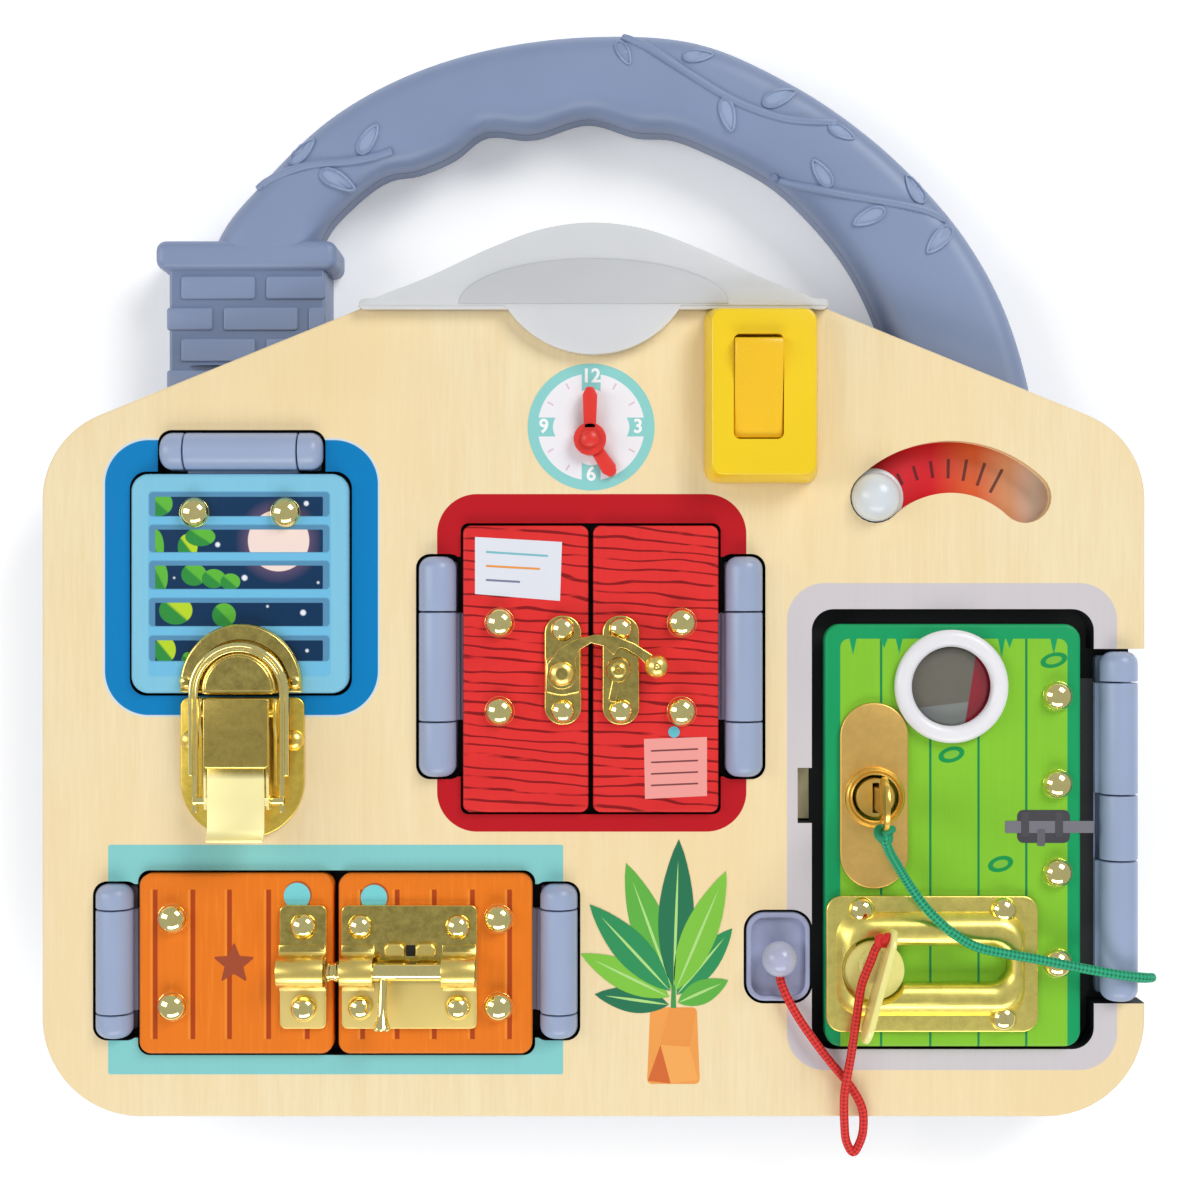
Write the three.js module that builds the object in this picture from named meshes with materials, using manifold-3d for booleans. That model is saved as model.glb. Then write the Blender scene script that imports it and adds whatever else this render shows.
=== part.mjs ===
// A house-shaped wooden latch board. It lies on its back: X to the right, Y up the house, Z out of the front board.
// Millimetres. The house's middle line is x = 0 and the front board's lower edge is y = 0, until the last lines move
// the whole board so that the middle of its outline, at the back of the housing, is the origin.
import * as THREE from 'three';
import { mergeVertices } from 'three/addons/utils/BufferGeometryUtils.js';
import Module from 'manifold-3d';

const wasm = await Module();
wasm.setup();

// Driving dimensions of the whole board
const house = {
  width: 280,
  eaves: 172.3,
  ridge: 205.3,
  ridgeHalf: 59,
  footRadius: 25,
  eavesRadius: 23,
};
const depth = { housing: 17.4, backing: 2, board: 8 };
const seat = 0.3;
const running = 0.4;
const overrun = 2;
const backingFloor = depth.housing + seat;
const backingTop = backingFloor + depth.backing;
const boardBack = backingTop + seat;
const boardFace = boardBack + depth.board;

// Doors stand a little proud of the board, on leaves of moulded plastic
const door = { thickness: 5, proud: 2, rim: 0.7 };
const doorFace = boardFace + door.proud;
const doorBack = doorFace - door.thickness;
const plateBack = doorFace + seat;
const plate = { thickness: 1, corner: 2 };
const plateFace = plateBack + plate.thickness;

const colours = {
  birch: 0xf5e0b4,
  black: 0x17171a,
  greyBlue: 0x8c9cbc,
  hinge: 0xa8b2cd,
  brass: 0xe0c05a,
  satinBrass: 0xbe9650,
  red: 0xde2d30,
  orange: 0xeb7d23,
  blue: 0x6fb7e0,
  green: 0x3fa64a,
  yellow: 0xf6d414,
  white: 0xf2f2f2,
  milky: 0xd2d6d4,
  steel: 0xb4b8bc,
  circuit: 0x1f6b3a,
  cell: 0x3a4a5a,
  handRed: 0xe43848,
  cordRed: 0xdc2832,
  cordGreen: 0x14a06e,
};

function finish(colour, roughness, metalness) {
  return new THREE.MeshStandardMaterial({ color: colours[colour], roughness, metalness });
}

const finishes = {
  birch: finish('birch', 0.6, 0),
  black: finish('black', 0.6, 0),
  housing: finish('greyBlue', 0.45, 0),
  hinge: finish('hinge', 0.35, 0),
  brass: finish('brass', 0.2, 1),
  satinBrass: finish('satinBrass', 0.35, 1),
  red: finish('red', 0.5, 0),
  orange: finish('orange', 0.5, 0),
  blue: finish('blue', 0.5, 0),
  green: finish('green', 0.5, 0),
  yellow: finish('yellow', 0.35, 0),
  white: finish('white', 0.3, 0),
  milky: finish('milky', 0.3, 0),
  steel: finish('steel', 0.3, 1),
  circuit: finish('circuit', 0.5, 0),
  cell: finish('cell', 0.4, 0),
  handRed: finish('handRed', 0.4, 0),
  cordRed: finish('cordRed', 0.8, 0),
  cordGreen: finish('cordGreen', 0.8, 0),
};

const model = new THREE.Group();
const quarter = Math.PI / 2;
const roundSteps = 16;
const smallSteps = 8;
const barrelSteps = 12;
const mergeReach = 1e-4;

// Joining and cutting of closed geometries
function withoutSlivers(index) {
  const kept = [];
  for (let i = 0; i < index.length; i += 3) {
    const [a, b, c] = [index[i], index[i + 1], index[i + 2]];
    if (a !== b && b !== c && c !== a) kept.push(a, b, c);
  }
  return new Uint32Array(kept);
}

function solidOf(geometry) {
  const bare = geometry.clone();
  bare.deleteAttribute('normal');
  bare.deleteAttribute('uv');
  const merged = mergeVertices(bare, mergeReach);
  return new wasm.Manifold(
    new wasm.Mesh({
      numProp: 3,
      vertProperties: new Float32Array(merged.attributes.position.array),
      triVerts: withoutSlivers(merged.index.array),
    }),
  );
}

function geometryOf(solid) {
  const mesh = solid.getMesh();
  const geometry = new THREE.BufferGeometry();
  geometry.setAttribute('position', new THREE.BufferAttribute(mesh.vertProperties.slice(), 3));
  geometry.setIndex(new THREE.BufferAttribute(mesh.triVerts.slice(), 1));
  geometry.computeVertexNormals();
  return geometry;
}

function join(...parts) {
  return geometryOf(parts.map(solidOf).reduce((whole, next) => whole.add(next)));
}

function cut(body, ...tools) {
  return geometryOf(tools.map(solidOf).reduce((whole, next) => whole.subtract(next), solidOf(body)));
}

function common(body, tool) {
  return geometryOf(solidOf(body).intersect(solidOf(tool)));
}

function addPiece(name, geometry, material) {
  const mesh = new THREE.Mesh(geometry, material);
  mesh.name = name;
  model.add(mesh);
  return mesh;
}

// Outlines and simple solids
function roundedOutline(corners, radii, steps = 6) {
  const points = [];
  corners.forEach((corner, i) => {
    const here = new THREE.Vector2(...corner);
    const before = new THREE.Vector2(...corners[(i + corners.length - 1) % corners.length]).sub(here);
    const after = new THREE.Vector2(...corners[(i + 1) % corners.length]).sub(here);
    const half = Math.abs(Math.atan2(before.cross(after), before.dot(after))) / 2;
    const setback = radii[i] / Math.tan(half);
    before.normalize().multiplyScalar(setback);
    after.normalize().multiplyScalar(setback);
    if (radii[i] === 0) {
      points.push(here);
      return;
    }
    const middle = before.clone().add(after);
    middle.setLength(radii[i] / Math.sin(half));
    const centre = here.clone().add(middle);
    const start = here.clone().add(before).sub(centre);
    const end = here.clone().add(after).sub(centre);
    const from = start.angle();
    const turn = Math.atan2(start.cross(end), start.dot(end));
    for (let s = 0; s <= steps; s += 1) {
      const angle = from + (turn * s) / steps;
      points.push(new THREE.Vector2(Math.cos(angle), Math.sin(angle)).multiplyScalar(radii[i]).add(centre));
    }
  });
  return new THREE.Shape(points);
}

function rectangle(x0, x1, y0, y1, radius = 0, steps = 4) {
  const corners = [[x0, y0], [x1, y0], [x1, y1], [x0, y1]];
  return roundedOutline(corners, [radius, radius, radius, radius], steps);
}

function around(x, y, width, height, radius = 0, steps = 4) {
  return rectangle(x - width / 2, x + width / 2, y - height / 2, y + height / 2, radius, steps);
}

function slab(shape, z0, z1) {
  const geometry = new THREE.ExtrudeGeometry(shape, { depth: z1 - z0, bevelEnabled: false });
  return geometry.translate(0, 0, z0);
}

function box(x0, x1, y0, y1, z0, z1) {
  const geometry = new THREE.BoxGeometry(x1 - x0, y1 - y0, z1 - z0);
  return geometry.translate((x0 + x1) / 2, (y0 + y1) / 2, (z0 + z1) / 2);
}

function rod(radius, length, steps = smallSteps) {
  return new THREE.CylinderGeometry(radius, radius, length, steps);
}

function post(x, y, radius, z0, z1, steps = roundSteps) {
  return rod(radius, z1 - z0, steps).rotateX(quarter).translate(x, y, (z0 + z1) / 2);
}

function turned(profile, steps = roundSteps) {
  return new THREE.LatheGeometry(profile.map(([r, h]) => new THREE.Vector2(r, h)), steps).rotateX(quarter);
}

function dome(x, y, radius, height, z) {
  const shares = [[1, 0], [0.85, 0.6], [0.45, 0.92], [0, 1]];
  const profile = [[0, -seat], [radius, -seat], ...shares.map(([r, h]) => [radius * r, height * h])];
  return turned(profile, smallSteps).translate(x, y, z);
}

const limitOf = (angle) => THREE.MathUtils.degToRad(angle);

// The house outline, drawn in by a margin
function houseOutline(margin) {
  const half = house.width / 2 - margin;
  const rise = (house.ridge - house.eaves) / (house.width / 2 - house.ridgeHalf);
  const top = house.ridge - margin;
  const eaves = house.eaves - margin;
  const ridgeHalf = house.ridgeHalf - margin * rise;
  const corners = [[-half, margin], [half, margin], [half, eaves], [ridgeHalf, top], [-ridgeHalf, top], [-half, eaves]];
  const foot = house.footRadius - margin;
  const shoulder = house.eavesRadius - margin;
  return roundedOutline(corners, [foot, foot, shoulder, 0, 0, shoulder], 6);
}

// Hinges: a fixed mount with domed end knuckles and its pin, and a leaf that passes under the door
const hinge = { barrel: 4.75, pin: 1.4, leaf: 2, axisDrop: 0.5, dome: 2.4, base: 2.4, knuckleGap: 0.4 };
const axisHeight = boardFace - hinge.axisDrop;
const rivet = { head: 3.7, height: 2.8, shank: 1.5, toLeafEnd: 5 };

// One knuckle along Y, with its outer end domed where it is the hinge's end
function knuckle(from, to, domedStart, domedEnd) {
  const side = hinge.barrel - hinge.dome;
  const bend = hinge.dome * Math.SQRT1_2;
  const step = hinge.dome - bend;
  const profile = [[0, from]];
  if (domedStart) profile.push([side, from], [side + bend, from + step], [hinge.barrel, from + hinge.dome]);
  else profile.push([hinge.barrel, from]);
  if (domedEnd) profile.push([hinge.barrel, to - hinge.dome], [side + bend, to - step], [side, to]);
  else profile.push([hinge.barrel, to]);
  profile.push([0, to]);
  return new THREE.LatheGeometry(profile.map(([r, h]) => new THREE.Vector2(r, h)), barrelSteps);
}

// Built with its axis along Y through the local origin and its leaf towards +X.
// moving lists the stretches of the axis that belong to the leaf.
function hingePair(name, place, turn, half, moving, rivets, edge) {
  const baseBack = boardBack - axisHeight;
  const baseFront = baseBack + hinge.base;
  const fixed = [];
  let from = -half;
  moving.forEach(([a, b]) => {
    fixed.push([from, a - hinge.knuckleGap / 2]);
    from = b + hinge.knuckleGap / 2;
  });
  fixed.push([from, half]);
  const mountParts = [box(-hinge.barrel, hinge.barrel, -half, half, baseBack, baseFront)];
  fixed.forEach(([a, b], i) => {
    mountParts.push(knuckle(a, b, i === 0, i === fixed.length - 1));
    const start = i === 0 ? a + hinge.dome : a;
    const end = i === fixed.length - 1 ? b - hinge.dome : b;
    mountParts.push(box(-hinge.barrel / 2, hinge.barrel / 2, start, end, baseFront - seat, 0));
  });
  mountParts.push(rod(hinge.pin, 2 * half - 2 * hinge.dome));
  const reach = Math.max(...rivets.map(([x]) => x)) + rivet.toLeafEnd;
  const ends = [Math.min(...moving.map(([a]) => a)), Math.max(...moving.map(([, b]) => b))];
  const gap = hinge.knuckleGap / 2;
  const strip = hinge.barrel + running;
  const leafBack = -hinge.barrel;
  let leaf = box(strip, reach, ends[0] + gap, ends[1] - gap, leafBack, leafBack + hinge.leaf);
  moving.forEach(([a, b]) => {
    leaf = join(leaf, knuckle(a + gap, b - gap, false, false));
    leaf = join(leaf, box(0, strip + gap, a + gap, b - gap, leafBack, leafBack + hinge.leaf));
  });
  leaf = cut(leaf, rod(hinge.pin + running, 2 * half));
  rivets.forEach(([x, y]) => {
    const top = doorFace - axisHeight;
    leaf = join(leaf, post(x, y, rivet.shank, leafBack, top + seat + running, smallSteps));
    leaf = join(leaf, dome(x, y, rivet.head, rivet.height, top + seat + seat));
  });
  const put = (geometry) => geometry.rotateZ(turn).translate(place[0], place[1], axisHeight);
  addPiece(`${name}_hinge_mount`, put(join(...mountParts)), finishes.hinge);
  addPiece(`${name}_hinge_leaf`, put(leaf), finishes.hinge);
  const holes = rivets.map(([x, y]) => {
    const radius = rivet.shank + running;
    return put(post(x, y, radius, doorBack - overrun - axisHeight, doorFace + overrun - axisHeight, smallSteps));
  });
  const pocketBack = boardBack - overrun - axisHeight;
  const pocket = put(box(-hinge.barrel - edge, edge, -half - edge, half + edge, pocketBack, overrun + hinge.barrel));
  return { holes, pocket };
}

// The six doors. x and y are each panel's edges, axis is the hinge line, and shift is along it
const windowDoor = {
  left: -117, right: -62, foot: 107.6, top: 163.1, corner: 4.3,
  axis: 168.9, hingeMiddle: -89.3, hingeHalf: 20.6, knuckleHalf: 14.4, rivetDrop: 15.6, rivetHalf: 11.5,
};
const shutter = {
  foot: 77.5, top: 150, corner: 2, outer: 33, inner: 1.3,
  axis: 39.6, hingeMiddle: 114.3, hingeHalf: 27.9, knuckleHalf: 13.9, rivetIn: 15.9, rivetHalf: 11.2, meeting: 0.7,
};
const cupboard = {
  foot: 16.4, top: 61.9, corner: 3, outer: 49.7, inner: 0.7, middle: -65.2,
  axis: 56.4, hingeMiddle: 39.6, hingeHalf: 19.5, knuckleHalf: 13.2, rivetIn: 15.2, rivetHalf: 11.1,
};
const entry = {
  left: 58.5, right: 123.2, foot: 18.2, top: 125.1, corner: 4,
  openLeft: 55.4, openRight: 127, openFoot: 17.2, openTop: 128.9, openCorner: 5.5,
  axis: 133.4, hingeFoot: 29.5, hingeTop: 118.1, rivetIn: 16.2,
  knuckleShares: [[0.077, 0.403], [0.591, 0.913]], rivetShares: [0.126, 0.377, 0.63, 0.888],
};

const panels = {};
const boardCuts = [];

function panelSolid(left, right, foot, top, corner, holes) {
  return cut(slab(rectangle(left, right, foot, top, corner), doorBack, doorFace), ...holes);
}

function boardCut(shape) {
  boardCuts.push(slab(shape, boardBack - overrun, boardFace + overrun));
}

function buildWindow() {
  const d = windowDoor;
  const made = hingePair(
    'window', [d.hingeMiddle, d.axis], -quarter, d.hingeHalf,
    [[-d.knuckleHalf, d.knuckleHalf]],
    [[d.rivetDrop, -d.rivetHalf], [d.rivetDrop, d.rivetHalf]], door.rim,
  );
  boardCuts.push(made.pocket);
  boardCut(rectangle(d.left - door.rim, d.right + door.rim, d.foot - door.rim, d.top + door.rim, d.corner));
  boardCut(around(d.hingeMiddle, d.axis - d.rivetDrop / 2, 2 * d.hingeHalf, d.rivetDrop));
  panels.window_panel = [panelSolid(d.left, d.right, d.foot, d.top, d.corner, made.holes), finishes.blue];
}

function buildShutter(side, name) {
  const d = shutter;
  const turn = side < 0 ? 0 : 2 * quarter;
  const middle = -d.meeting;
  const made = hingePair(
    name, [middle + side * (d.axis - d.meeting), d.hingeMiddle], turn, d.hingeHalf,
    [[-d.knuckleHalf, d.knuckleHalf]],
    [[d.rivetIn, -d.rivetHalf], [d.rivetIn, d.rivetHalf]], door.rim,
  );
  boardCuts.push(made.pocket);
  const edges = [middle + side * (d.outer - d.meeting), middle + side * (d.inner - d.meeting)].sort((a, b) => a - b);
  panels[`${name}_panel`] = [panelSolid(edges[0], edges[1], d.foot, d.top, d.corner, made.holes), finishes.red];
}

function buildCupboard(side, name) {
  const d = cupboard;
  const turn = side < 0 ? 0 : 2 * quarter;
  const made = hingePair(
    name, [d.middle + side * d.axis, d.hingeMiddle], turn, d.hingeHalf,
    [[-d.knuckleHalf, d.knuckleHalf]],
    [[d.rivetIn, -d.rivetHalf], [d.rivetIn, d.rivetHalf]], door.rim,
  );
  boardCuts.push(made.pocket);
  const edges = [d.middle + side * d.outer, d.middle + side * d.inner].sort((a, b) => a - b);
  panels[`${name}_panel`] = [panelSolid(edges[0], edges[1], d.foot, d.top, d.corner, made.holes), finishes.orange];
}

buildWindow();
buildShutter(-1, 'left_shutter');
buildShutter(1, 'right_shutter');
boardCut(rectangle(
  -shutter.axis, shutter.axis - 2 * shutter.meeting,
  shutter.hingeMiddle - shutter.hingeHalf, shutter.hingeMiddle + shutter.hingeHalf,
));
boardCut(rectangle(
  -shutter.outer - door.rim, shutter.outer - 2 * shutter.meeting + door.rim,
  shutter.foot - door.rim, shutter.top + door.rim, shutter.corner,
));
buildCupboard(-1, 'left_cupboard');
buildCupboard(1, 'right_cupboard');
boardCut(rectangle(
  cupboard.middle - cupboard.axis, cupboard.middle + cupboard.axis,
  cupboard.hingeMiddle - cupboard.hingeHalf, cupboard.hingeMiddle + cupboard.hingeHalf,
));
boardCut(rectangle(
  cupboard.middle - cupboard.outer - door.rim, cupboard.middle + cupboard.outer + door.rim,
  cupboard.foot - door.rim, cupboard.top + door.rim, cupboard.corner,
));

// Key lock of the entry door, and its strike pocket in the board
const lock = {
  x: 70.8, y: 81.6, ring: 7.4, ringBore: 5.8, ringHeight: 2.8, plug: 4.9, plugHeight: 3,
  plateWidth: 17.2, plateFoot: 58.4, plateTop: 105.3,
  camWidth: 6, camThick: 1.8, camReach: 16.1, strikeDepth: 3.6, strikeWidth: 14,
  keyway: [1.7, 7.6], blade: [1.1, 6.8],
  stem: 12, bow: 6.6, bowThick: 1.3, bowHole: 1.5, bowHoleIn: 2.7,
};
const camFront = doorBack - running;
const camBack = camFront - lock.camThick;

// Slot latch of the entry door
const slotLatch = {
  left: 58.7, right: 112.2, foot: 22.6, top: 56.8, corner: 3.5,
  ridgeLeft: 62, ridgeRight: 107.7, ridgeFoot: 27.4, ridgeTop: 51.3, ridgeCorner: 6,
  ridgeHeight: 4.2, wall: 1,
  slotRight: 104.2, slotWidth: 9.4, middle: 39.4, start: 70.8, entryRadius: 8.1,
  disc: 7.5, discThick: 1.8, neck: 4.2, wingLength: 29, wingWidth: 11, wingThick: 1.6, wingTurn: -15,
  wingShift: 3.9, domeIn: 9, domeUp: 4,
};

function buildEntryDoor() {
  const d = entry;
  const middle = (d.hingeFoot + d.hingeTop) / 2;
  const length = d.hingeTop - d.hingeFoot;
  const along = (share) => length * (1 / 2 - share);
  const moving = d.knuckleShares.map(([from, to]) => [along(to), along(from)]).reverse();
  const rivets = d.rivetShares.map((share) => [d.rivetIn, along(share)]);
  const made = hingePair('entry', [d.axis, middle], 2 * quarter, length / 2, moving, rivets, door.rim);
  boardCut(rectangle(d.openLeft, d.openRight, d.openFoot, d.openTop, d.openCorner));
  const reach = house.width / 2 + overrun;
  boardCut(rectangle(d.openRight - d.openCorner, reach, d.hingeFoot - door.rim, d.hingeTop + door.rim));
  const strikeTop = camFront + running;
  boardCuts.push(box(
    d.openLeft - lock.strikeDepth, d.openLeft + overrun,
    lock.y - lock.strikeWidth / 2, lock.y + lock.strikeWidth / 2, boardBack - overrun, strikeTop,
  ));
  let panel = panelSolid(d.left, d.right, d.foot, d.top, d.corner, made.holes);
  panel = cut(panel, post(lock.x, lock.y, lock.plug + running, doorBack - overrun, doorFace + overrun));
  panel = cut(panel, post(porthole.x, porthole.y, porthole.bore, doorBack - overrun, doorFace + overrun));
  panel = cut(panel, post(porthole.x, porthole.y, porthole.lens + running, doorFace - porthole.lensSink, doorFace + overrun));
  panels.entry_panel = [panel, finishes.green];
}

const porthole = {
  x: 90.3, y: 109.4, rim: 14.3, bore: 10, rimHeight: 2.6, lens: 11, lensThick: 1.5,
  lensSink: 2,
};

buildEntryDoor();
Object.entries(panels).forEach(([name, [geometry, material]]) => addPiece(name, geometry, material));

function buildPorthole() {
  const { x, y, rim, bore, rimHeight, lens, lensThick, lensSink } = porthole;
  const outerShares = [[1, 0], [1, 0.55], [0.93, 0.9], [0.85, 1]];
  const innerShares = [[1.09, 0.9], [1, 0.5], [1, 0]];
  const profile = [[bore, 0]];
  outerShares.forEach(([r, h]) => profile.push([rim * r, rimHeight * h]));
  innerShares.forEach(([r, h]) => profile.push([bore * r, rimHeight * h]));
  addPiece('porthole_ring', turned(profile, 24).translate(x, y, plateBack), finishes.white);
  const lensBack = doorFace - lensSink + seat;
  addPiece('porthole_lens', post(x, y, lens, lensBack, lensBack + lensThick), finishes.milky);
}

function buildLock() {
  const l = lock;
  const length = l.plateTop - l.plateFoot;
  const outline = around(l.x, (l.plateTop + l.plateFoot) / 2, l.plateWidth, length, l.plateWidth / 2 - seat, 5);
  let face = slab(outline, plateBack, plateFace);
  face = join(face, post(l.x, l.y, l.ring, plateFace - seat, plateFace + l.ringHeight));
  face = cut(face, post(l.x, l.y, l.ringBore, plateBack - overrun, plateFace + l.ringHeight + overrun));
  addPiece('lock_plate', face, finishes.satinBrass);
  const top = plateFace + l.plugHeight;
  let plug = post(l.x, l.y, l.plug, camFront - seat, top);
  const camTop = l.y + l.camWidth / 2;
  const cam = rectangle(l.x - l.camWidth / 2, l.x + l.camWidth / 2, l.y - l.camReach, camTop, seat);
  plug = join(plug, slab(cam, camBack, camFront));
  const [slotWidth, slotLength] = l.keyway;
  plug = cut(plug, slab(around(l.x, l.y, slotWidth, slotLength), camFront + running, top + overrun));
  addPiece('lock_cylinder', plug, finishes.brass);
  const [bladeThick, bladeWidth] = l.blade;
  const bowZ = top + l.stem;
  let key = slab(around(l.x, l.y, bladeThick, bladeWidth), camFront + running + seat, bowZ);
  const bow = rod(l.bow, l.bowThick, roundSteps).rotateZ(quarter).translate(l.x, l.y, bowZ + l.bow / 2);
  const hole = rod(l.bowHole, l.bowThick + overrun).rotateZ(quarter);
  key = cut(join(key, bow), hole.translate(l.x, l.y - l.bow + l.bowHoleIn, bowZ + l.bow / 2));
  addPiece('key', key, finishes.brass);
}

function buildSlotLatch() {
  const s = slotLatch;
  const top = plateBack + s.ridgeHeight;
  let face = slab(rectangle(s.left, s.right, s.foot, s.top, s.corner), plateBack, plateFace);
  const ridge = rectangle(s.ridgeLeft, s.ridgeRight, s.ridgeFoot, s.ridgeTop, s.ridgeCorner);
  face = join(face, slab(ridge, plateBack, top));
  const w = s.wall;
  const hollow = rectangle(s.ridgeLeft + w, s.ridgeRight - w, s.ridgeFoot + w, s.ridgeTop - w, s.ridgeCorner - w);
  face = cut(face, slab(hollow, plateBack - overrun, top - w));
  const slotHalf = s.slotWidth / 2;
  const slot = rectangle(s.start, s.slotRight, s.middle - slotHalf, s.middle + slotHalf, slotHalf - seat);
  face = cut(face, slab(slot, plateBack, top + overrun));
  face = cut(face, post(s.start, s.middle, s.entryRadius, plateBack, top + overrun));
  const domeX = [s.left + s.domeIn, s.right - s.domeIn];
  const domeY = [s.foot + s.domeUp, s.top - s.domeUp];
  [[domeX[0], domeY[1]], [domeX[1], domeY[1]], [domeX[1], domeY[0]]].forEach(([x, y]) => {
    face = join(face, dome(x, y, plateDome.radius, plateDome.height, plateFace));
  });
  addPiece('slot_plate', face, finishes.brass);
  const discBack = plateBack + seat;
  let slider = post(s.start, s.middle, s.disc, discBack, discBack + s.discThick);
  const wingFoot = top + running;
  slider = join(slider, post(s.start, s.middle, s.neck, discBack, wingFoot + seat));
  const outline = around(0, wingFoot + s.wingWidth / 2, s.wingLength, s.wingWidth, s.wingWidth / 2 - seat, 5);
  let wing = new THREE.ExtrudeGeometry(outline, { depth: s.wingThick, bevelEnabled: false });
  wing = wing.translate(0, 0, -s.wingThick / 2).rotateX(quarter).rotateZ(quarter + limitOf(s.wingTurn));
  wing = wing.translate(s.start, s.middle - s.wingShift, 0);
  slider = join(slider, wing, post(s.start, s.middle, s.neck, wingFoot, wingFoot + s.wingThick));
  addPiece('slot_slider', slider, finishes.yellow);
}

const plateDome = { radius: 3.4, height: 2.6 };

buildPorthole();
buildLock();
buildSlotLatch();

// Hook latch on the shutters: two plates, a post and a curved arm with a ball
const hook = {
  width: 9.3, height: 27.6, leftX: -7.7, rightX: 6.9, middle: 113.5, dome: 2.8, domeHeight: 1.6, domeHalf: 10.2,
  pivotX: -7.9, pivotY: 112.8, hub: 4, hubBore: 1.7, pin: 1.3, pinHead: 2.4, boss: 3.6, armLift: 2.1, armThick: 1.3,
  ball: 2.8, ballX: 15.9, ballY: 114.6, arcTop: 122.4, band: 3.2,
  postX: 6.3, postY: 113.6, post: 3, postTop: 1.9, postHeight: 4.3, tail: [1.6, 7.4], tailTurn: -12,
};

function hookPlate(x) {
  const h = hook;
  let face = slab(around(x, h.middle, h.width, h.height, h.width / 2 - seat, 4), plateBack, plateFace);
  [-1, 1].forEach((side) => {
    face = join(face, dome(x, h.middle + side * h.domeHalf, h.dome, h.domeHeight, plateFace));
  });
  return face;
}

function buildHookLatch() {
  const h = hook;
  const armBack = plateFace + h.armLift;
  const armFront = armBack + h.armThick;
  let left = join(hookPlate(h.leftX), post(h.pivotX, h.pivotY, h.boss, plateFace - seat, armBack - seat));
  left = join(left, post(h.pivotX, h.pivotY, h.pin, plateFace, armFront + running + seat, smallSteps));
  left = join(left, post(h.pivotX, h.pivotY, h.pinHead, armFront + seat, armFront + h.armThick));
  addPiece('hook_plate', left, finishes.brass);
  const step = plateFace + h.postHeight / 2;
  let right = join(hookPlate(h.rightX), post(h.postX, h.postY, h.post, plateFace - seat, step));
  right = join(right, post(h.postX, h.postY, h.postTop, plateFace, plateFace + h.postHeight));
  const tail = box(-h.tail[0] / 2, h.tail[0] / 2, -h.tail[1], 0, plateFace - seat, step);
  right = join(right, tail.rotateZ(limitOf(h.tailTurn)).translate(h.postX, h.postY, 0));
  addPiece('post_plate', right, finishes.brass);
  const crown = 2 * h.arcTop - (h.pivotY + h.ballY) / 2 - h.band;
  const curve = new THREE.QuadraticBezierCurve(
    new THREE.Vector2(h.pivotX, h.pivotY + h.band / 2),
    new THREE.Vector2((h.pivotX + h.ballX) / 2 - h.ball, crown),
    new THREE.Vector2(h.ballX, h.ballY),
  );
  const steps = 8;
  const outer = [];
  const inner = [];
  for (let i = 0; i <= steps; i += 1) {
    const at = curve.getPoint(i / steps);
    const along = curve.getTangent(i / steps);
    const across = new THREE.Vector2(-along.y, along.x).multiplyScalar(h.band / 2);
    outer.push(at.clone().add(across));
    inner.unshift(at.clone().sub(across));
  }
  let arm = slab(new THREE.Shape([...outer, ...inner].reverse()), armBack, armFront);
  arm = join(arm, post(h.pivotX, h.pivotY, h.hub, armBack, armFront));
  arm = cut(arm, post(h.pivotX, h.pivotY, h.hubBore, armBack - overrun, armFront + overrun, smallSteps));
  const ball = new THREE.SphereGeometry(h.ball, smallSteps, smallSteps).rotateX(quarter);
  arm = join(arm, ball.translate(h.ballX, h.ballY, armFront));
  addPiece('hook_arm', arm, finishes.brass);
}

buildHookLatch();

// Barrel bolt on the cupboard doors
const bolt = {
  y: 38, rod: 2.3, lift: 2.9, keeperLeft: -79.2, keeperRight: -67.3, keeperFoot: 23, keeperTop: 54.2,
  left: -63.6, right: -29.3, foot: 23, top: 54.2, corner: 1.2, strapLeft: 8.4, strapRight: 8.8,
  strapPlay: 0.7, strapWall: 0.7, domeIn: 4.8, domeUp: 5.5, keeperDomeHalf: 10.3, tip: -66.9, tail: -31.2,
  handleX: -52.7, handle: 1.1, handleEnd: 2.2, handleLength: 14.8, flare: 4, handleTilt: 13,
};
const boltAxis = plateFace + bolt.lift;
const strapBore = bolt.rod + bolt.strapPlay;
const strapRadius = strapBore + bolt.strapWall;

function strap(x0, x1) {
  const length = x1 - x0;
  const middle = (x0 + x1) / 2;
  const low = plateFace - seat;
  const hull = join(
    rod(strapRadius, length, roundSteps).rotateZ(quarter).translate(middle, bolt.y, boltAxis),
    box(x0, x1, bolt.y - strapRadius, bolt.y + strapRadius, low, boltAxis),
  );
  const bore = join(
    rod(strapBore, length + overrun, roundSteps).rotateZ(quarter).translate(middle, bolt.y, boltAxis),
    box(x0 - overrun, x1 + overrun, bolt.y - strapBore, bolt.y + strapBore, low + seat, boltAxis),
  );
  return cut(hull, bore);
}

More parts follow.
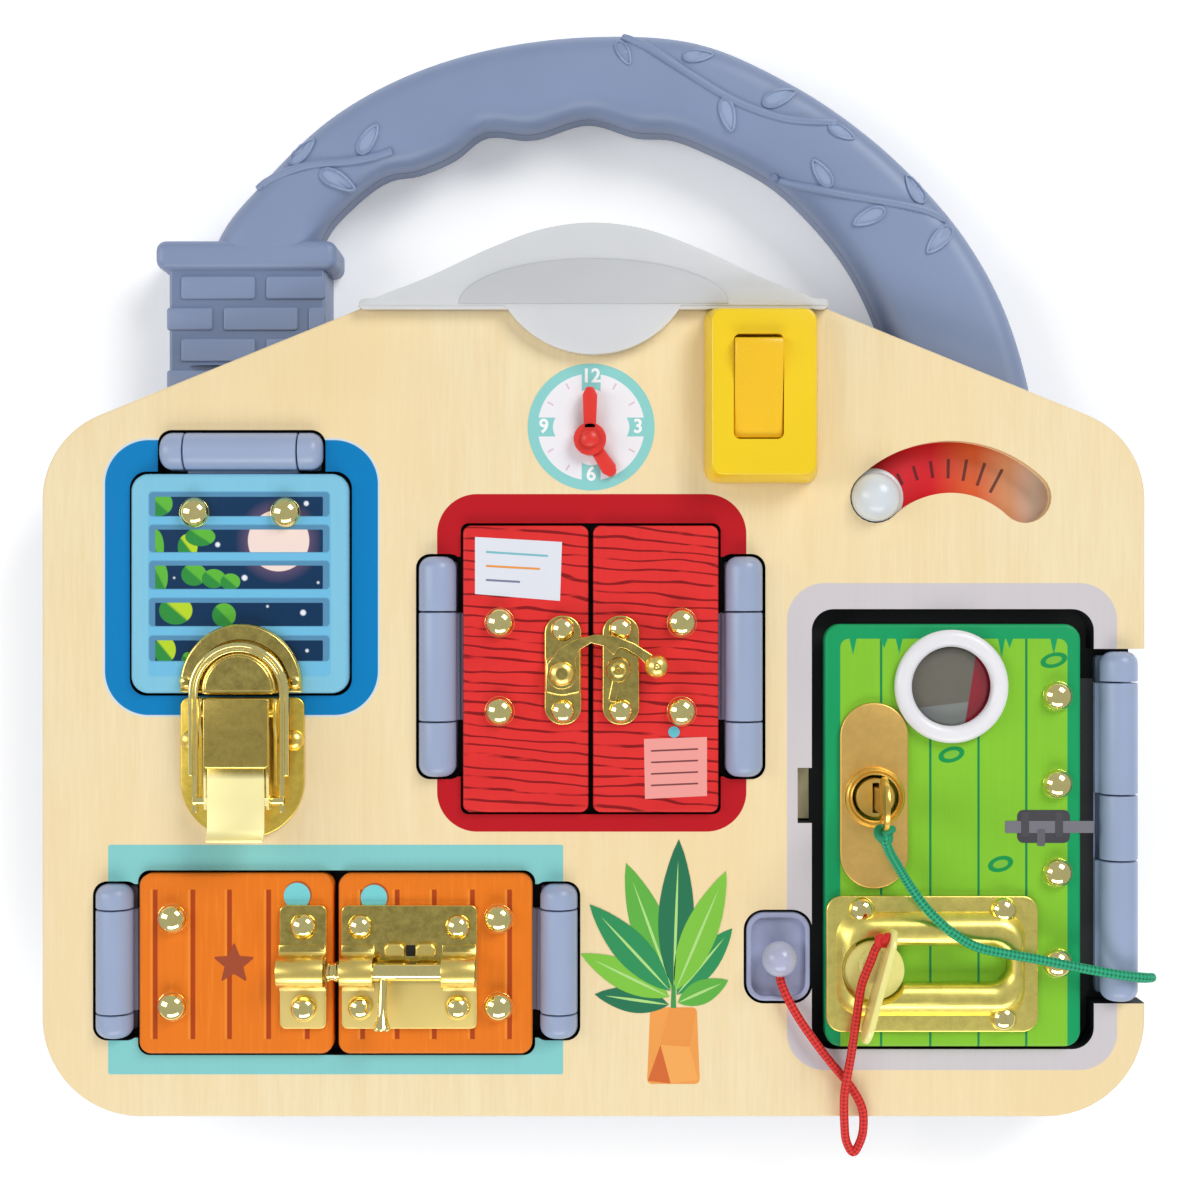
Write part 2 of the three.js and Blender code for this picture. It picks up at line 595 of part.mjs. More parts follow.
function buildBolt() {
  const b = bolt;
  const keeperX = (b.keeperLeft + b.keeperRight) / 2;
  const keeperY = (b.keeperFoot + b.keeperTop) / 2;
  const keeperPlate = rectangle(b.keeperLeft, b.keeperRight, b.keeperFoot, b.keeperTop, b.corner, 3);
  let keeper = join(slab(keeperPlate, plateBack, plateFace), strap(b.keeperLeft, b.keeperRight));
  [-1, 1].forEach((side) => {
    const y = keeperY + side * b.keeperDomeHalf;
    keeper = join(keeper, dome(keeperX, y, plateDome.radius, plateDome.height, plateFace));
  });
  addPiece('bolt_keeper', keeper, finishes.brass);
  let guide = slab(rectangle(b.left, b.right, b.foot, b.top, b.corner, 3), plateBack, plateFace);
  guide = join(guide, strap(b.left, b.left + b.strapLeft), strap(b.right - b.strapRight, b.right));
  const slotHalf = b.handle + running;
  const slotRise = strapRadius * Math.tan(limitOf(b.handleTilt));
  const slotFoot = b.y - 2 * b.rod;
  guide = cut(guide, box(b.left - overrun, b.handleX, slotFoot, b.y, boltAxis - slotHalf, boltAxis + slotHalf + slotRise));
  [b.left + b.domeIn, b.right - b.domeIn].forEach((x) => {
    [b.foot + b.domeUp, b.top - b.domeUp].forEach((y) => {
      guide = join(guide, dome(x, y, plateDome.radius, plateDome.height, plateFace));
    });
  });
  addPiece('bolt_guide', guide, finishes.brass);
  let bar = rod(b.rod, b.tail - b.tip, barrelSteps).rotateZ(quarter).translate((b.tail + b.tip) / 2, b.y, boltAxis);
  const stick = [[0, 0], [b.handleEnd, 0], [b.handleEnd, seat], [b.handle, b.flare], [b.handle, b.handleLength]];
  stick.push([0, b.handleLength]);
  const knob = new THREE.LatheGeometry(stick.map(([r, h]) => new THREE.Vector2(r, h)), smallSteps);
  knob.translate(0, -b.handleLength, 0).rotateX(-limitOf(b.handleTilt));
  bar = join(bar, knob.translate(b.handleX, b.y, boltAxis));
  addPiece('bolt_rod', bar, finishes.brass);
}

buildBolt();

// Draw latch under the window: catch on the window, base on the board, lever and bail
const latch = {
  x: -88.9, baseWidth: 31.4, baseFoot: 70.9, baseTop: 106.6, baseThick: 1, baseRadius: 14,
  pivotY: 102.8, pivotLift: 7, pin: 1.2, earIn: 8.9, earThick: 0.9, earLength: 10,
  leverHalf: 8.1, leverTop: 106.8, leverFoot: 89.9, leverRise: 3.6, sheet: 1,
  tipFoot: 71.9, tipHalf: 7.1, tipDrop: 1.4, tipRise: 1.8, bailPivotY: 80.9, bailDrop: 1,
  bailHalf: 12.6, bailBar: 2.4, bailNarrow: 1.2, bailStep: 87.6, bailTop: 120.6, bailThick: 1.4, bailEnd: 3,
  catchFoot: 107.7, catchTop: 125.2, humpHalf: 8.5, humpTop: 117.3, humpRise: 5.2,
};
const latchPivotZ = boardFace + seat + latch.pivotLift;
const bailZ = latchPivotZ - latch.bailDrop;

function arch(halfWidth, foot, top, steps = 10) {
  const shape = new THREE.Shape();
  const centre = top - halfWidth;
  shape.moveTo(latch.x - halfWidth, foot);
  shape.lineTo(latch.x + halfWidth, foot);
  for (let i = 0; i <= steps; i += 1) {
    const angle = (Math.PI * i) / steps;
    shape.lineTo(latch.x + halfWidth * Math.cos(angle), centre + halfWidth * Math.sin(angle));
  }
  return shape;
}

function acrossX(radius, half, y, z) {
  return rod(radius, 2 * half).rotateZ(quarter).translate(latch.x, y, z);
}

function buildDrawLatch() {
  const l = latch;
  const baseBack = boardFace + seat;
  const baseFront = baseBack + l.baseThick;
  const half = l.baseWidth / 2;
  const [left, right] = [l.x - half, l.x + half];
  const corners = [[left, l.baseFoot], [right, l.baseFoot], [right, l.baseTop], [left, l.baseTop]];
  const radii = [l.baseRadius, l.baseRadius, plate.corner, plate.corner];
  let base = slab(roundedOutline(corners, radii, 4), baseBack, baseFront);
  [-1, 1].forEach((side) => {
    const edges = [l.x + side * l.earIn, l.x + side * (l.earIn + l.earThick)].sort((a, b) => a - b);
    const foot = l.pivotY - l.earLength / 2;
    base = join(base, box(...edges, foot, foot + l.earLength - l.pin, baseFront - seat, latchPivotZ + l.pin + seat));
  });
  base = join(base, acrossX(l.pin, l.earIn + l.earThick, l.pivotY, latchPivotZ));
  addPiece('latch_base', base, finishes.brass);

  const top = latchPivotZ + l.leverRise;
  let lever = box(l.x - l.leverHalf, l.x + l.leverHalf, l.leverFoot, l.leverTop, top - l.sheet, top);
  [-1, 1].forEach((side) => {
    const edges = [l.x + side * l.leverHalf, l.x + side * (l.leverHalf - l.sheet)].sort((a, b) => a - b);
    const skirt = new THREE.Shape([
      new THREE.Vector2(l.leverTop - seat, top),
      new THREE.Vector2(l.pivotY + l.pin + running + l.sheet, latchPivotZ - l.pin - l.sheet),
      new THREE.Vector2(l.bailPivotY - l.pin - l.sheet, bailZ - l.pin - l.sheet),
      new THREE.Vector2(l.bailPivotY - l.pin - l.sheet, top - l.tipDrop),
      new THREE.Vector2(l.leverFoot, top),
    ].reverse());
    const wall = new THREE.ExtrudeGeometry(skirt, { depth: l.sheet, bevelEnabled: false });
    lever = join(lever, wall.rotateX(quarter).rotateZ(quarter).translate(edges[0], 0, 0));
  });
  const tip = new THREE.Shape([
    new THREE.Vector2(l.leverFoot + l.sheet, top - l.sheet - seat),
    new THREE.Vector2(l.leverFoot + l.sheet, top - seat),
    new THREE.Vector2(l.bailPivotY, top - l.tipDrop + l.sheet),
    new THREE.Vector2(l.tipFoot + l.sheet, top - l.tipDrop + l.sheet),
    new THREE.Vector2(l.tipFoot, top + l.tipRise),
    new THREE.Vector2(l.tipFoot - l.sheet / 2, top + l.tipRise),
    new THREE.Vector2(l.tipFoot, top - l.tipDrop),
    new THREE.Vector2(l.bailPivotY, top - l.tipDrop),
  ]);
  const bill = new THREE.ExtrudeGeometry(tip, { depth: 2 * l.tipHalf, bevelEnabled: false });
  lever = join(lever, bill.rotateX(quarter).rotateZ(quarter).translate(l.x - l.tipHalf, 0, 0));
  const [webFoot, webTop] = [l.bailPivotY - l.sheet, l.bailPivotY + l.sheet];
  const webFront = top - l.tipDrop + seat;
  lever = join(lever, box(l.x - l.leverHalf, l.x + l.leverHalf, webFoot, webTop, webFront - l.sheet - seat, webFront));
  const bore = l.pin + running;
  lever = cut(lever, acrossX(bore, half, l.pivotY, latchPivotZ), acrossX(bore, half, l.bailPivotY, bailZ));
  addPiece('latch_lever', lever, finishes.brass);

  const bailBack = bailZ - l.bailThick / 2;
  const bailFront = bailZ + l.bailThick / 2;
  const foot = l.bailPivotY - l.bailEnd;
  const innerHalf = l.bailHalf - l.bailBar;
  let bail = slab(arch(l.bailHalf, foot, l.bailTop), bailBack, bailFront);
  const room = arch(innerHalf, foot - overrun, l.bailTop - l.bailBar);
  bail = cut(bail, slab(room, bailBack - overrun, bailFront + overrun));
  [-1, 1].forEach((side) => {
    const step = [l.bailHalf - l.bailNarrow, l.bailHalf + overrun];
    const edges = step.map((x) => l.x + side * x).sort((a, b) => a - b);
    bail = cut(bail, box(...edges, foot - overrun, l.bailStep, bailBack - overrun, bailFront + overrun));
  });
  bail = join(bail, acrossX(l.pin, innerHalf + l.bailBar / 2, l.bailPivotY, bailZ));
  addPiece('latch_bail', bail, finishes.brass);

  let strike = slab(arch(half - seat, l.catchFoot, l.catchTop), plateBack, plateFace);
  const humpFront = plateBack + l.humpRise;
  strike = join(strike, slab(arch(l.humpHalf, l.catchFoot, l.humpTop), plateFace - seat, humpFront));
  const hollow = arch(l.humpHalf - l.sheet, l.catchFoot - overrun, l.humpTop - l.sheet);
  strike = cut(strike, slab(hollow, plateBack - overrun, humpFront - l.sheet));
  addPiece('window_catch', strike, finishes.brass);
}

buildDrawLatch();

// Clock: two hands on a pin
const clock = {
  x: -0.9, y: 171.9, pin: 1.3, hub: 4, handThick: 1.2, lift: 0.5, gap: 0.4, minute: 13.3, hour: 9.9,
  cap: 2.2, capHeight: 1.6, width: 3.6, tipWidth: 2.6, minuteTurn: 0, hourTurn: -147,
};

function hand(length, turn, z) {
  const outline = new THREE.Shape([
    new THREE.Vector2(-clock.width / 2, 0),
    new THREE.Vector2(clock.width / 2, 0),
    new THREE.Vector2(clock.tipWidth / 2, length),
    new THREE.Vector2(-clock.tipWidth / 2, length),
  ]);
  let solid = join(post(0, 0, clock.hub, z, z + clock.handThick), slab(outline, z, z + clock.handThick));
  solid = cut(solid, post(0, 0, clock.pin + running, z - overrun, z + clock.handThick + overrun, smallSteps));
  return solid.rotateZ(limitOf(turn)).translate(clock.x, clock.y, 0);
}

function buildClock() {
  const c = clock;
  const hourZ = boardFace + c.lift;
  const minuteZ = hourZ + c.handThick + c.gap;
  const top = minuteZ + c.handThick + c.gap;
  addPiece('hour_hand', hand(c.hour, c.hourTurn, hourZ), finishes.handRed);
  addPiece('minute_hand', hand(c.minute, c.minuteTurn, minuteZ), finishes.handRed);
  let pin = post(c.x, c.y, c.pin, boardBack - seat - depth.backing, top + seat, smallSteps);
  pin = join(pin, dome(c.x, c.y, c.cap, c.capHeight, top + seat));
  addPiece('clock_pin', pin, finishes.handRed);
  boardCuts.push(post(c.x, c.y, c.pin + running, boardBack - overrun, boardFace + overrun, smallSteps));
}

buildClock();

// Slide: a knob that runs in a curved slot over a printed strip
const slide = {
  x: 90.7, y: 137.7, radius: 27.3, halfAngle: 44, width: 13.2, lip: 1.7, lipThick: 4,
  stripThick: 1.5, base: 6.2, dome: 6, height: 5.4,
};

function arcBand(halfWidth, z0, z1, steps = 10, capSteps = 6) {
  const { x, y, radius, halfAngle } = slide;
  const half = limitOf(halfAngle);
  const from = quarter + half;
  const to = quarter - half;
  const points = [];
  const arc = (cx, cy, r, a, b, count, skip) => {
    for (let i = skip; i <= count - skip; i += 1) {
      const angle = a + ((b - a) * i) / count;
      points.push(new THREE.Vector2(cx + r * Math.cos(angle), cy + r * Math.sin(angle)));
    }
  };
  const capAt = (angle, a) => {
    arc(x + radius * Math.cos(angle), y + radius * Math.sin(angle), halfWidth, a, a - Math.PI, capSteps, 1);
  };
  arc(x, y, radius + halfWidth, from, to, steps, 0);
  capAt(to, to);
  arc(x, y, radius - halfWidth, to, from, steps, 0);
  capAt(from, from + Math.PI);
  return slab(new THREE.Shape(points.reverse()), z0, z1);
}

function buildSlide() {
  const s = slide;
  const lipBack = boardFace - s.lipThick;
  boardCuts.push(arcBand(s.width / 2, boardBack - overrun, boardFace + overrun));
  boardCuts.push(arcBand(s.width / 2 + s.lip, boardBack - overrun, lipBack));
  const stripFront = boardBack + s.stripThick;
  addPiece('slide_strip', arcBand(s.width / 2 + s.lip - seat, boardBack, stripFront), finishes.milky);
  const from = stripFront + running;
  const domeShares = [[1, 0], [0.97, 0.3], [0.82, 0.68], [0.5, 0.93], [0, 1]];
  const flange = s.width / 2 + s.lip - running - seat;
  const profile = [[0, from], [flange, from], [flange, lipBack - running], [s.base, lipBack - running], [s.base, boardFace]];
  domeShares.forEach(([r, h]) => profile.push([s.dome * r, boardFace + seat + s.height * h]));
  const a = quarter + limitOf(s.halfAngle);
  const knob = turned(profile).translate(s.x + s.radius * Math.cos(a), s.y + s.radius * Math.sin(a), 0);
  addPiece('slide_knob', knob, finishes.white);
}

buildSlide();

// Switch: yellow block on the board, rocker and the switch body below it
const rockerSwitch = {
  left: 28, right: 56.9, foot: 160.8, top: 205.3, height: 9.5, draft: 1.5, corner: 2,
  rockerX: 41.2, rockerY: 184.4, rockerWidth: 12, rockerLength: 24.6, rockerRise: 2.2, tilt: 9,
  blockWidth: 10, blockLength: 16, axle: 1.2, wall: 1.6,
};

function buildSwitch() {
  const s = rockerSwitch;
  const z0 = boardFace + seat;
  const z1 = z0 + s.height;
  const shape = rectangle(s.left, s.right, s.foot, s.top, s.corner);
  const tall = new THREE.ExtrudeGeometry(shape, {
    depth: seat, bevelThickness: s.height - seat, bevelSize: s.draft, bevelOffset: -s.draft, bevelSegments: 1,
  }).translate(0, 0, z0);
  const above = slab(rectangle(s.left - overrun, s.right + overrun, s.foot - overrun, s.top + overrun), z0, z1 + overrun);
  let face = common(tall, above);
  const [x, y] = [s.rockerX, s.rockerY];
  const width = s.rockerWidth + 2 * running;
  face = cut(face, slab(around(x, y, width, s.rockerLength + s.wall), z0 - overrun, z1 + overrun));
  const room = around(x, y, width + 2 * s.wall, s.rockerLength + 2 * s.wall);
  face = cut(face, slab(room, z0 - overrun, z1 - s.wall));
  addPiece('switch_plate', face, finishes.yellow);
  const axleZ = z1 - s.wall - s.axle;
  const half = s.rockerLength / 2;
  const profile = new THREE.Shape([
    new THREE.Vector2(-half, 0),
    new THREE.Vector2(0, -s.axle * 2),
    new THREE.Vector2(half, 0),
    new THREE.Vector2(half, s.axle + s.rockerRise),
    new THREE.Vector2(0, s.axle + s.wall),
    new THREE.Vector2(-half, s.axle + s.rockerRise),
  ]);
  const solid = new THREE.ExtrudeGeometry(profile, { depth: s.rockerWidth, bevelEnabled: false });
  const rocker = solid.rotateX(quarter).rotateZ(quarter).translate(-s.rockerWidth / 2, 0, 0).rotateX(limitOf(s.tilt));
  addPiece('rocker', rocker.translate(x, y, axleZ), finishes.yellow);
  boardCut(around(x, y, s.blockWidth + 2 * running, s.blockLength + 2 * running));
  const blockFront = axleZ - 2 * s.axle - seat;
  addPiece('switch_block', slab(around(x, y, s.blockWidth, s.blockLength), boardBack, blockFront), finishes.black);
}

buildSwitch();

// Roof lamp: a translucent cover over the ridge, with a half-round lip on the board
const lamp = {
  half: 59.5, apex: 226.4, lipRadius: 26.3, lipHalf: 21.7, lipDrop: 12, lipThick: 3, back: 8, wall: 1.8,
  tipWall: 5.4,
  curveShares: [
    [-1, 0], [-0.9, 0.12], [-0.71, 0.33], [-0.43, 0.7], [-0.22, 0.92], [0, 1],
    [0.22, 0.92], [0.46, 0.67], [0.7, 0.35], [0.9, 0.12], [1, 0],
  ],
};

// The lamp's curve over the ridge: its outside, or the room inside its wall
function lampOutline(topWall, tipWall) {
  const floor = house.ridge + seat;
  const height = lamp.apex - floor - topWall;
  const half = lamp.half - tipWall;
  const points = lamp.curveShares.map(([x, y]) => new THREE.Vector2(x * half, floor + y * height));
  const curve = new THREE.SplineCurve(points).getPoints(16);
  return new THREE.Shape(curve.reverse());
}

function buildLamp() {
  const l = lamp;
  const front = boardFace + seat + l.lipThick;
  let cover = slab(lampOutline(0, 0), l.back, front);
  const lip = [];
  const steps = 8;
  const sink = l.lipRadius - l.lipDrop;
  for (let i = 0; i <= steps; i += 1) {
    const spread = Math.acos(sink / l.lipRadius);
    const angle = -quarter - spread + (2 * spread * i) / steps;
    lip.push(new THREE.Vector2(l.lipRadius * Math.cos(angle), house.ridge + sink + l.lipRadius * Math.sin(angle)));
  }
  const lipTop = house.ridge + l.lipThick;
  lip.push(new THREE.Vector2(l.lipHalf, lipTop), new THREE.Vector2(-l.lipHalf, lipTop));
  cover = join(cover, slab(new THREE.Shape(lip), front - l.lipThick, front));
  const room = slab(lampOutline(l.wall, l.tipWall), l.back + l.wall, front - l.lipThick);
  cover = cut(cover, room.translate(0, -l.wall, 0));
  addPiece('roof_lamp', cover, finishes.milky);
}

buildLamp();

// Cord anchor: a tray in the board with a frosted ball cap that holds the cord's end
const anchor = {
  left: 38.8, right: 54.9, foot: 29.5, top: 51.9, corner: 4.5, rise: 0.6, rim: 1.4, dish: 1.6,
  x: 46.9, y: 40.8, ball: 4.5, stem: 1.8,
};

function buildAnchor() {
  const a = anchor;
  const outline = (grow) => rectangle(a.left - grow, a.right + grow, a.foot - grow, a.top + grow, a.corner + grow);
  boardCut(outline(door.rim));
  const face = boardFace + a.rise;
  let tray = slab(outline(0), boardBack, face);
  tray = cut(tray, slab(outline(-a.rim), face - a.dish, face + overrun));
  addPiece('cord_anchor', tray, finishes.housing);
  const ballShares = [[0.45, -0.9], [0.8, -0.6], [1, 0], [0.86, 0.5], [0.5, 0.87], [0, 1]];
  const base = face - a.dish + seat;
  const profile = [[0, base], [a.stem, base]];
  ballShares.forEach(([r, h]) => profile.push([a.ball * r, base + a.ball * (1 + h)]));
  addPiece('anchor_cap', turned(profile).translate(a.x, a.y, 0), finishes.milky);
}

buildAnchor();

// Housing screws join the housing to the board. Each runs in a boss of the housing
const screw = { shank: 1.4, head: 2.8, headThick: 1.6, boss: 4.2, sink: 3, length: 21.5 };
const screwPlaceShares = [[-0.457, 0.35], [0.436, 0.71]];
const screwPlaces = screwPlaceShares.map(([x, y]) => [x * house.width, y * house.ridge]);
const screwFoot = screw.sink - screw.headThick;

function screwHole(x, y, z0, z1) {
  return post(x, y, screw.shank + running, z0, z1, smallSteps);
}

screwPlaces.forEach(([x, y], i) => {
  const end = screwFoot + screw.length;
  const head = post(x, y, screw.head, screwFoot, screw.sink, smallSteps);
  addPiece(`housing_screw_${i + 1}`, join(head, post(x, y, screw.shank, screwFoot, end, smallSteps)), finishes.steel);
  boardCuts.push(screwHole(x, y, boardBack - overrun, end + running));
});

// Front board and backing board
let frontBoard = slab(houseOutline(0), boardBack, boardFace);
frontBoard = cut(frontBoard, ...boardCuts);
addPiece('front_board', frontBoard, finishes.birch);

const margin = { backing: 2, housing: 2.6 };
let backing = slab(houseOutline(margin.backing), backingFloor, backingTop);
const pinHole = post(clock.x, clock.y, clock.pin + running, backingFloor - overrun, backingTop + overrun, smallSteps);
backing = cut(backing, pinHole, ...screwPlaces.map(([x, y]) => screwHole(x, y, backingFloor - overrun, backingTop + overrun)));
addPiece('backing_board', backing, finishes.black);

// Rear housing: a tray with half of the chimney and of the arched handle. A front shell closes those two
const shell = { wall: 2, split: 9.4, front: 19.6, edge: 4, backEdge: 2.4 };
const handle = {
  span: 213,
  rise: 278,
  foot: 166.8,
  outerShares: [
    [-0.5, 0.225], [-0.457, 0.53], [-0.405, 0.655], [-0.325, 0.8025], [-0.235, 0.9025], [-0.126, 0.97], [0.009, 1],
    [0.13, 0.9813], [0.242, 0.8875], [0.323, 0.785], [0.388, 0.675], [0.452, 0.5325], [0.5, 0.37], [0.531, 0.1825],
    [0.545, 0],
  ],
  innerShares: [
    [-0.345, 0.225], [-0.336, 0.53], [-0.299, 0.62], [-0.255, 0.6813], [-0.217, 0.695], [-0.172, 0.7325], [-0.134, 0.785],
    [-0.076, 0.78], [-0.007, 0.8163], [0.054, 0.785], [0.097, 0.78], [0.153, 0.7375], [0.218, 0.67], [0.266, 0.5875],
    [0.315, 0.47], [0.352, 0.3225], [0.375, 0.15], [0.38, 0],
  ],
  steps: 24,
};
const chimney = {
  left: -110, right: -69.6, foot: 184, capLeft: -113.3, capRight: -66.5, capFoot: 216.6, capTop: 224.2, front: 18.4,
  brick: [19, 5.5], mortar: [3, 2.8], relief: 0.6, rows: 5, firstIn: 3.2, firstDrop: 1.6,
};

function edgeCurve(shares) {
  const reach = handle.rise - handle.foot;
  return new THREE.SplineCurve(shares.map(([x, y]) => new THREE.Vector2(x * handle.span, handle.foot + y * reach)));
}

// Half of the handle: a channel swept between its two edges, open at the split and rounded where it closes
function handleChannel(open, closed, edge) {
  const way = Math.sign(closed - open);
  const soft = edge * (1 - Math.SQRT1_2);
  const w = shell.wall;
  const turn = edge - (edge - w) * Math.SQRT1_2;
  const outside = [[0, open], [0, closed - way * edge], [soft, closed - way * soft], [edge, closed]];
  const inside = [[w, open], [w, closed - way * edge], [turn, closed - way * turn], [edge, closed - way * w]];
  const outer = edgeCurve(handle.outerShares).getSpacedPoints(handle.steps);
  const inner = edgeCurve(handle.innerShares).getSpacedPoints(handle.steps);
  const rings = outer.map((a, i) => {
    const width = a.distanceTo(inner[i]);
    const mirrored = ([t, z]) => [width - t, z];
    const section = [...outside, ...outside.map(mirrored).reverse(), ...inside.map(mirrored), ...inside.toReversed()];
    return section.map(([t, z]) => {
      const p = a.clone().lerp(inner[i], t / width);
      return [p.x, p.y, z];
    });
  });
  const count = rings[0].length;
  const last = handle.steps * count;
  const index = [];
  const face = (a, b, c, d) => index.push(...(way < 0 ? [a, b, c, a, c, d] : [a, c, b, a, d, c]));
  for (let i = 0; i < last; i += count) {
    for (let j = 0; j < count; j += 1) {
      const k = (j + 1) % count;
      face(i + j, i + count + j, i + count + k, i + k);
    }
  }
  for (let j = 0; j < count / 2 - 1; j += 1) {
    const k = count - 1 - j;
    face(j, j + 1, k - 1, k);
    face(last + j, last + k, last + k - 1, last + j + 1);
  }
  const geometry = new THREE.BufferGeometry();
  geometry.setAttribute('position', new THREE.Float32BufferAttribute(rings.flat(2), 3));
  geometry.setIndex(index);
  return geometry;
}

function chimneyBlock(inset, z0, z1, capExtra) {
  const c = chimney;
  return join(
    box(c.left + inset, c.right - inset, c.foot, c.capFoot + seat, z0, z1),
    box(c.capLeft + inset, c.capRight - inset, c.capFoot + inset, c.capTop - inset, z0, z1 + capExtra),
  );
}

function brickwork(z) {
  const c = chimney;
  const [width, height] = c.brick;
  const bricks = [];
  for (let row = 0; row < c.rows; row += 1) {
    const top = c.capFoot - c.firstDrop - row * (height + c.mortar[1]);
    const shift = row % 2 === 0 ? c.firstIn : c.firstIn - (width + c.mortar[0]) / 2;
    for (let x = c.left + shift; x < c.right; x += width + c.mortar[0]) {
      const left = Math.max(x, c.left);
      const right = Math.min(x + width, c.right);
      bricks.push(box(left, right, top - height, top, z - seat, z + c.relief));
    }
  }
  return bricks;
}

// Battery bay in the housing, with its door let into the back and held by one screw
const bay = {
  x: 0, y: 46, cellLength: 44.5, cellRadius: 5.1, cellGap: 1, wall: 1.5, room: 1.8, side: 0.5, ledge: 2, doorThick: 1.6,
  contact: 0.6, contactHeight: 8, button: 2.1, buttonLength: 1.2, lug: 4.2, headSink: 0.9,
};
const bayHalf = [bay.cellLength / 2 + bay.room, 2 * bay.cellRadius + bay.cellGap / 2 + bay.side];
const bayFloor = bay.doorThick + 2 * seat;
const bayTop = bayFloor + 2 * bay.cellRadius + running;
const lugX = bay.x + bayHalf[0] + bay.ledge + bay.lug;

function bayBox(grow, z0, z1) {
  const [halfX, halfY] = bayHalf;
  return box(bay.x - halfX - grow, bay.x + halfX + grow, bay.y - halfY - grow, bay.y + halfY + grow, z0, z1);
}

function bayDoor(shrink, z0, z1) {
  const lug = bay.lug - shrink;
  return join(
    bayBox(bay.ledge - shrink, z0, z1),
    box(bay.x, lugX, bay.y - lug, bay.y + lug, z0, z1),
    post(lugX, bay.y, lug, z0, z1, smallSteps),
  );
}

// Lamp board: it stands behind the housing's top wall and its light passes through that wall into the lamp
const lampBoard = { half: 12, thick: 1.6, top: 15.4, led: 1.5, ledZ: 12, ledReach: 6 };
const topWall = house.ridge - margin.housing - shell.wall;

function buildHousing() {
  const w = shell.wall;
  const houseInside = slab(houseOutline(margin.housing + w), w, depth.housing + overrun);
  const houseRoom = slab(houseOutline(margin.backing - running), -overrun, boardFace);
  const c = chimney;
  const [roomLeft, roomRight] = [c.capLeft - overrun, c.capRight + overrun];
  const chimneyRoom = box(roomLeft, roomRight, c.foot - overrun, c.capTop - shell.edge, -overrun, boardFace);

  let rear = slab(houseOutline(margin.housing), 0, depth.housing);
  const rearChannel = cut(handleChannel(shell.split, 0, shell.backEdge), chimneyRoom);
  const rearStack = cut(chimneyBlock(0, 0, shell.split, 0), chimneyBlock(w, w, shell.split + overrun, 0));
  rear = join(rear, rearChannel, rearStack);
  rear = cut(rear, houseInside);
  const bossTop = bayTop - bay.wall;
  rear = join(
    rear,
    bayBox(bay.ledge + bay.wall, w - seat, bayTop + bay.wall),
    post(lugX, bay.y, bay.lug + bay.wall, w - seat, bossTop, smallSteps),
  );
  rear = cut(rear, bayBox(0, -overrun, bayTop), bayDoor(0, -overrun, bayFloor));
  rear = cut(rear, screwHole(lugX, bay.y, 0, bossTop + overrun));
  rear = cut(rear, rod(lampBoard.led + running, 4 * w).translate(0, topWall + w, lampBoard.ledZ));
  screwPlaces.forEach(([x, y]) => {
    rear = join(rear, post(x, y, screw.boss, w - seat, depth.housing, smallSteps));
    rear = cut(rear, screwHole(x, y, -overrun, depth.housing + overrun));
    rear = cut(rear, post(x, y, screw.head + running, -overrun, screw.sink + seat, smallSteps));
  });
  addPiece('rear_housing', rear, finishes.housing);

  let front = cut(handleChannel(shell.split + seat, shell.front, shell.edge), chimneyRoom);
  const stack = chimneyBlock(0, shell.split + seat, c.front, shell.front - c.front);
  front = join(front, cut(stack, chimneyBlock(w, shell.split - overrun, c.front - w, 0)), ...brickwork(c.front));
  front = cut(front, houseRoom);
  addPiece('handle_front', front, finishes.housing);

  const doorFront = seat + bay.doorThick;
  const lid = cut(
    bayDoor(running, seat, doorFront),
    screwHole(lugX, bay.y, -overrun, doorFront + overrun),
    post(lugX, bay.y, screw.head + running, -overrun, seat + bay.headSink, smallSteps),
  );
  addPiece('battery_door', lid, finishes.housing);
  addPiece('battery_door_screw', join(
    post(lugX, bay.y, screw.head, seat, bay.headSink, smallSteps),
    post(lugX, bay.y, screw.shank, seat, bossTop - running, smallSteps),
  ), finishes.steel);
  const cellZ = bayFloor + bay.cellRadius;
  [-1, 1].forEach((side, i) => {
    const y = bay.y + side * (bay.cellRadius + bay.cellGap / 2);
    const barrel = rod(bay.cellRadius, bay.cellLength - bay.buttonLength, barrelSteps);
    const button = rod(bay.button, bay.buttonLength + seat).translate(0, (bay.cellLength - seat) / 2, 0);
    const cell = join(barrel, button).rotateZ(side * quarter).translate(bay.x, y, cellZ);
    addPiece(`cell_${i + 1}`, cell, finishes.cell);
  });
  const contactX = bay.x - bay.cellLength / 2 - bay.room + running;
  addPiece('battery_contact', box(
    contactX, contactX + bay.contact, bay.y - 2 * bay.cellRadius, bay.y + 2 * bay.cellRadius,
    bayFloor + seat, bayFloor + bay.contactHeight,
  ), finishes.steel);

  const l = lampBoard;
  const boardTop = topWall - seat;
  const circuit = box(-l.half, l.half, boardTop - l.thick, boardTop, w + seat, l.top);
  const led = rod(l.led, l.ledReach + seat).translate(0, boardTop + (l.ledReach - seat) / 2, l.ledZ);
  addPiece('lamp_board', join(circuit, led), finishes.circuit);
}

buildHousing();

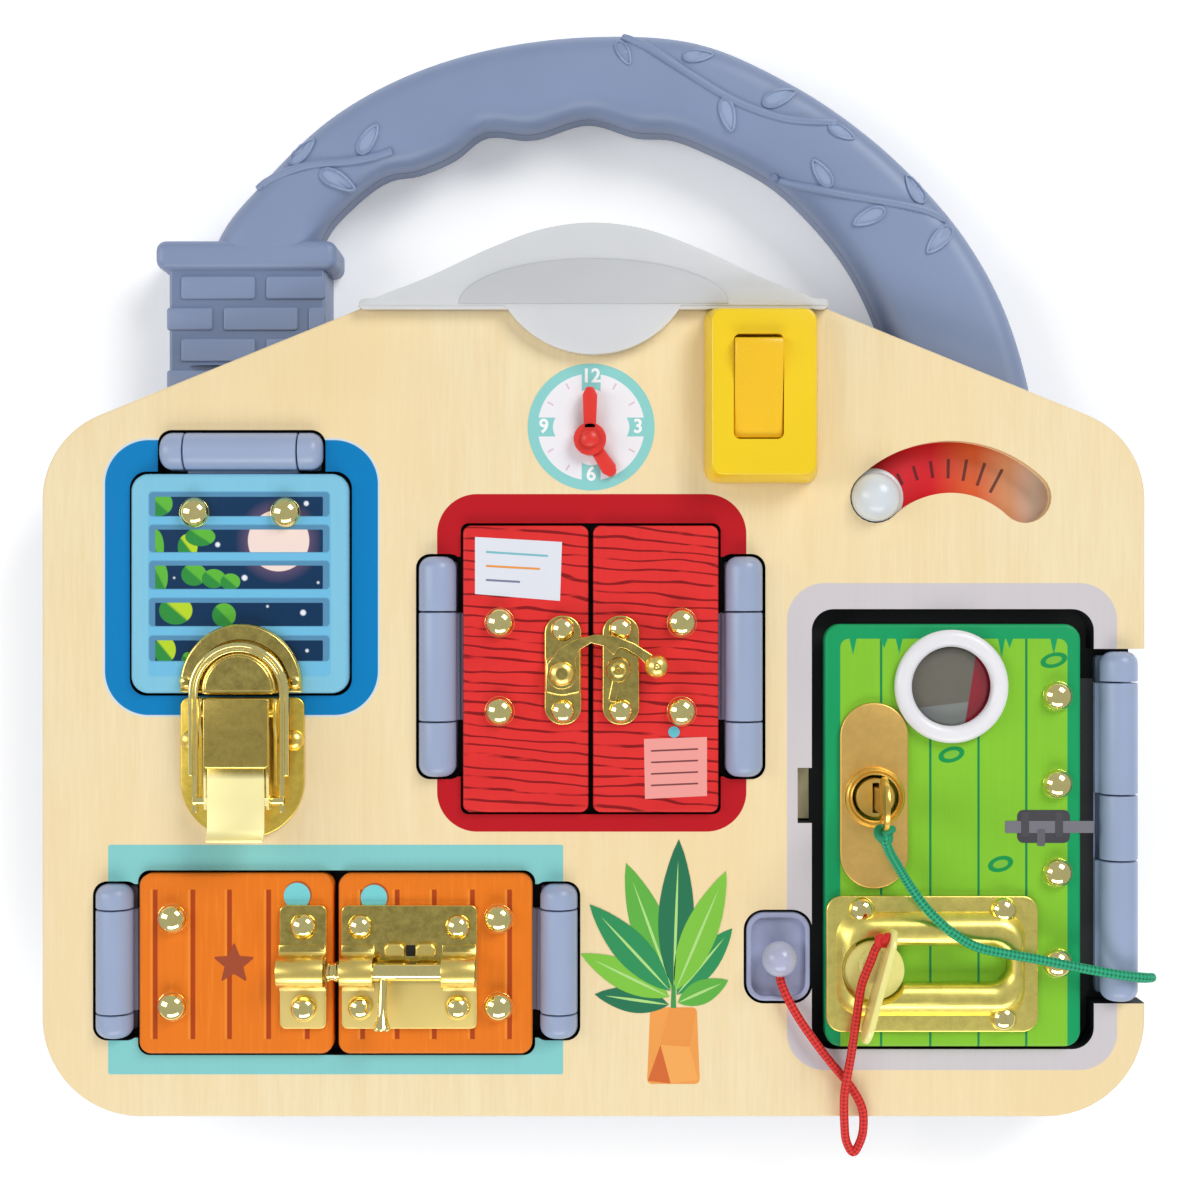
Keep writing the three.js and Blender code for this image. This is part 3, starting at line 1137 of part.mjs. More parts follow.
// Cords, each along a route chosen by hand in the photograph's plane, with its height over the board
const cordSides = 8;
const cords = {
  red: {
    radius: 1.1,
    stepShare: 4.4,
    route: [
      [47.1, 36.6, 28.7], [47.6, 34, 29.4], [48.9, 30.9, 30.5], [51.8, 25.7, 30.8], [55.8, 19.9, 31.3], [59.8, 14.6, 30.6],
      [63.1, 10.6, 29.8], [65.6, 7.3, 29.7], [67.9, 2.8, 29.6], [68.4, -1.5, 28.9], [67.9, -6, 27.4], [66.1, -9.3, 26.8],
      [64.3, -6.5, 27.8], [63.4, -0.2, 30], [63.2, 6.6, 31.9], [63.7, 11.1, 33], [64.6, 16.4, 33.4], [65.1, 21, 34.8],
      [65.6, 27, 37], [66.7, 35.8, 38.8], [68.7, 41.6, 40], [70.2, 45.4, 40.4], [72, 47, 40.4],
    ],
  },
  green: {
    radius: 1.2,
    stepShare: 4.4,
    route: [
      [70.9, 74.5, 48.6], [71.4, 72.2, 47.4], [72.9, 69.2, 43.6], [75.2, 65.8, 39.2], [78.4, 60.8, 36], [83, 54.4, 35.8],
      [89, 48.6, 36.4], [95.3, 44.8, 36.4], [103.3, 42.9, 36.4], [110, 41.6, 35.8], [116, 40.4, 35.4], [123.3, 38.8, 34.6],
      [133.3, 37, 33.9], [139.6, 36, 31.4], [142.2, 35, 26], [142.3, 33.6, 19.5], [140.9, 32.6, 14], [139.3, 32.3, 12.7],
      [137.8, 32.2, 12.4],
    ],
  },
};

function cordTube(cord) {
  const points = cord.route.map(([x, y, z]) => new THREE.Vector3(x, y, z));
  const path = new THREE.CatmullRomCurve3(points, false, 'centripetal');
  const section = new THREE.Shape();
  for (let i = 0; i < cordSides; i += 1) {
    const angle = (2 * Math.PI * i) / cordSides;
    const point = [cord.radius * Math.cos(angle), cord.radius * Math.sin(angle)];
    if (i === 0) section.moveTo(...point);
    else section.lineTo(...point);
  }
  const steps = Math.round(path.getLength() / (cord.stepShare * cord.radius));
  return new THREE.ExtrudeGeometry(section, { steps, extrudePath: path });
}

addPiece('red_cord', cordTube(cords.red), finishes.cordRed);
addPiece('green_cord', cordTube(cords.green), finishes.cordGreen);

// The origin is under the middle of the board's outline, from its foot to the top of the handle
model.position.set(0, -handle.rise / 2, 0);
export default model;
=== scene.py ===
# %% [markdown]
# # A latch board, dressed in Blender
# The real object is a wooden board in the shape of a house. It carries six small
# doors, each with its own hinge and latch, and a clock, a slide, a switch, a lamp
# and a carry handle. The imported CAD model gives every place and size. This script
# loads it as a fixed frame, and builds the finer shapes and the finishes on it.

# %% Load the frame
import math

import bmesh
import bpy
from mathutils import Matrix, Vector


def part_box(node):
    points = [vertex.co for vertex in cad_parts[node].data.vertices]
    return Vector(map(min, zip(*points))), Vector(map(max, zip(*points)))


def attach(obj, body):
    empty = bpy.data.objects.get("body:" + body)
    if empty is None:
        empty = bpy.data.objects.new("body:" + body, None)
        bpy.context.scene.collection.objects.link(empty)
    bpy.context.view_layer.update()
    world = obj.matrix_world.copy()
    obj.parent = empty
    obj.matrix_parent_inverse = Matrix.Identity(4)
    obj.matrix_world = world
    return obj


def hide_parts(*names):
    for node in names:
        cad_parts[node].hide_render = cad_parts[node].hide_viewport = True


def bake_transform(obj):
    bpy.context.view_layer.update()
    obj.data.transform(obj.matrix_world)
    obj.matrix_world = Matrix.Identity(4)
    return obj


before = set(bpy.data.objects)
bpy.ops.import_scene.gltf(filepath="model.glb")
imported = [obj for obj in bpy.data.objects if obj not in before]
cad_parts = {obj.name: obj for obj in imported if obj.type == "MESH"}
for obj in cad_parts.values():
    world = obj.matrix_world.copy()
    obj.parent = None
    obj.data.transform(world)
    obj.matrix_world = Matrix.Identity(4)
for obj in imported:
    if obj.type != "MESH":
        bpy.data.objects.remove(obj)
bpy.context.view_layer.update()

# %% [markdown]
# Sizes are easier to read in millimetres, measured from the board's lower edge.
# One function turns such a place into a point of the frame, which is in metres.

# %% Places in millimetres
MM = 0.001
BOARD_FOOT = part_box("front_board")[0].y
BOARD_FACE = 28.0
DOOR_BACK, DOOR_FACE = 25.0, 30.0
PLATE_BACK, PLATE_FACE = 30.3, 31.3


def spot(x, y, z=0.0):
    return Vector((x * MM, BOARD_FOOT + y * MM, z * MM))


def board_mm(point):
    return point.x / MM, (point.y - BOARD_FOOT) / MM, point.z / MM


print("board foot is at y", round(BOARD_FOOT, 4))

# %% [markdown]
# ## The camera
# The photograph looks straight down on the board as it lies on its back, from
# about half a metre over its face. The lens was worked out from the sizes of the
# nearest and the farthest round parts. It comes first, because the cords are
# judged by what it sees.

# %% Camera
camera_data = bpy.data.cameras.new("photo_camera")
camera_data.lens = 59.1
camera_data.sensor_width = 36.0
camera = bpy.data.objects.new("photo_camera", camera_data)
camera.location = (0.00165, -0.0078, 0.528)
bpy.context.scene.collection.objects.link(camera)
bpy.context.scene.camera = camera
# One pixel of the photograph at the board's face, its middle column and the row of the board's foot
PIXEL_MM, MIDDLE_PX, FOOT_PX = 0.2538, 593.5, 1117


def photo_x(px):
    return (px - MIDDLE_PX) * PIXEL_MM


def photo_y(py):
    return (FOOT_PX - py) * PIXEL_MM


print("camera lens", camera_data.lens, "mm")

# %% [markdown]
# ## Shader arithmetic
# A material is a small network of nodes. Written as Python expressions it stays
# readable, so a socket is wrapped in a class that knows plus, minus and the like,
# and each expression adds its Math nodes by itself.

# %% Signals and recipes
class Signal:
    """One output socket of a material, for use in plain arithmetic."""

    def __init__(self, recipe, socket):
        self.recipe, self.socket = recipe, socket

    def math(self, operation, *values):
        return self.recipe.node("Math", {"operation": operation}, *values)

    def __add__(self, other):
        return self.math("ADD", self, other)

    def __sub__(self, other):
        return self.math("SUBTRACT", self, other)

    def __rsub__(self, other):
        return self.math("SUBTRACT", other, self)

    def __mul__(self, other):
        return self.math("MULTIPLY", self, other)

    def __truediv__(self, other):
        return self.math("DIVIDE", self, other)

    def __pow__(self, other):
        return self.math("POWER", self, other)

    def __abs__(self):
        return self.math("ABSOLUTE", self)

    __radd__, __rmul__ = __add__, __mul__

    def least(self, other):
        return self.math("MINIMUM", self, other)

    def most(self, other):
        return self.math("MAXIMUM", self, other)

    def fraction(self):
        return self.math("FRACT", self)

    def sine(self):
        return self.math("SINE", self)

    def clamped(self):
        return self.most(0.0).least(1.0)

    def edge(self, soft):
        """1 where the value is above 0, 0 below it, and a soft step between."""
        return (self / soft + 0.5).clamped()


class Recipe:
    """One material: its node tree, its Principled shader, and helpers that add nodes."""

    def __init__(self, name, **constants):
        self.material = bpy.data.materials.new(name)
        self.material.use_nodes = True
        self.tree = self.material.node_tree
        self.shader = self.tree.nodes["Principled BSDF"]
        for label, value in constants.items():
            self.shader.inputs[label.replace("_", " ")].default_value = value

    def node(self, kind, settings, *values, out=0, **named):
        made = self.tree.nodes.new("ShaderNode" + kind)
        for key, value in settings.items():
            setattr(made, key, value)
        for key, value in [*enumerate(values), *((k.replace("_", " "), v) for k, v in named.items())]:
            self.feed(made.inputs[key], value)
        return Signal(self, made.outputs[out])

    def feed(self, socket, value):
        if isinstance(value, Signal):
            self.tree.links.new(value.socket, socket)
        else:
            socket.default_value = value

    def drive(self, **links):
        """Links what changes over the surface to the shader's own sockets."""
        for label, value in links.items():
            self.feed(self.shader.inputs[label.replace("_", " ")], value)
        return self

    def places(self):
        """x, y and z of the surface in board millimetres."""
        whole = self.node("TexCoord", {}, out="Object")
        x, y, z = (self.node("SeparateXYZ", {}, whole, out=i) for i in range(3))
        return x / MM, (y - BOARD_FOOT) / MM, z / MM

    def noise(self, at, size, detail=3.0, rough=0.5):
        """Soft noise from 0 to 1 about size millimetres across, or with a size for each axis."""
        sizes = size if isinstance(size, tuple) else (size, size, size)
        scaled = self.node("CombineXYZ", {}, *(a / s for a, s in zip(at, sizes)))
        return self.node("TexNoise", {}, Vector=scaled, Scale=1.0, Detail=detail, Roughness=rough)

    def mix(self, mask, first, second):
        made = self.tree.nodes.new("ShaderNodeMix")
        made.data_type = "RGBA"
        for index, value in ((0, mask), (6, first), (7, second)):
            self.feed(made.inputs[index], value)
        return Signal(self, made.outputs[2])

    def bump(self, height, strength, distance):
        normal = self.node("Bump", {}, Strength=strength, Distance=distance, Height=height)
        return self.drive(Normal=normal)

    def card(self, x, y, left, right, foot, top, radius, soft=0.12):
        """1 inside a rectangle with rounded corners, and 0 outside it."""
        across = abs(x - (left + right) / 2) - ((right - left) / 2 - radius)
        along = abs(y - (foot + top) / 2) - ((top - foot) / 2 - radius)
        outside = distance(across.most(0.0), along.most(0.0))
        inside = across.most(along).least(0.0)
        return (radius - outside - inside).edge(soft)


def ink(red, green, blue):
    """A colour written from 0 to 255 as it is seen, in the linear values that shaders use."""
    return (*(((c / 255 + 0.055) / 1.055) ** 2.4 if c > 10 else c / 3294.6 for c in (red, green, blue)), 1.0)


def toned(colour, factor, lift=0.0):
    """A lighter or darker neighbour of a colour."""
    return (*(min(1.0, c * factor + lift) for c in colour[:3]), 1.0)


def distance(u, v):
    return (u ** 2.0 + v ** 2.0) ** 0.5


print("signals and recipes ready")

# %% [markdown]
# ## The finishes
# Moulded plastic is never one flat colour: it has a faint mottle, a fine texture
# that breaks the highlights, and a soft gloss. The same recipe serves the housing,
# the hinges, the switch and the small parts, each with its own colour and texture.

# %% Plastics
def moulded(name, colour, gloss=0.38, grain=0.35, depth=0.006, coat=0.0, **constants):
    recipe = Recipe(name, Coat_Weight=coat, Coat_Roughness=0.12, **constants)
    at = recipe.places()
    cloud = recipe.noise(at, 23.0, 2.0)
    fine = recipe.noise(at, grain, 4.0, 0.6)
    colours = recipe.mix(cloud, toned(colour, 0.94), toned(colour, 1.07, 0.004))
    recipe.drive(Base_Color=colours, Roughness=gloss - 0.05 + fine * 0.1)
    recipe.bump(fine, 0.35, depth * MM)
    return recipe.material


housing_blue = moulded("housing_plastic", ink(130, 145, 177), 0.42, 0.3, 0.012)
hinge_blue = moulded("hinge_plastic", ink(158, 172, 202), 0.34, 0.4, 0.006)
tray_blue = moulded("tray_plastic", ink(160, 166, 196), 0.38, 0.4, 0.006)
switch_yellow = moulded("switch_plastic", ink(246, 208, 20), 0.3, 0.5, 0.006)
rocker_yellow = moulded("rocker_plastic", ink(248, 196, 30), 0.28, 0.5, 0.004)
ring_white = moulded("ring_plastic", ink(238, 236, 240), 0.3, 0.6, 0.004)
knob_white = moulded("knob_plastic", ink(218, 224, 228), 0.26, 0.6, 0.003)
hand_red = moulded("hand_plastic", ink(228, 52, 42), 0.36, 0.4, 0.006)
# Black paint for the backing and the recess walls; the same black also serves the thin sheets that are
# painted shade.
black_paint_and_shade = moulded("black_paint_and_painted_shade", ink(20, 19, 22), 0.6, 0.5, 0.02)
lamp_milk = moulded(
    "lamp_plastic", ink(214, 215, 217), 0.3, 0.7, 0.004, Subsurface_Weight=0.25,
    Subsurface_Radius=(0.02, 0.02, 0.018), Subsurface_Scale=0.3,
)
cap_frost = moulded(
    "frosted_cap", ink(180, 183, 208), 0.24, 0.5, 0.003, Subsurface_Weight=0.3,
    Subsurface_Radius=(0.006, 0.006, 0.007), Subsurface_Scale=0.3,
)
slider_amber = moulded(
    "amber_slider", ink(244, 234, 150), 0.16, 0.5, 0.003, Subsurface_Weight=0.35,
    Subsurface_Radius=(0.008, 0.006, 0.002), Subsurface_Scale=0.4,
)
print("plastics", sum(m.name.endswith("plastic") for m in bpy.data.materials))

# %% [markdown]
# Brass is polished on the plates and domes, and brushed on the lock plate. Thin
# pressed sheet is never quite flat, so a slow bump bends the reflections a little,
# and a faint haze of handling varies the gloss.

# %% Metals
def metal(name, colour, gloss, haze=0.08, wave=0.02, wave_size=9.0, brush=None, mottle=0.1, satin=None):
    """Brass or steel; satin is a board height and the colour below it, where the strip is duller."""
    recipe = Recipe(name, Metallic=1.0)
    at = recipe.places()
    haze_spots = recipe.noise(at, 6.0, 4.0, 0.6)
    cloud = recipe.noise(at, 2.6, 5.0, 0.7)
    base = recipe.mix(((cloud - 0.5) * 3 + 0.5).clamped(), toned(colour, 1 - mottle), colour)
    rough = haze_spots * haze + gloss
    if satin:
        level, dull = satin
        low = (level - at[1]).edge(2.0)
        base = recipe.mix(low, base, dull)
        rough = rough + low * 0.34
    recipe.drive(Base_Color=base, Roughness=rough)
    height = recipe.noise(at, wave_size, 2.0)
    if brush:
        height = height * 0.3 + recipe.noise(at, brush, 3.0, 0.7)
    recipe.bump(height, 0.5, wave * MM)
    return recipe.material


polished_brass = metal("polished_brass", ink(226, 202, 112), 0.1, 0.09, 0.05, mottle=0.4)
dome_brass = metal("dome_brass", ink(255, 238, 160), 0.05, 0.05, 0.01)
satin_brass = metal("satin_brass", ink(240, 196, 112), 0.4, 0.08, 0.012, 9.0, (0.25, 9.0, 9.0))
soft_brass = metal("soft_brass", ink(255, 236, 128), 0.28, 0.12, 0.05, mottle=0.2)
lever_brass = metal(
    "lever_brass", ink(214, 188, 100), 0.22, 0.1, 0.03, mottle=0.25, satin=(87.6, ink(255, 244, 184)),
)
bolt_brass = metal(
    "bolt_brass", ink(226, 202, 110), 0.12, 0.1, 0.05, mottle=0.4, satin=(35.0, ink(232, 208, 130)),
)
# A lighter brass for rounded edges and raised parts: painted highlight.
rim_highlight_brass = metal("rim_highlight_brass", ink(255, 226, 128), 0.27, 0.08, 0.01)
band_brass = metal("band_brass", ink(255, 220, 98), 0.3, 0.1, 0.04, mottle=0.25)
lock_brass = metal("lock_brass", ink(250, 208, 112), 0.3, 0.06, 0.006)
key_brass = metal("key_brass", ink(250, 206, 100), 0.2, 0.1, 0.01)
steel = metal("plated_steel", ink(200, 200, 204), 0.24, 0.1, 0.01)
print("metals ready")

# %% [markdown]
# ## Making meshes
# Most helpers start from one of Blender's primitives and shape it in edit mode,
# as one would by hand. An operator acts on all that is selected, so everything is
# deselected first, and what to work on is picked by its place or direction.

# %% Selecting
def rest():
    if bpy.context.object and bpy.context.object.mode != "OBJECT":
        bpy.ops.object.mode_set(mode="OBJECT")
    bpy.ops.object.select_all(action="DESELECT")


def work_on(piece, editing=False):
    rest()
    piece.select_set(True)
    bpy.context.view_layer.objects.active = piece
    if editing:
        bpy.ops.object.mode_set(mode="EDIT")
    return piece


def choose(kind, test):
    """In edit mode, selects the vertices, edges or faces that pass the test."""
    bpy.ops.mesh.select_mode(type=kind)
    bpy.ops.mesh.select_all(action="DESELECT")
    mesh = bmesh.from_edit_mesh(bpy.context.object.data)
    found = [
        part
        for part in {"VERT": mesh.verts, "EDGE": mesh.edges, "FACE": mesh.faces}[kind]
        if test(part)
    ]
    for part in found:
        part.select_set(True)
    bmesh.update_edit_mesh(bpy.context.object.data)
    return len(found)


def height_of(part):
    return sum(v.co.z for v in part.verts) / len(part.verts) / MM


def renamed(name):
    """What an operator has just made, under its own name."""
    piece = bpy.context.object
    piece.name = piece.data.name = name
    return piece


def seal():
    """Merges doubles, puts the normals right and leaves edit mode."""
    bpy.ops.mesh.select_all(action="SELECT")
    bpy.ops.mesh.remove_doubles(threshold=1e-7)
    bpy.ops.mesh.normals_make_consistent(inside=False)
    rest()


def skin(name, rows):
    """A grid laid over rows of points, each row with as many."""
    rest()
    bpy.ops.mesh.primitive_grid_add(x_subdivisions=len(rows) - 1, y_subdivisions=len(rows[0]) - 1, size=0.01)
    piece = renamed(name)
    for vertex in piece.data.vertices:
        column, row = divmod(vertex.index, len(rows))
        vertex.co = rows[row][column]
    return piece


print("selecting ready")

# %% [markdown]
# Most parts of the board are flat sheets with an outline: doors, plates, prints.
# A sheet starts as a filled circle with as many corners as the outline has. They
# are moved onto it, the face is extruded, and the upper edge is bevelled, because
# a sharp edge catches no light.

# %% Outlines and sheets
def rounded(corners, radii, steps=10):
    """The outline through the corners, in millimetres, each rounded with its radius."""
    points = []
    for i, here in enumerate(corners):
        here = Vector(here)
        before = (Vector(corners[i - 1]) - here).normalized()
        after = (Vector(corners[(i + 1) % len(corners)]) - here).normalized()
        radius = radii[i] if isinstance(radii, (list, tuple)) else radii
        if radius <= 0:
            points.append(tuple(here))
            continue
        half = before.angle(after) / 2
        centre = here + (before + after).normalized() * radius / math.sin(half)
        start = here + before * radius / math.tan(half) - centre
        end = here + after * radius / math.tan(half) - centre
        turn = math.atan2(start.x * end.y - start.y * end.x, start.dot(end))
        for s in range(steps + 1):
            angle = turn * s / steps
            points.append((
                centre.x + start.x * math.cos(angle) - start.y * math.sin(angle),
                centre.y + start.x * math.sin(angle) + start.y * math.cos(angle),
            ))
    return points


def oblong(left, right, foot, top, radius=0.0, steps=10):
    return rounded([(left, foot), (right, foot), (right, top), (left, top)], radius, steps)


def arc(x, y, radius, start, end, steps, tall=None):
    """Points on an arc between two angles in degrees; tall is the upright radius of an ellipse."""
    first, sweep = math.radians(start), math.radians(end - start)
    angles = [first + sweep * i / steps for i in range(steps + 1)]
    return [(x + radius * math.cos(a), y + (tall or radius) * math.sin(a)) for a in angles]


def ring_of(x, y, radius, steps=48):
    return arc(x, y, radius, 0, 360, steps)[:-1]


def sheet(name, outline, low, high, rim=0.0, steps=3, back_rim=0.0):
    """A flat piece from low to high with the outline, its front edge bevelled by rim."""
    rest()
    bpy.ops.mesh.primitive_circle_add(vertices=len(outline), radius=0.01, fill_type="NGON")
    piece = renamed(name)
    for vertex, (x, y) in zip(piece.data.vertices, outline):
        vertex.co = spot(x, y, low)
    bpy.ops.object.mode_set(mode="EDIT")
    bpy.ops.mesh.select_all(action="SELECT")
    bpy.ops.mesh.extrude_region_move(TRANSFORM_OT_translate={"value": (0, 0, (high - low) * MM)})
    bpy.ops.mesh.select_all(action="SELECT")
    bpy.ops.mesh.normals_make_consistent(inside=False)
    for level, width in ((high, rim), (low, back_rim)):
        if width:
            choose("EDGE", lambda e: all(abs(v.co.z - level * MM) < 1e-6 for v in e.verts))
            bpy.ops.mesh.bevel(
                offset=width * MM, offset_type="OFFSET", segments=steps, affect="EDGES", clamp_overlap=True,
            )
    rest()
    return piece


print("outlines and sheets ready")

# %% [markdown]
# Knobs, rivets, barrels and rings are turned: half of the section is drawn as a
# chain of edges and spun round its axis. The doubles on the axis are merged before
# the normals are put right.

# %% Turned pieces
def turned(name, profile, centre, steps=40, closed=False):
    """Spins a profile of (radius, height) round an upright axis through centre, all in millimetres."""
    rest()
    bpy.ops.mesh.primitive_circle_add(vertices=len(profile), radius=0.01, fill_type="NOTHING")
    piece = renamed(name)
    x, y, z = centre
    for vertex, (radius, height) in zip(piece.data.vertices, profile):
        vertex.co = spot(x + radius, y, z + height)
    ends = {0, len(profile) - 1}
    bpy.ops.object.mode_set(mode="EDIT")
    if not closed:
        choose("EDGE", lambda e: {v.index for v in e.verts} == ends)
        bpy.ops.mesh.delete(type="EDGE")
    bpy.ops.mesh.select_all(action="SELECT")
    bpy.ops.mesh.spin(steps=steps, angle=2 * math.pi, center=spot(x, y, z), axis=(0, 0, 1))
    seal()
    return piece


def arc_profile(radius, height, low=0.0, steps=10):
    """The half section of a low dome that stands on low."""
    return [(0.0, low), *arc(0, 0, radius, 0, 90, steps, height)[:-1], (0.0, height)]


def moved(piece, matrix):
    """Moves the mesh itself, so that the object stays at the origin."""
    piece.data.transform(matrix)
    if matrix.determinant() < 0:
        piece.data.flip_normals()
    return piece


def rotation(angle, axis):
    return Matrix.Rotation(math.radians(angle), 4, axis)


def set_at(piece, place, turn=Matrix()):
    """Takes a piece that was made at the board's origin to its place, turned on the way."""
    return moved(piece, Matrix.Translation(spot(*place)) @ turn @ Matrix.Translation(-spot(0, 0)))


print("turned pieces ready")

# %% [markdown]
# A cut is made with a Boolean modifier that is applied at once, and the cutter is
# thrown away. Parts of one casting or pressing are joined into one object. What
# repeats is copied, each copy with a mesh of its own.

# %% Cutting, joining, copying and finishing
def modify(piece, kind, **settings):
    work_on(piece)
    modifier = piece.modifiers.new(kind.lower(), kind)
    for key, value in settings.items():
        setattr(modifier, key, value)
    bpy.ops.object.modifier_apply(modifier=modifier.name)
    return piece


def carve(piece, *cutters, operation="DIFFERENCE"):
    for cutter in cutters:
        modify(piece, "BOOLEAN", operation=operation, object=cutter, solver="EXACT")
        bpy.data.objects.remove(cutter)
    return piece


def soften(piece, width, segments=2, angle=35):
    return modify(
        piece, "BEVEL", width=width * MM, segments=segments, limit_method="ANGLE",
        angle_limit=math.radians(angle), miter_outer="MITER_ARC", use_clamp_overlap=True,
    )


def join(name, *parts):
    work_on(parts[0])
    for part in parts[1:]:
        part.select_set(True)
    if len(parts) > 1:
        bpy.ops.object.join()
    parts[0].name = parts[0].data.name = name
    return parts[0]


def copied(piece, name):
    twin = piece.copy()
    twin.data = piece.data.copy()
    twin.name = twin.data.name = name
    bpy.context.scene.collection.objects.link(twin)
    return twin


def dress(piece, name, body, material, nodes=(), angle=35):
    """The last step for every piece: its name, finish, shading and body, and the CAD nodes it replaces."""
    piece.name = piece.data.name = name
    if material:
        piece.data.materials.clear()
        piece.data.materials.append(material)
    work_on(piece)
    bpy.ops.object.shade_smooth_by_angle(angle=math.radians(angle))
    rest()
    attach(piece, body)
    if nodes:
        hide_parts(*nodes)
    return piece


def second_finish(piece, finish, test):
    """Gives the faces that pass the test another finish."""
    piece.data.materials.append(finish)
    for face in piece.data.polygons:
        if test(face):
            face.material_index = len(piece.data.materials) - 1
    return piece


def paint_rim_highlights(piece, above=1000.0):
    """Gives the rounded edges of pressed brass, and what stands higher than a height in millimetres, a
    lighter brass: painted highlight.
    """
    return second_finish(piece, rim_highlight_brass, lambda f: abs(f.normal.z) < 0.93 or f.center.z > above * MM)


def dress_plate(piece, name, body, material, node, above=1000.0):
    return paint_rim_highlights(dress(piece, name, body, material, (node,), 40), above)


print("cutting and finishing ready")

# %% [markdown]
# ## The two cords
# The red cord ties the slider of the slot latch to the board, and the green one
# keeps the key. Both are braided, 2 to 2.5 mm thick, and so short that the
# photograph shows them from end to end: that is their length. Each crosses from
# the board to a door, so it is cut into stretches where it crosses and where it
# reaches the key or the slider. The routes are those of the CAD cords.

# %% Routes
RED_ROUTE = [
    (47.1, 36.6, 28.7), (47.6, 34, 29.4), (48.9, 30.9, 30.5), (51.8, 25.7, 30.8), (55.8, 19.9, 31.3),
    (59.8, 14.6, 30.6), (63.1, 10.6, 29.8), (65.6, 7.3, 29.7), (67.9, 2.8, 29.6), (68.4, -1.5, 28.9),
    (67.9, -6, 27.4), (66.1, -9.3, 26.8), (64.3, -6.5, 27.8), (63.4, -0.2, 30), (63.2, 6.6, 31.9),
    (63.7, 11.1, 33), (64.6, 16.4, 33.4), (65.1, 21, 34.8), (65.6, 27, 37), (66.7, 35.8, 38.8),
    (68.7, 41.6, 40), (70.2, 45.4, 40.4), (72, 47, 40.4),
]
GREEN_ROUTE = [
    (70.9, 74.5, 48.6), (71.4, 72.2, 47.4), (72.9, 69.2, 43.6), (75.2, 65.8, 39.2), (78.4, 60.8, 36),
    (83, 54.4, 35.8), (89, 48.6, 36.4), (95.3, 44.8, 36.4), (103.3, 42.9, 36.4), (110, 41.6, 35.8),
    (116, 40.4, 35.4), (123.3, 38.8, 34.6), (133.3, 37, 33.9), (139.6, 36, 31.4), (142.2, 35, 26),
    (142.3, 33.6, 19.5), (140.9, 32.6, 14), (139.3, 32.3, 12.7), (137.8, 32.2, 12.4),
]


def smooth_route(places, step=0.4):
    """Points a step apart, in millimetres, on a smooth line through the places."""
    knots = [spot(*p) for p in places]
    knots = [2 * knots[0] - knots[1], *knots, 2 * knots[-1] - knots[-2]]
    dense = []
    for a, b, c, d in zip(knots, knots[1:], knots[2:], knots[3:]):
        t1 = math.sqrt((b - a).length)
        t2 = t1 + math.sqrt((c - b).length)
        t3 = t2 + math.sqrt((d - c).length)
        for i in range(24):
            t = t1 + (t2 - t1) * i / 24
            one = a * ((t1 - t) / t1) + b * (t / t1)
            two = b * ((t2 - t) / (t2 - t1)) + c * ((t - t1) / (t2 - t1))
            three = c * ((t3 - t) / (t3 - t2)) + d * ((t - t2) / (t3 - t2))
            near = one * ((t2 - t) / t2) + two * (t / t2)
            far = two * ((t3 - t) / (t3 - t1)) + three * ((t - t1) / (t3 - t1))
            dense.append(near * ((t2 - t) / (t2 - t1)) + far * ((t - t1) / (t2 - t1)))
    dense.append(knots[-2])
    lengths = [0.0]
    for a, b in zip(dense, dense[1:]):
        lengths.append(lengths[-1] + (b - a).length)
    count = round(lengths[-1] / (step * MM))
    even, k = [], 0
    for i in range(count + 1):
        goal = lengths[-1] * i / count
        while k < len(lengths) - 2 and lengths[k + 1] < goal:
            k += 1
        even.append(
            dense[k].lerp(dense[k + 1], min(1.0, (goal - lengths[k]) / (lengths[k + 1] - lengths[k])))
        )
    return even


red_line, green_line = smooth_route(RED_ROUTE), smooth_route(GREEN_ROUTE)
print("cord points", len(red_line), len(green_line))

# %% [markdown]
# The braid runs round the cord in two families of strands, so its pattern needs to
# follow the surface. The tube is a grid that is wrapped round the route, and its
# UV map holds the millimetres along the cord and the share of a turn round it.

# %% Braided tube
CORD_SIDES = 20


def wrapped_tube(name, line, radius, start_mm=0.0):
    rows = len(line)
    side = (line[1] - line[0]).orthogonal().normalized()
    travelled, along = start_mm, []
    rings = []
    for i, here in enumerate(line):
        ahead = (line[min(i + 1, rows - 1)] - line[max(i - 1, 0)]).normalized()
        side = (side - ahead * side.dot(ahead)).normalized()
        up = ahead.cross(side)
        section = arc(0, 0, radius * MM, 0, 360, CORD_SIDES)
        rings.append([here + side * across + up * upward for across, upward in section])
        if i:
            travelled += (here - line[i - 1]).length / MM
        along.append(travelled)
    piece = skin(name, rings)
    layer = piece.data.uv_layers.active or piece.data.uv_layers.new(name="braid")
    for loop in piece.data.loops:
        column, row = divmod(loop.vertex_index, rows)
        layer.data[loop.index].uv = (along[row], column / CORD_SIDES)
    bpy.ops.object.mode_set(mode="EDIT")
    bpy.ops.mesh.select_all(action="SELECT")
    bpy.ops.mesh.remove_doubles(threshold=1e-7)
    bpy.ops.mesh.select_all(action="DESELECT")
    bpy.ops.mesh.select_mode(type="EDGE")
    bpy.ops.mesh.select_non_manifold()
    bpy.ops.mesh.edge_face_add()
    seal()
    return piece


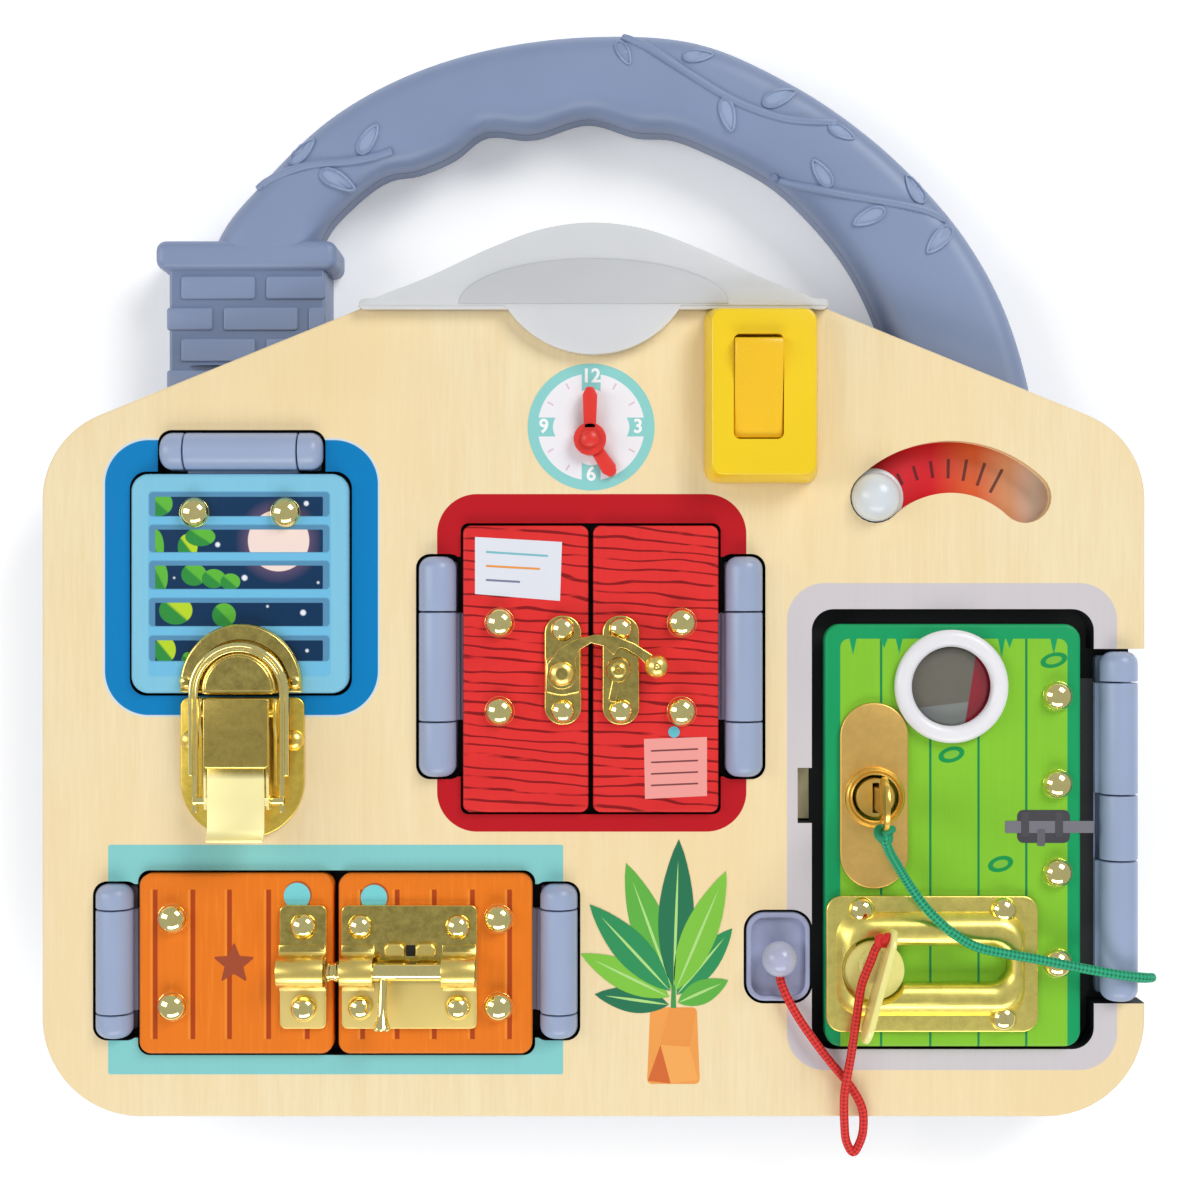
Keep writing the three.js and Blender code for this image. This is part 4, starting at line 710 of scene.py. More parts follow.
def braid(name, colour, dark, period=2.1, strands=3):
    recipe = Recipe(name)
    uv = recipe.node("UVMap", {})
    along, around = (recipe.node("SeparateXYZ", {}, uv, out=i) for i in range(2))
    one = ((around * strands + along / period) * 2 * math.pi).sine()
    two = ((around * strands - along / period) * 2 * math.pi).sine()
    strand = one * two * 0.5 + 0.5
    fuzz = recipe.noise(recipe.places(), 0.12, 3.0, 0.7)
    # Darker where the strands dip: painted shade in the braid's grooves. Lighter where strands and fuzz stand
    # up: painted highlight.
    body = recipe.mix(strand, dark, colour)
    body = recipe.mix((strand * fuzz * 1.3).clamped(), body, toned(colour, 1.25, 0.015))
    recipe.drive(Base_Color=body, Roughness=0.72 + fuzz * 0.15)
    recipe.bump(strand * 0.8 + fuzz * 0.2, 0.7, 0.18 * MM)
    return recipe.material


red_braid = braid("red_cord_braid", ink(228, 46, 38), ink(140, 8, 14))
green_braid = braid("green_cord_braid", ink(30, 172, 124), ink(2, 92, 62))


CORDS = {"red": (red_line, 1.1, red_braid), "green": (green_line, 1.2, green_braid)}


def cord_stretch(cord, stretch, first, last, body, next_body=None, start=None, end=None, nodes=()):
    """A stretch of a cord's line, from point first to last, that rides on a body, or stays unattached where a
    next body is given.
    """
    line, radius, finish = CORDS[cord]
    part = line[first:last + 1]
    done = sum((b - a).length for a, b in zip(line[:first], line[1:first + 1])) / MM
    length = sum((b - a).length for a, b in zip(part, part[1:]))
    piece = wrapped_tube(f"{cord}_cord_{stretch}", part, radius, done)
    piece.data.materials.append(finish)
    work_on(piece)
    bpy.ops.object.shade_smooth_by_angle(angle=math.radians(50))
    rest()
    if next_body:
        spot(*start)
        spot(*end)
        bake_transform(piece)
    else:
        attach(piece, body)
    if nodes:
        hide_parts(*nodes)
    print(piece.name, round(length / MM, 1), "mm")
    facts = dict(exit=tuple(part[0]), length=length, diameter=2 * radius * MM, path=[tuple(p) for p in part])
    return piece, dict(facts, far_end="object", stiffness="limp", lay="loose")


# %% Cord stretches
red_end, green_end = len(red_line) - 1, len(green_line) - 1
red_cut = red_end - 81
red_low = cord_stretch("red", "low", 0, 118, "board", nodes=("red_cord",))
red_loop = cord_stretch("red", "loop", 118, red_cut, "board", "entry_door", (67, 2, 30), (63, 14, 33))
red_top = cord_stretch("red", "top", red_cut, red_end, "entry_door", "slot_slide", (65, 22, 35), (67, 38, 39))
green_top = cord_stretch(
    "green", "top", 0, 92, "key_lock", "entry_door", (72, 72, 47), (82, 56, 36), ("green_cord",),
)
green_low = cord_stretch("green", "low", 92, green_end, "entry_door", "board", (88, 48, 36), (138, 36, 34))

# %% [markdown]
# The green cord starts in a knot under the bow of the key, and the red one ends in
# a knot in the slider's wing. A trefoil is the line of a simple overhand knot, so
# a tube along a small trefoil gives its bulk and its crossing strands.

# %% Knots
def tube_along(name, points, radius, closed=False, resolution=4):
    """A round wire through points, made as a bevelled curve and then turned into a mesh."""
    rest()
    bpy.ops.curve.primitive_bezier_curve_add()
    wire = bpy.context.object
    wire.name = name
    wire.data.splines.clear()
    spline = wire.data.splines.new("POLY")
    spline.points.add(len(points) - 1)
    for point, place in zip(spline.points, points):
        point.co = (*place, 1.0)
    spline.use_cyclic_u = closed
    wire.data.bevel_depth = radius * MM
    wire.data.bevel_resolution = resolution
    wire.data.use_fill_caps = not closed
    bpy.ops.object.convert(target="MESH")
    work_on(wire, editing=True)
    seal()
    return wire


def knot(name, centre, size, radius, body, finish, lean=30.0):
    line = []
    for i in range(90):
        t = 2 * math.pi * i / 90
        across, upward = math.sin(t) + 2 * math.sin(2 * t), math.cos(t) - 2 * math.cos(2 * t)
        line.append(Vector((across, upward, -1.1 * math.sin(3 * t))) * size / 6 * MM)
    turn = Matrix.Rotation(math.radians(lean), 3, (1, 0.4, 0.2))
    piece = tube_along(name, [spot(*centre) + turn @ p for p in line], radius, closed=True)
    return dress(piece, name, body, finish, angle=60)


knot_strands = {
    "red": moulded("red_knot_cord", ink(214, 38, 36), 0.75, 0.25, 0.08),
    "green": moulded("green_knot_cord", ink(20, 144, 98), 0.75, 0.25, 0.08),
}
green_knot = knot(
    "green_knot", (71.0, 74.2, 48.3), 4.3, 0.95, "key_lock", knot_strands["green"],
)
red_knot = knot("red_knot", (71.6, 46.9, 40.6), 3.6, 0.85, "slot_slide", knot_strands["red"], 60)

# %% [markdown]
# ## The wooden board
# The front is 8 mm birch plywood with printed frames round the doors. Its outline
# has the fine arcs of a routed edge, so it is drawn again with more steps than the
# CAD has, and the openings are cut with Booleans in the same places. The recesses
# show black inside, the outer edge shows the plies.

# %% Birch with printed frames
def house_outline(margin, steps=14):
    half, ridge_half = 140.0 - margin, 59.0 - margin * 33.0 / 81.0
    corners = [
        (-half, margin), (half, margin), (half, 172.3 - margin), (ridge_half, 205.3 - margin),
        (-ridge_half, 205.3 - margin), (-half, 172.3 - margin),
    ]
    return rounded(corners, [25 - margin, 25 - margin, 23 - margin, 0, 0, 23 - margin], steps)


PAINT_SHINE = 0.22


def birch_finish():
    recipe = Recipe("printed_birch", Specular_IOR_Level=PAINT_SHINE)
    x, y, _ = at = recipe.places()
    streaks = recipe.noise(at, (0.9, 15.0, 3.0), 5.0, 0.62)
    waves = recipe.noise(at, (7.0, 60.0, 9.0), 2.0)
    pores = recipe.noise(at, (0.28, 3.2, 0.5), 2.0, 0.5)
    blush = recipe.noise(at, 70.0, 2.0)
    figure = ((streaks * 0.6 + waves * 0.4 - 0.5) * 1.9 + 0.5).clamped()
    wood = recipe.mix(figure, ink(248, 231, 192), ink(238, 213, 163))
    wood = recipe.mix(((blush - 0.5) * 3.0 + 0.3).clamped() * 0.5, wood, ink(246, 216, 160))
    wood = recipe.mix(((pores - 0.62) * 5.0).clamped() * 0.3, wood, ink(222, 190, 136))
    prints = wood
    mask = None
    frames = (
        ((-124.0, -54.7, 102.0, 171.8, 11.2), ink(0, 128, 192), 0.55),
        ((-39.7, 38.8, 72.4, 158.1, 10.2), ink(192, 20, 32), 0.0),
        ((-123.2, -7.7, 10.8, 69.1, 0.6), ink(136, 208, 206), 0.0),
        ((49.1, 132.9, 11.9, 135.5, 9.6), ink(212, 205, 208), 0.0),
    )
    for (left, right, foot, top, radius), colour, halo in frames:
        if halo:
            edge = recipe.card(x, y, left - halo, right + halo, foot - halo, top + halo, radius + halo)
            prints = recipe.mix(edge, prints, ink(214, 224, 226))
        inside = recipe.card(x, y, left, right, foot, top, radius)
        prints = recipe.mix(inside, prints, recipe.mix(figure * 0.5, colour, toned(colour, 0.9)))
        mask = inside if mask is None else mask.most(inside)
    recipe.drive(Base_Color=prints, Roughness=0.5 - mask * 0.1 + figure * 0.08)
    recipe.bump(streaks * 0.6 + pores * 0.4, 0.35, 0.05 * MM)
    return recipe.material


def ply_finish():
    recipe = Recipe("ply_edge")
    x, y, z = at = recipe.places()
    ply = ((z * 5.0 / 8.0) * math.pi).sine()
    fibres = recipe.noise(at, (2.4, 2.4, 0.22), 4.0, 0.6)
    layer = (ply * 1.6 + 0.5 + (fibres - 0.5)).clamped()
    recipe.drive(Base_Color=recipe.mix(layer, ink(240, 218, 172), ink(218, 182, 126)), Roughness=0.62)
    recipe.bump(fibres * 0.6 + layer * 0.4, 0.4, 0.08 * MM)
    return recipe.material


birch, ply_edge = birch_finish(), ply_finish()
print("birch ready")

# %% Cut the board
BACK, FRONT = 18.0, 30.0
CLOCK_PIN = (-0.9, 171.9)
# Round corners outside; the inner end lies within the door's own opening
HINGE_POCKETS = [
    (-89.3 - 21.3, -89.3 + 21.3, 160.0, 174.35), (-45.05, -33.0, 85.7, 142.9), (31.6, 43.65, 85.7, 142.9),
    (-127.05, -115.0, 19.4, 59.8), (-15.4, -3.35, 19.4, 59.8),
]
POCKET_CORNER = 3.6
OPENINGS = [
    oblong(-117.7, -61.3, 106.9, 163.8, 4.3), oblong(-109.9, -68.7, 153.3, 168.9),
    oblong(-39.6, 38.2, 86.4, 142.2), oblong(-33.7, 32.3, 76.8, 150.7, 2), oblong(-121.6, -8.8, 20.1, 59.1),
    oblong(-115.6, -14.8, 15.7, 62.6, 3), oblong(55.4, 127.0, 17.2, 128.9, 5.5),
    oblong(121.5, 142.0, 28.8, 118.8), oblong(51.8, 57.4, 74.6, 88.6), oblong(38.1, 55.6, 28.8, 52.6, 5.2),
    oblong(35.9, 46.5, 176.1, 192.7), *(oblong(*pocket, POCKET_CORNER) for pocket in HINGE_POCKETS),
]
SLIDE_X, SLIDE_Y, SLIDE_RADIUS = 90.7, 137.7, 27.3


def arc_band(half_width, half_angle=44.0, steps=40, end_steps=12):
    """The outline of a curved slot with round ends, about the slide's centre."""
    points = []
    for sign in (1, -1):
        radius, end = SLIDE_RADIUS + sign * half_width, 90 + sign * half_angle
        points += arc(SLIDE_X, SLIDE_Y, radius, 180 - end, end, steps)
        middle = arc(SLIDE_X, SLIDE_Y, SLIDE_RADIUS, end, end, 1)[0]
        facing = end if sign > 0 else end + 180
        points += arc(*middle, half_width, facing, facing + 180, end_steps)[1:-1]
    return points


board = sheet("front_wood", house_outline(0), 20, BOARD_FACE, 0.7, 3, 0.4)
for outline in OPENINGS:
    carve(board, sheet("opening", outline, BACK, FRONT))
carve(board, sheet("slide_opening", arc_band(6.6), BACK, FRONT))
carve(board, sheet("slide_undercut", arc_band(8.3), BACK, 24))
carve(board, sheet("pin_hole", ring_of(*CLOCK_PIN, 1.7, 20), BACK, FRONT))
print("board faces", len(board.data.polygons))


def paint_sides(piece, inner, outer, within):
    """Gives the upright faces the inner finish, or the outer one where the test finds bare wood."""
    for finish in (inner, outer):
        piece.data.materials.append(finish)
    for face in piece.data.polygons:
        if abs(face.normal.z) < 0.6:
            face.material_index = 2 if within(face.center) else 1


def shows_wood(centre):
    """True on the outer edge and in the slide's slot, where the plies are bare."""
    x, y, _ = board_mm(centre)
    slope = y + 33.0 / 81.0 * (abs(x) - 59.0)
    corner = math.hypot(abs(x) - 115, y - 25) > 24 and abs(x) > 115 and y < 25
    shoulder = math.hypot(abs(x) - 117, y - 158) > 20 and abs(x) > 118 and y > 150
    slot = abs(math.hypot(x - SLIDE_X, y - SLIDE_Y) - SLIDE_RADIUS) < 9 and y > 148
    return abs(x) > 139 or y < 0.8 or y > 204.4 or slope > 204.4 or corner or shoulder or slot


board.data.materials.append(birch)
paint_sides(board, black_paint_and_shade, ply_edge, shows_wood)
dress(board, "printed_board", "board", None, ("front_board",))

# %% [markdown]
# Behind the openings lies a thin black backing board. Where the lock's cam enters
# the frame, the photograph shows bare wood, so a small birch block lines the notch.

# %% Backing board and notch
backing = sheet("backing", house_outline(2.0), 17.7, 19.7, 0.2, 1)
carve(backing, sheet("pin_hole", ring_of(*CLOCK_PIN, 1.7, 20), 16, 22))
dress(backing, "black_backing", "board", black_paint_and_shade, ("backing_board",))
notch = sheet("notch", oblong(52.0, 55.3, 75.0, 88.2, 0.2, 2), 19.8, 21.6, 0.2, 1)
dress(notch, "strike_lining", "board", ply_edge)

# %% [markdown]
# ## Housing, chimney and handle
# The back is a moulded tray. It carries the rear half of the chimney and of the
# arched handle, and a front shell closes those two at a fine parting line. The
# handle is a band between two curves, wide and softly crowned like a real grip. A
# grid is laid between the curves, and each of its rows gets the rounded section.

# %% Handle band
HANDLE_SPAN, HANDLE_RISE, HANDLE_FOOT = 213.0, 278.0, 166.8
OUTER_SHARES = [
    (-0.5, 0.225), (-0.457, 0.53), (-0.405, 0.655), (-0.325, 0.8025), (-0.235, 0.9025), (-0.126, 0.97),
    (0.009, 1), (0.13, 0.9813), (0.242, 0.8875), (0.323, 0.785), (0.388, 0.675), (0.452, 0.5325), (0.5, 0.37),
    (0.531, 0.1825), (0.545, 0),
]
INNER_SHARES = [
    (-0.345, 0.225), (-0.336, 0.53), (-0.299, 0.62), (-0.255, 0.6813), (-0.217, 0.695), (-0.172, 0.7325),
    (-0.134, 0.785), (-0.076, 0.78), (-0.007, 0.8163), (0.054, 0.785), (0.097, 0.78), (0.153, 0.7375),
    (0.218, 0.67), (0.266, 0.5875), (0.315, 0.47), (0.352, 0.3225), (0.375, 0.15), (0.38, 0),
]
BAND_ROWS = 120


def band_edge(shares):
    route = smooth_route(
        [(x * HANDLE_SPAN, HANDLE_FOOT + y * (HANDLE_RISE - HANDLE_FOOT), 0) for x, y in shares], 0.5,
    )
    picked = [route[round(i * (len(route) - 1) / BAND_ROWS)] for i in range(BAND_ROWS + 1)]
    return [Vector(board_mm(p)[:2]) for p in picked]


OUTER_EDGE, INNER_EDGE = band_edge(OUTER_SHARES), band_edge(INNER_SHARES)


def band(name, open_z, closed_z, reach, drop, crown=0.0):
    """Half of the handle, from its open edge to its crowned face, with corners reach wide and drop high."""
    way = 1 if closed_z > open_z else -1
    corner = arc(reach, closed_z - way * drop, -reach, 0, 90, 8, way * drop)
    sections = []
    for outer, inner in zip(OUTER_EDGE, INNER_EDGE):
        width = (inner - outer).length
        grow = min(1.0, 0.45 * width / reach)
        left = [(0.0, open_z), *((t * grow, z) for t, z in corner)]
        flat, shares = width - 2 * reach * grow, [i / 7 for i in range(1, 7)]
        middle = [
            (reach * grow + flat * share, closed_z + way * crown * math.sin(math.pi * share))
            for share in shares
        ]
        right = [(width - t, z) for t, z in reversed(left)]
        sections.append([spot(*outer.lerp(inner, t / width), z) for t, z in [*left, *middle, *right]])
    piece = skin(name, sections)
    work_on(piece, editing=True)
    bpy.ops.mesh.select_mode(type="EDGE")
    bpy.ops.mesh.select_non_manifold()
    bpy.ops.mesh.extrude_region_move(TRANSFORM_OT_translate={"value": (0, 0, 0)})
    bpy.ops.mesh.edge_face_add()
    seal()
    return piece


BAND_FACE, BAND_REACH, BAND_DROP = 19.4, 6.5, 5.5
front_band = band("front_band", 9.75, BAND_FACE, BAND_REACH, BAND_DROP, 0.2)
rear_band = band("rear_band", 9.35, 0.0, 4.0, 3.2)
print("handle faces", len(front_band.data.polygons) + len(rear_band.data.polygons))

# %% [markdown]
# The chimney is a plain shaft with bricks moulded on it in relief, five rows that
# shift by half a brick, and some that turn the corner to the side. Each brick is a
# bevelled slab, cut to length where the shaft ends.

# %% Chimney
CHIMNEY = (-110.0, -69.6)
SHAFT_OUTLINE, CAP_OUTLINE = oblong(*CHIMNEY, 182, 217.5, 1.0, 4), oblong(-113.3, -66.5, 216.6, 224.2, 2.6, 8)
shaft = sheet("shaft", SHAFT_OUTLINE, 9.7, 17.8, 2.2, 5)
cap = sheet("cap", CAP_OUTLINE, 9.7, 19.6, 2.4, 6)
bricks = []
for row in range(5):
    top = 216.6 - 1.6 - row * 8.1
    shift = 0.0 if row % 2 == 0 else -11.0
    start = CHIMNEY[0] + 3.2 + shift
    while start < CHIMNEY[1]:
        left, right = max(start, CHIMNEY[0] - 0.5), min(start + 19.2, CHIMNEY[1] + 0.1)
        if right - left > 2:
            wraps = left < CHIMNEY[0]
            low, rim = (9.7, 1.6) if wraps else (16.5, 0.45)
            bricks.append(sheet("brick", oblong(left, right, top - 5.9, top, 0.7, 4), low, 18.4, rim, 4))
        start += 22
work_on(front_band, editing=True)
cap_middle = spot(-58, 220)
choose("FACE", lambda f: f.calc_center_median().x < cap_middle.x and f.calc_center_median().y < cap_middle.y)
bpy.ops.mesh.delete(type="FACE")
rest()
front_shell = join("front_shell", front_band, shaft, cap, *bricks)
print("bricks", len(bricks))

# %% [markdown]
# Climbing stems are moulded on the handle as fine raised lines, with small leaves
# that are flat pads with a raised rim. A stem is a thin tube half sunk in the
# surface. One leaf is modelled, and every leaf is a turned copy of it.

# %% Stems and leaves
def photo_mm(px, py):
    """A place on the handle, from a pixel of the photograph, pulled in for its lower height."""
    pulled, middle_px = 1.018, 608.0
    return photo_x(px) * pulled, (photo_y(py) - photo_y(middle_px)) * pulled + photo_y(middle_px)


def surface_height(x, y):
    """Height of the handle's face, lower near its edges."""
    here = Vector((x, y))
    edge = min((p - here).length for p in OUTER_EDGE + INNER_EDGE)
    share = min(1.0, edge / BAND_REACH)
    return BAND_FACE - BAND_DROP * (1 - math.sqrt(max(0.0, 1 - (1 - share) ** 2)))


def stem(name, pixels, radius=1.15):
    flat = smooth_route([(*photo_mm(*p), 0) for p in pixels], 1.2)
    places = []
    for point in flat:
        x, y, _ = board_mm(point)
        places.append(spot(x, y, surface_height(x, y) - 0.1))
    return tube_along(name, places, radius, resolution=3)


def first_leaf():
    outline = []
    for i in range(32):
        a = 2 * math.pi * i / 32
        outline.append((5.2 * math.cos(a), 2.35 * math.sin(a) * (1 - 0.28 * math.cos(a))))
    leaf = sheet("leaf", outline, 0, 1.15, 0.3, 2)
    work_on(leaf, editing=True)
    choose("FACE", lambda f: f.normal.z > 0.95 and height_of(f) > 1.0)
    bpy.ops.mesh.inset(thickness=0.34 * MM, depth=0)
    bpy.ops.mesh.inset(thickness=0.12 * MM, depth=-0.45 * MM)
    bpy.ops.mesh.poke()
    rest()
    return leaf


leaf = first_leaf()
LEAF_LENGTH = 10.4
# From the stem to the tip, in the photo's pixels
LEAVES = [
    ((290, 164), (314, 138)), ((359, 155), (378, 125)), ((320, 172), (355, 189)), ((617, 40), (630, 66)),
    ((682, 57), (714, 54)), ((762, 105), (797, 90)), ((723, 98), (732, 133)), ((828, 125), (855, 139)),
    ((831, 188), (812, 160)), ((924, 204), (907, 173)), ((885, 210), (852, 225)), ((952, 226), (926, 254)),
]
leaves = []
leaf_places = []
for i, (base, tip) in enumerate(LEAVES):
    start, end = Vector(photo_mm(*base)), Vector(photo_mm(*tip))
    along, middle = end - start, (start + end) / 2
    leaf_places.append((spot(*middle), along.normalized(), along.length * MM))
    turn = rotation(math.degrees(math.atan2(along.y, along.x)), "Z")
    size = Matrix.Scale(along.length / LEAF_LENGTH, 4)
    leaves.append(set_at(copied(leaf, f"leaf_{i}"), middle, turn @ size))
    floor = surface_height(*middle) - 2.0
    for vertex in leaves[-1].data.vertices:
        x, y, _ = board_mm(vertex.co)
        vertex.co.z += (max(surface_height(x, y), floor) - 0.35) * MM
bpy.data.objects.remove(leaf)
vines = [
    stem("stem_left", [(257, 188), (261, 184), (282, 174), (309, 166), (351, 162), (376, 156.5), (392, 151)]),
    stem(
        "stem_top",
        [(624, 36), (650, 49), (689, 74), (730, 99), (758, 111), (790, 120), (826, 122), (836, 122)],
    ),
    stem("stem_right", [(774, 176), (794, 184), (827, 192), (872, 200), (907, 206), (930, 212), (946, 220)]),
]
front_shell = join("front_shell", front_shell, *leaves, *vines)
dress(front_shell, "handle_and_chimney_front", "board", housing_blue, ("handle_front",), 40)
# The shaft's face between the bricks gets a darker blue: painted shade between the bricks.
brick_gap_shade_blue = moulded("painted_brick_gap_shade_plastic", ink(112, 127, 158), 0.5, 0.3, 0.012)
chimney_right, chimney_top = spot(CHIMNEY[1], 216.5)[:2]
second_finish(front_shell, brick_gap_shade_blue, lambda f: (
    f.center.x < chimney_right and f.center.y < chimney_top and f.normal.z > 0.9 and f.center.z < 18.0 * MM
))


def on_leaf(face):
    """Whether a face lies on the raised inside of a leaf, which is painted paler: painted highlight."""
    x, y, _ = board_mm(face.center)
    if face.center.z < (surface_height(x, y) + 0.15) * MM:
        return False
    for middle, way, length in leaf_places:
        off = face.center - middle
        lengthwise = (off.x * way.x + off.y * way.y) / (0.45 * length)
        across = (off.y * way.x - off.x * way.y) / (0.19 * length)
        if lengthwise ** 2 + across ** 2 < 1.0:
            return True
    return False


# The leaves' insides get a paler, matte blue: painted highlight on the raised leaves.
leaf_highlight_blue = moulded("leaf_painted_highlight_plastic", ink(146, 162, 194), 0.6, 0.3, 0.02)
second_finish(front_shell, leaf_highlight_blue, on_leaf)

# %% [markdown]
# The tray behind the board has rounded edges, a pocket for the battery door and
# two deep screw holes. Nobody photographs this side, so it is kept as plain as
# such trays are, with short grooves in its floor.

# %% Rear tray
tray = sheet("tray", house_outline(2.6), 0.0, 17.4, 0.3, 2, 2.4)
carve(tray, sheet("door_pocket", oblong(-26.2, 34.5, 32.7, 59.3, 2.5, 6), -1, 1.95))
TRAY_SCREWS = ((-128.0, 71.9), (122.0, 145.8))
for x, y in TRAY_SCREWS:
    carve(tray, sheet("screw_hole", ring_of(x, y, 3.3, 32), -1, 3.0))
for x in (-92, -46, 0, 46, 92):
    for y in (126, 134):
        carve(tray, sheet("groove", oblong(x - 15, x + 15, y, y + 2, 0.9, 5), -1, 0.5))
rear_shaft = sheet("rear_shaft", SHAFT_OUTLINE, 0.0, 9.4, 0.0, 2, 2.2)
rear_cap = sheet("rear_cap", CAP_OUTLINE, 0.0, 9.4, 0.0, 2, 2.2)
rear_shell = join("rear_shell", tray, rear_band, rear_shaft, rear_cap)
dress(rear_shell, "rear_tray", "board", housing_blue, ("rear_housing",), 40)

# %% Battery door and screws
door_cover = sheet("battery_cover", oblong(-25.7, 34.0, 33.2, 58.8, 2.2, 6), 0.3, 1.9, 0.0, 2, 0.4)
for i in range(4):
    carve(door_cover, sheet("grip", oblong(-22, -16, 40 + i * 4, 41.6 + i * 4, 0.7, 4), -1, 0.75))
carve(door_cover, sheet("screw_room", ring_of(30.25, 46, 2.9, 32), -1, 0.95))
dress(door_cover, "battery_cover", "board", housing_blue, ("battery_door",))


def cross_screw(name, x, y, low, radius=2.7):
    """A pan head with a cross recess, seen from the back."""
    head = turned(name, arc_profile(radius, 1.3, -0.2), (x, y, 0), 28)
    moved(head, Matrix.Translation((0, 0, (low + 1.3) * MM)) @ Matrix.Diagonal((1, 1, -1, 1)))
    for width, length in ((0.7, 3.0), (3.0, 0.7)):
        carve(
            head,
            sheet(
                "recess", oblong(x - width / 2, x + width / 2, y - length / 2, y + length / 2), low - 1,
                low + 0.9,
            ),
        )
    return head


for i, (x, y) in enumerate(TRAY_SCREWS, 1):
    dress(
        cross_screw(f"screw_{i}", x, y, 1.4), f"tray_screw_{i}", "board", steel,
        (f"housing_screw_{i}",),
    )
dress(
    cross_screw("cover_screw", 30.25, 46, 0.35, 2.4), "battery_cover_screw", "board", steel,
    ("battery_door_screw",),
)

# %% [markdown]
# ## The roof lamp
# A milky cover sits over the ridge, with a round lip that hangs in front of the
# board. The cover and the lip are one moulding, so they are joined with a Boolean
# before the edges are softened. A low arch is raised a little in its middle.

# %% Lamp cover
LAMP_CURVE = [
    (-1, 0), (-0.9, 0.12), (-0.71, 0.33), (-0.43, 0.7), (-0.22, 0.92), (0, 1), (0.22, 0.92), (0.46, 0.67),
    (0.7, 0.35), (0.9, 0.12), (1, 0),
]


def lamp_outline(half, foot, apex):
    line = smooth_route([(x * half, foot + y * (apex - foot), 0) for x, y in LAMP_CURVE], 1.5)
    return [board_mm(p)[:2] for p in reversed(line)]


cover = sheet("cover", lamp_outline(59.5, 205.6, 226.4), 8.0, 31.3)
spread = math.degrees(math.acos(14.3 / 26.3))
lip = [*arc(0, 205.3 + 14.3, 26.3, -90 - spread, -90 + spread, 40), (21.7, 208.3), (-21.7, 208.3)]
carve(cover, sheet("lip", lip, 28.3, 31.3), operation="UNION")
carve(cover, sheet("flange", oblong(-59.2, 59.2, 204.7, 207.3, 1.25, 6), 28.3, 31.0), operation="UNION")
soften(cover, 0.9, 3, 40)
cover = join("cover", cover, sheet("arch", arc(0, 205.9, 34, 0, 180, 40, 11.4), 31.0, 31.55, 0.25, 2))
dress(cover, "lamp_cover", "board", lamp_milk, ("roof_lamp",), 45)

# %% [markdown]
# ## Hinges
# Every door hangs on a plastic hinge with fat round knuckles. The outer two belong
# to the board and have domed ends. Between them the door's and the board's take
# turns, and a thin gap parts them. A knuckle is turned round an upright axis, then laid down. The
# rivets of the leaf stand in the door's face and are polished brass.

# %% Hinge parts
AXIS_Z = 27.5
BARREL, LEAF_TOP, KNUCKLE_GAP = 4.75, 24.75, 0.4


def knuckle(from_mm, to_mm, domed_start, domed_end):
    """A barrel stretch along local Y, made at the origin of the board."""
    bend = 0.35
    profile = [(0.0, from_mm)]
    for at, way, domed in ((from_mm, 1, domed_start), (to_mm, -1, domed_end)):
        radius = 3.1 if domed else bend
        edge = arc(BARREL - radius, at + way * radius, radius, 90, 0, 7, -way * radius)
        profile += edge[::way]
    profile.append((0.0, to_mm))
    piece = turned("knuckle", profile, (0, 0, 0), 36)
    return set_at(piece, (0, 0), rotation(-90, "X"))


def rivet(name, x, y, body):
    head = turned(name, arc_profile(3.7, 2.8, 0.0, 12), (0, 0, 0), 40)
    collar = turned(name, [(3.75, -0.6), (3.75, 0.08), (3.5, 0.15), (3.5, -0.6)], (0, 0, 0), 40, closed=True)
    piece = set_at(join(name, head, collar), (x, y, 30.6))
    return dress(piece, name, body, dome_brass, angle=40)


def hinge_pair(name, body, x, y, turn, half, moving, rivets):
    fixed, start = [], -half
    for a, b in moving:
        fixed.append((start, a - KNUCKLE_GAP / 2))
        start = b + KNUCKLE_GAP / 2
    fixed.append((start, half))
    parts = [knuckle(a, b, i == 0, i == len(fixed) - 1) for i, (a, b) in enumerate(fixed)]
    parts.append(
        sheet(
            "base", oblong(-BARREL + 0.05, BARREL - 0.05, -half + 1, half - 1, 0.8, 4), 20 - AXIS_Z,
            22.4 - AXIS_Z, 0.4, 2,
        )
    )
    place, way = (x, y, AXIS_Z), rotation(turn, "Z")
    mount = set_at(join("mount", *parts), place, way)
    dress(mount, f"{name}_hinge_barrel", "board", hinge_blue, (f"{name}_hinge_mount",), 40)
    reach = max(r[0] for r in rivets) + 5
    parts = []
    for a, b in moving:
        parts.append(knuckle(a + KNUCKLE_GAP / 2, b - KNUCKLE_GAP / 2, False, False))
        parts.append(sheet("neck", oblong(2.0, BARREL + 1.1, a + 0.2, b - 0.2), 22.9 - AXIS_Z, 24.7 - AXIS_Z))
        parts.append(
            sheet(
                "flap", oblong(0.0, BARREL + 0.9, a + 0.25, b - 0.25), 24.9 - AXIS_Z, 26.0 - AXIS_Z, 0.35, 3,
            )
        )
    parts.append(
        sheet(
            "leaf", oblong(BARREL + 0.4, reach, moving[0][0] + 0.2, moving[-1][1] - 0.2, 1.2, 4),
            22.75 - AXIS_Z, LEAF_TOP - AXIS_Z, 0.2, 1,
        )
    )
    leaf_piece = set_at(join("leaf", *parts), place, way)
    dress(leaf_piece, f"{name}_hinge_flap", body, hinge_blue, (f"{name}_hinge_leaf",), 40)
    c, s = math.cos(math.radians(turn)), math.sin(math.radians(turn))
    for i, (rx, ry) in enumerate(rivets, 1):
        rivet(f"{name}_rivet_{i}", x + rx * c - ry * s, y + rx * s + ry * c, body)


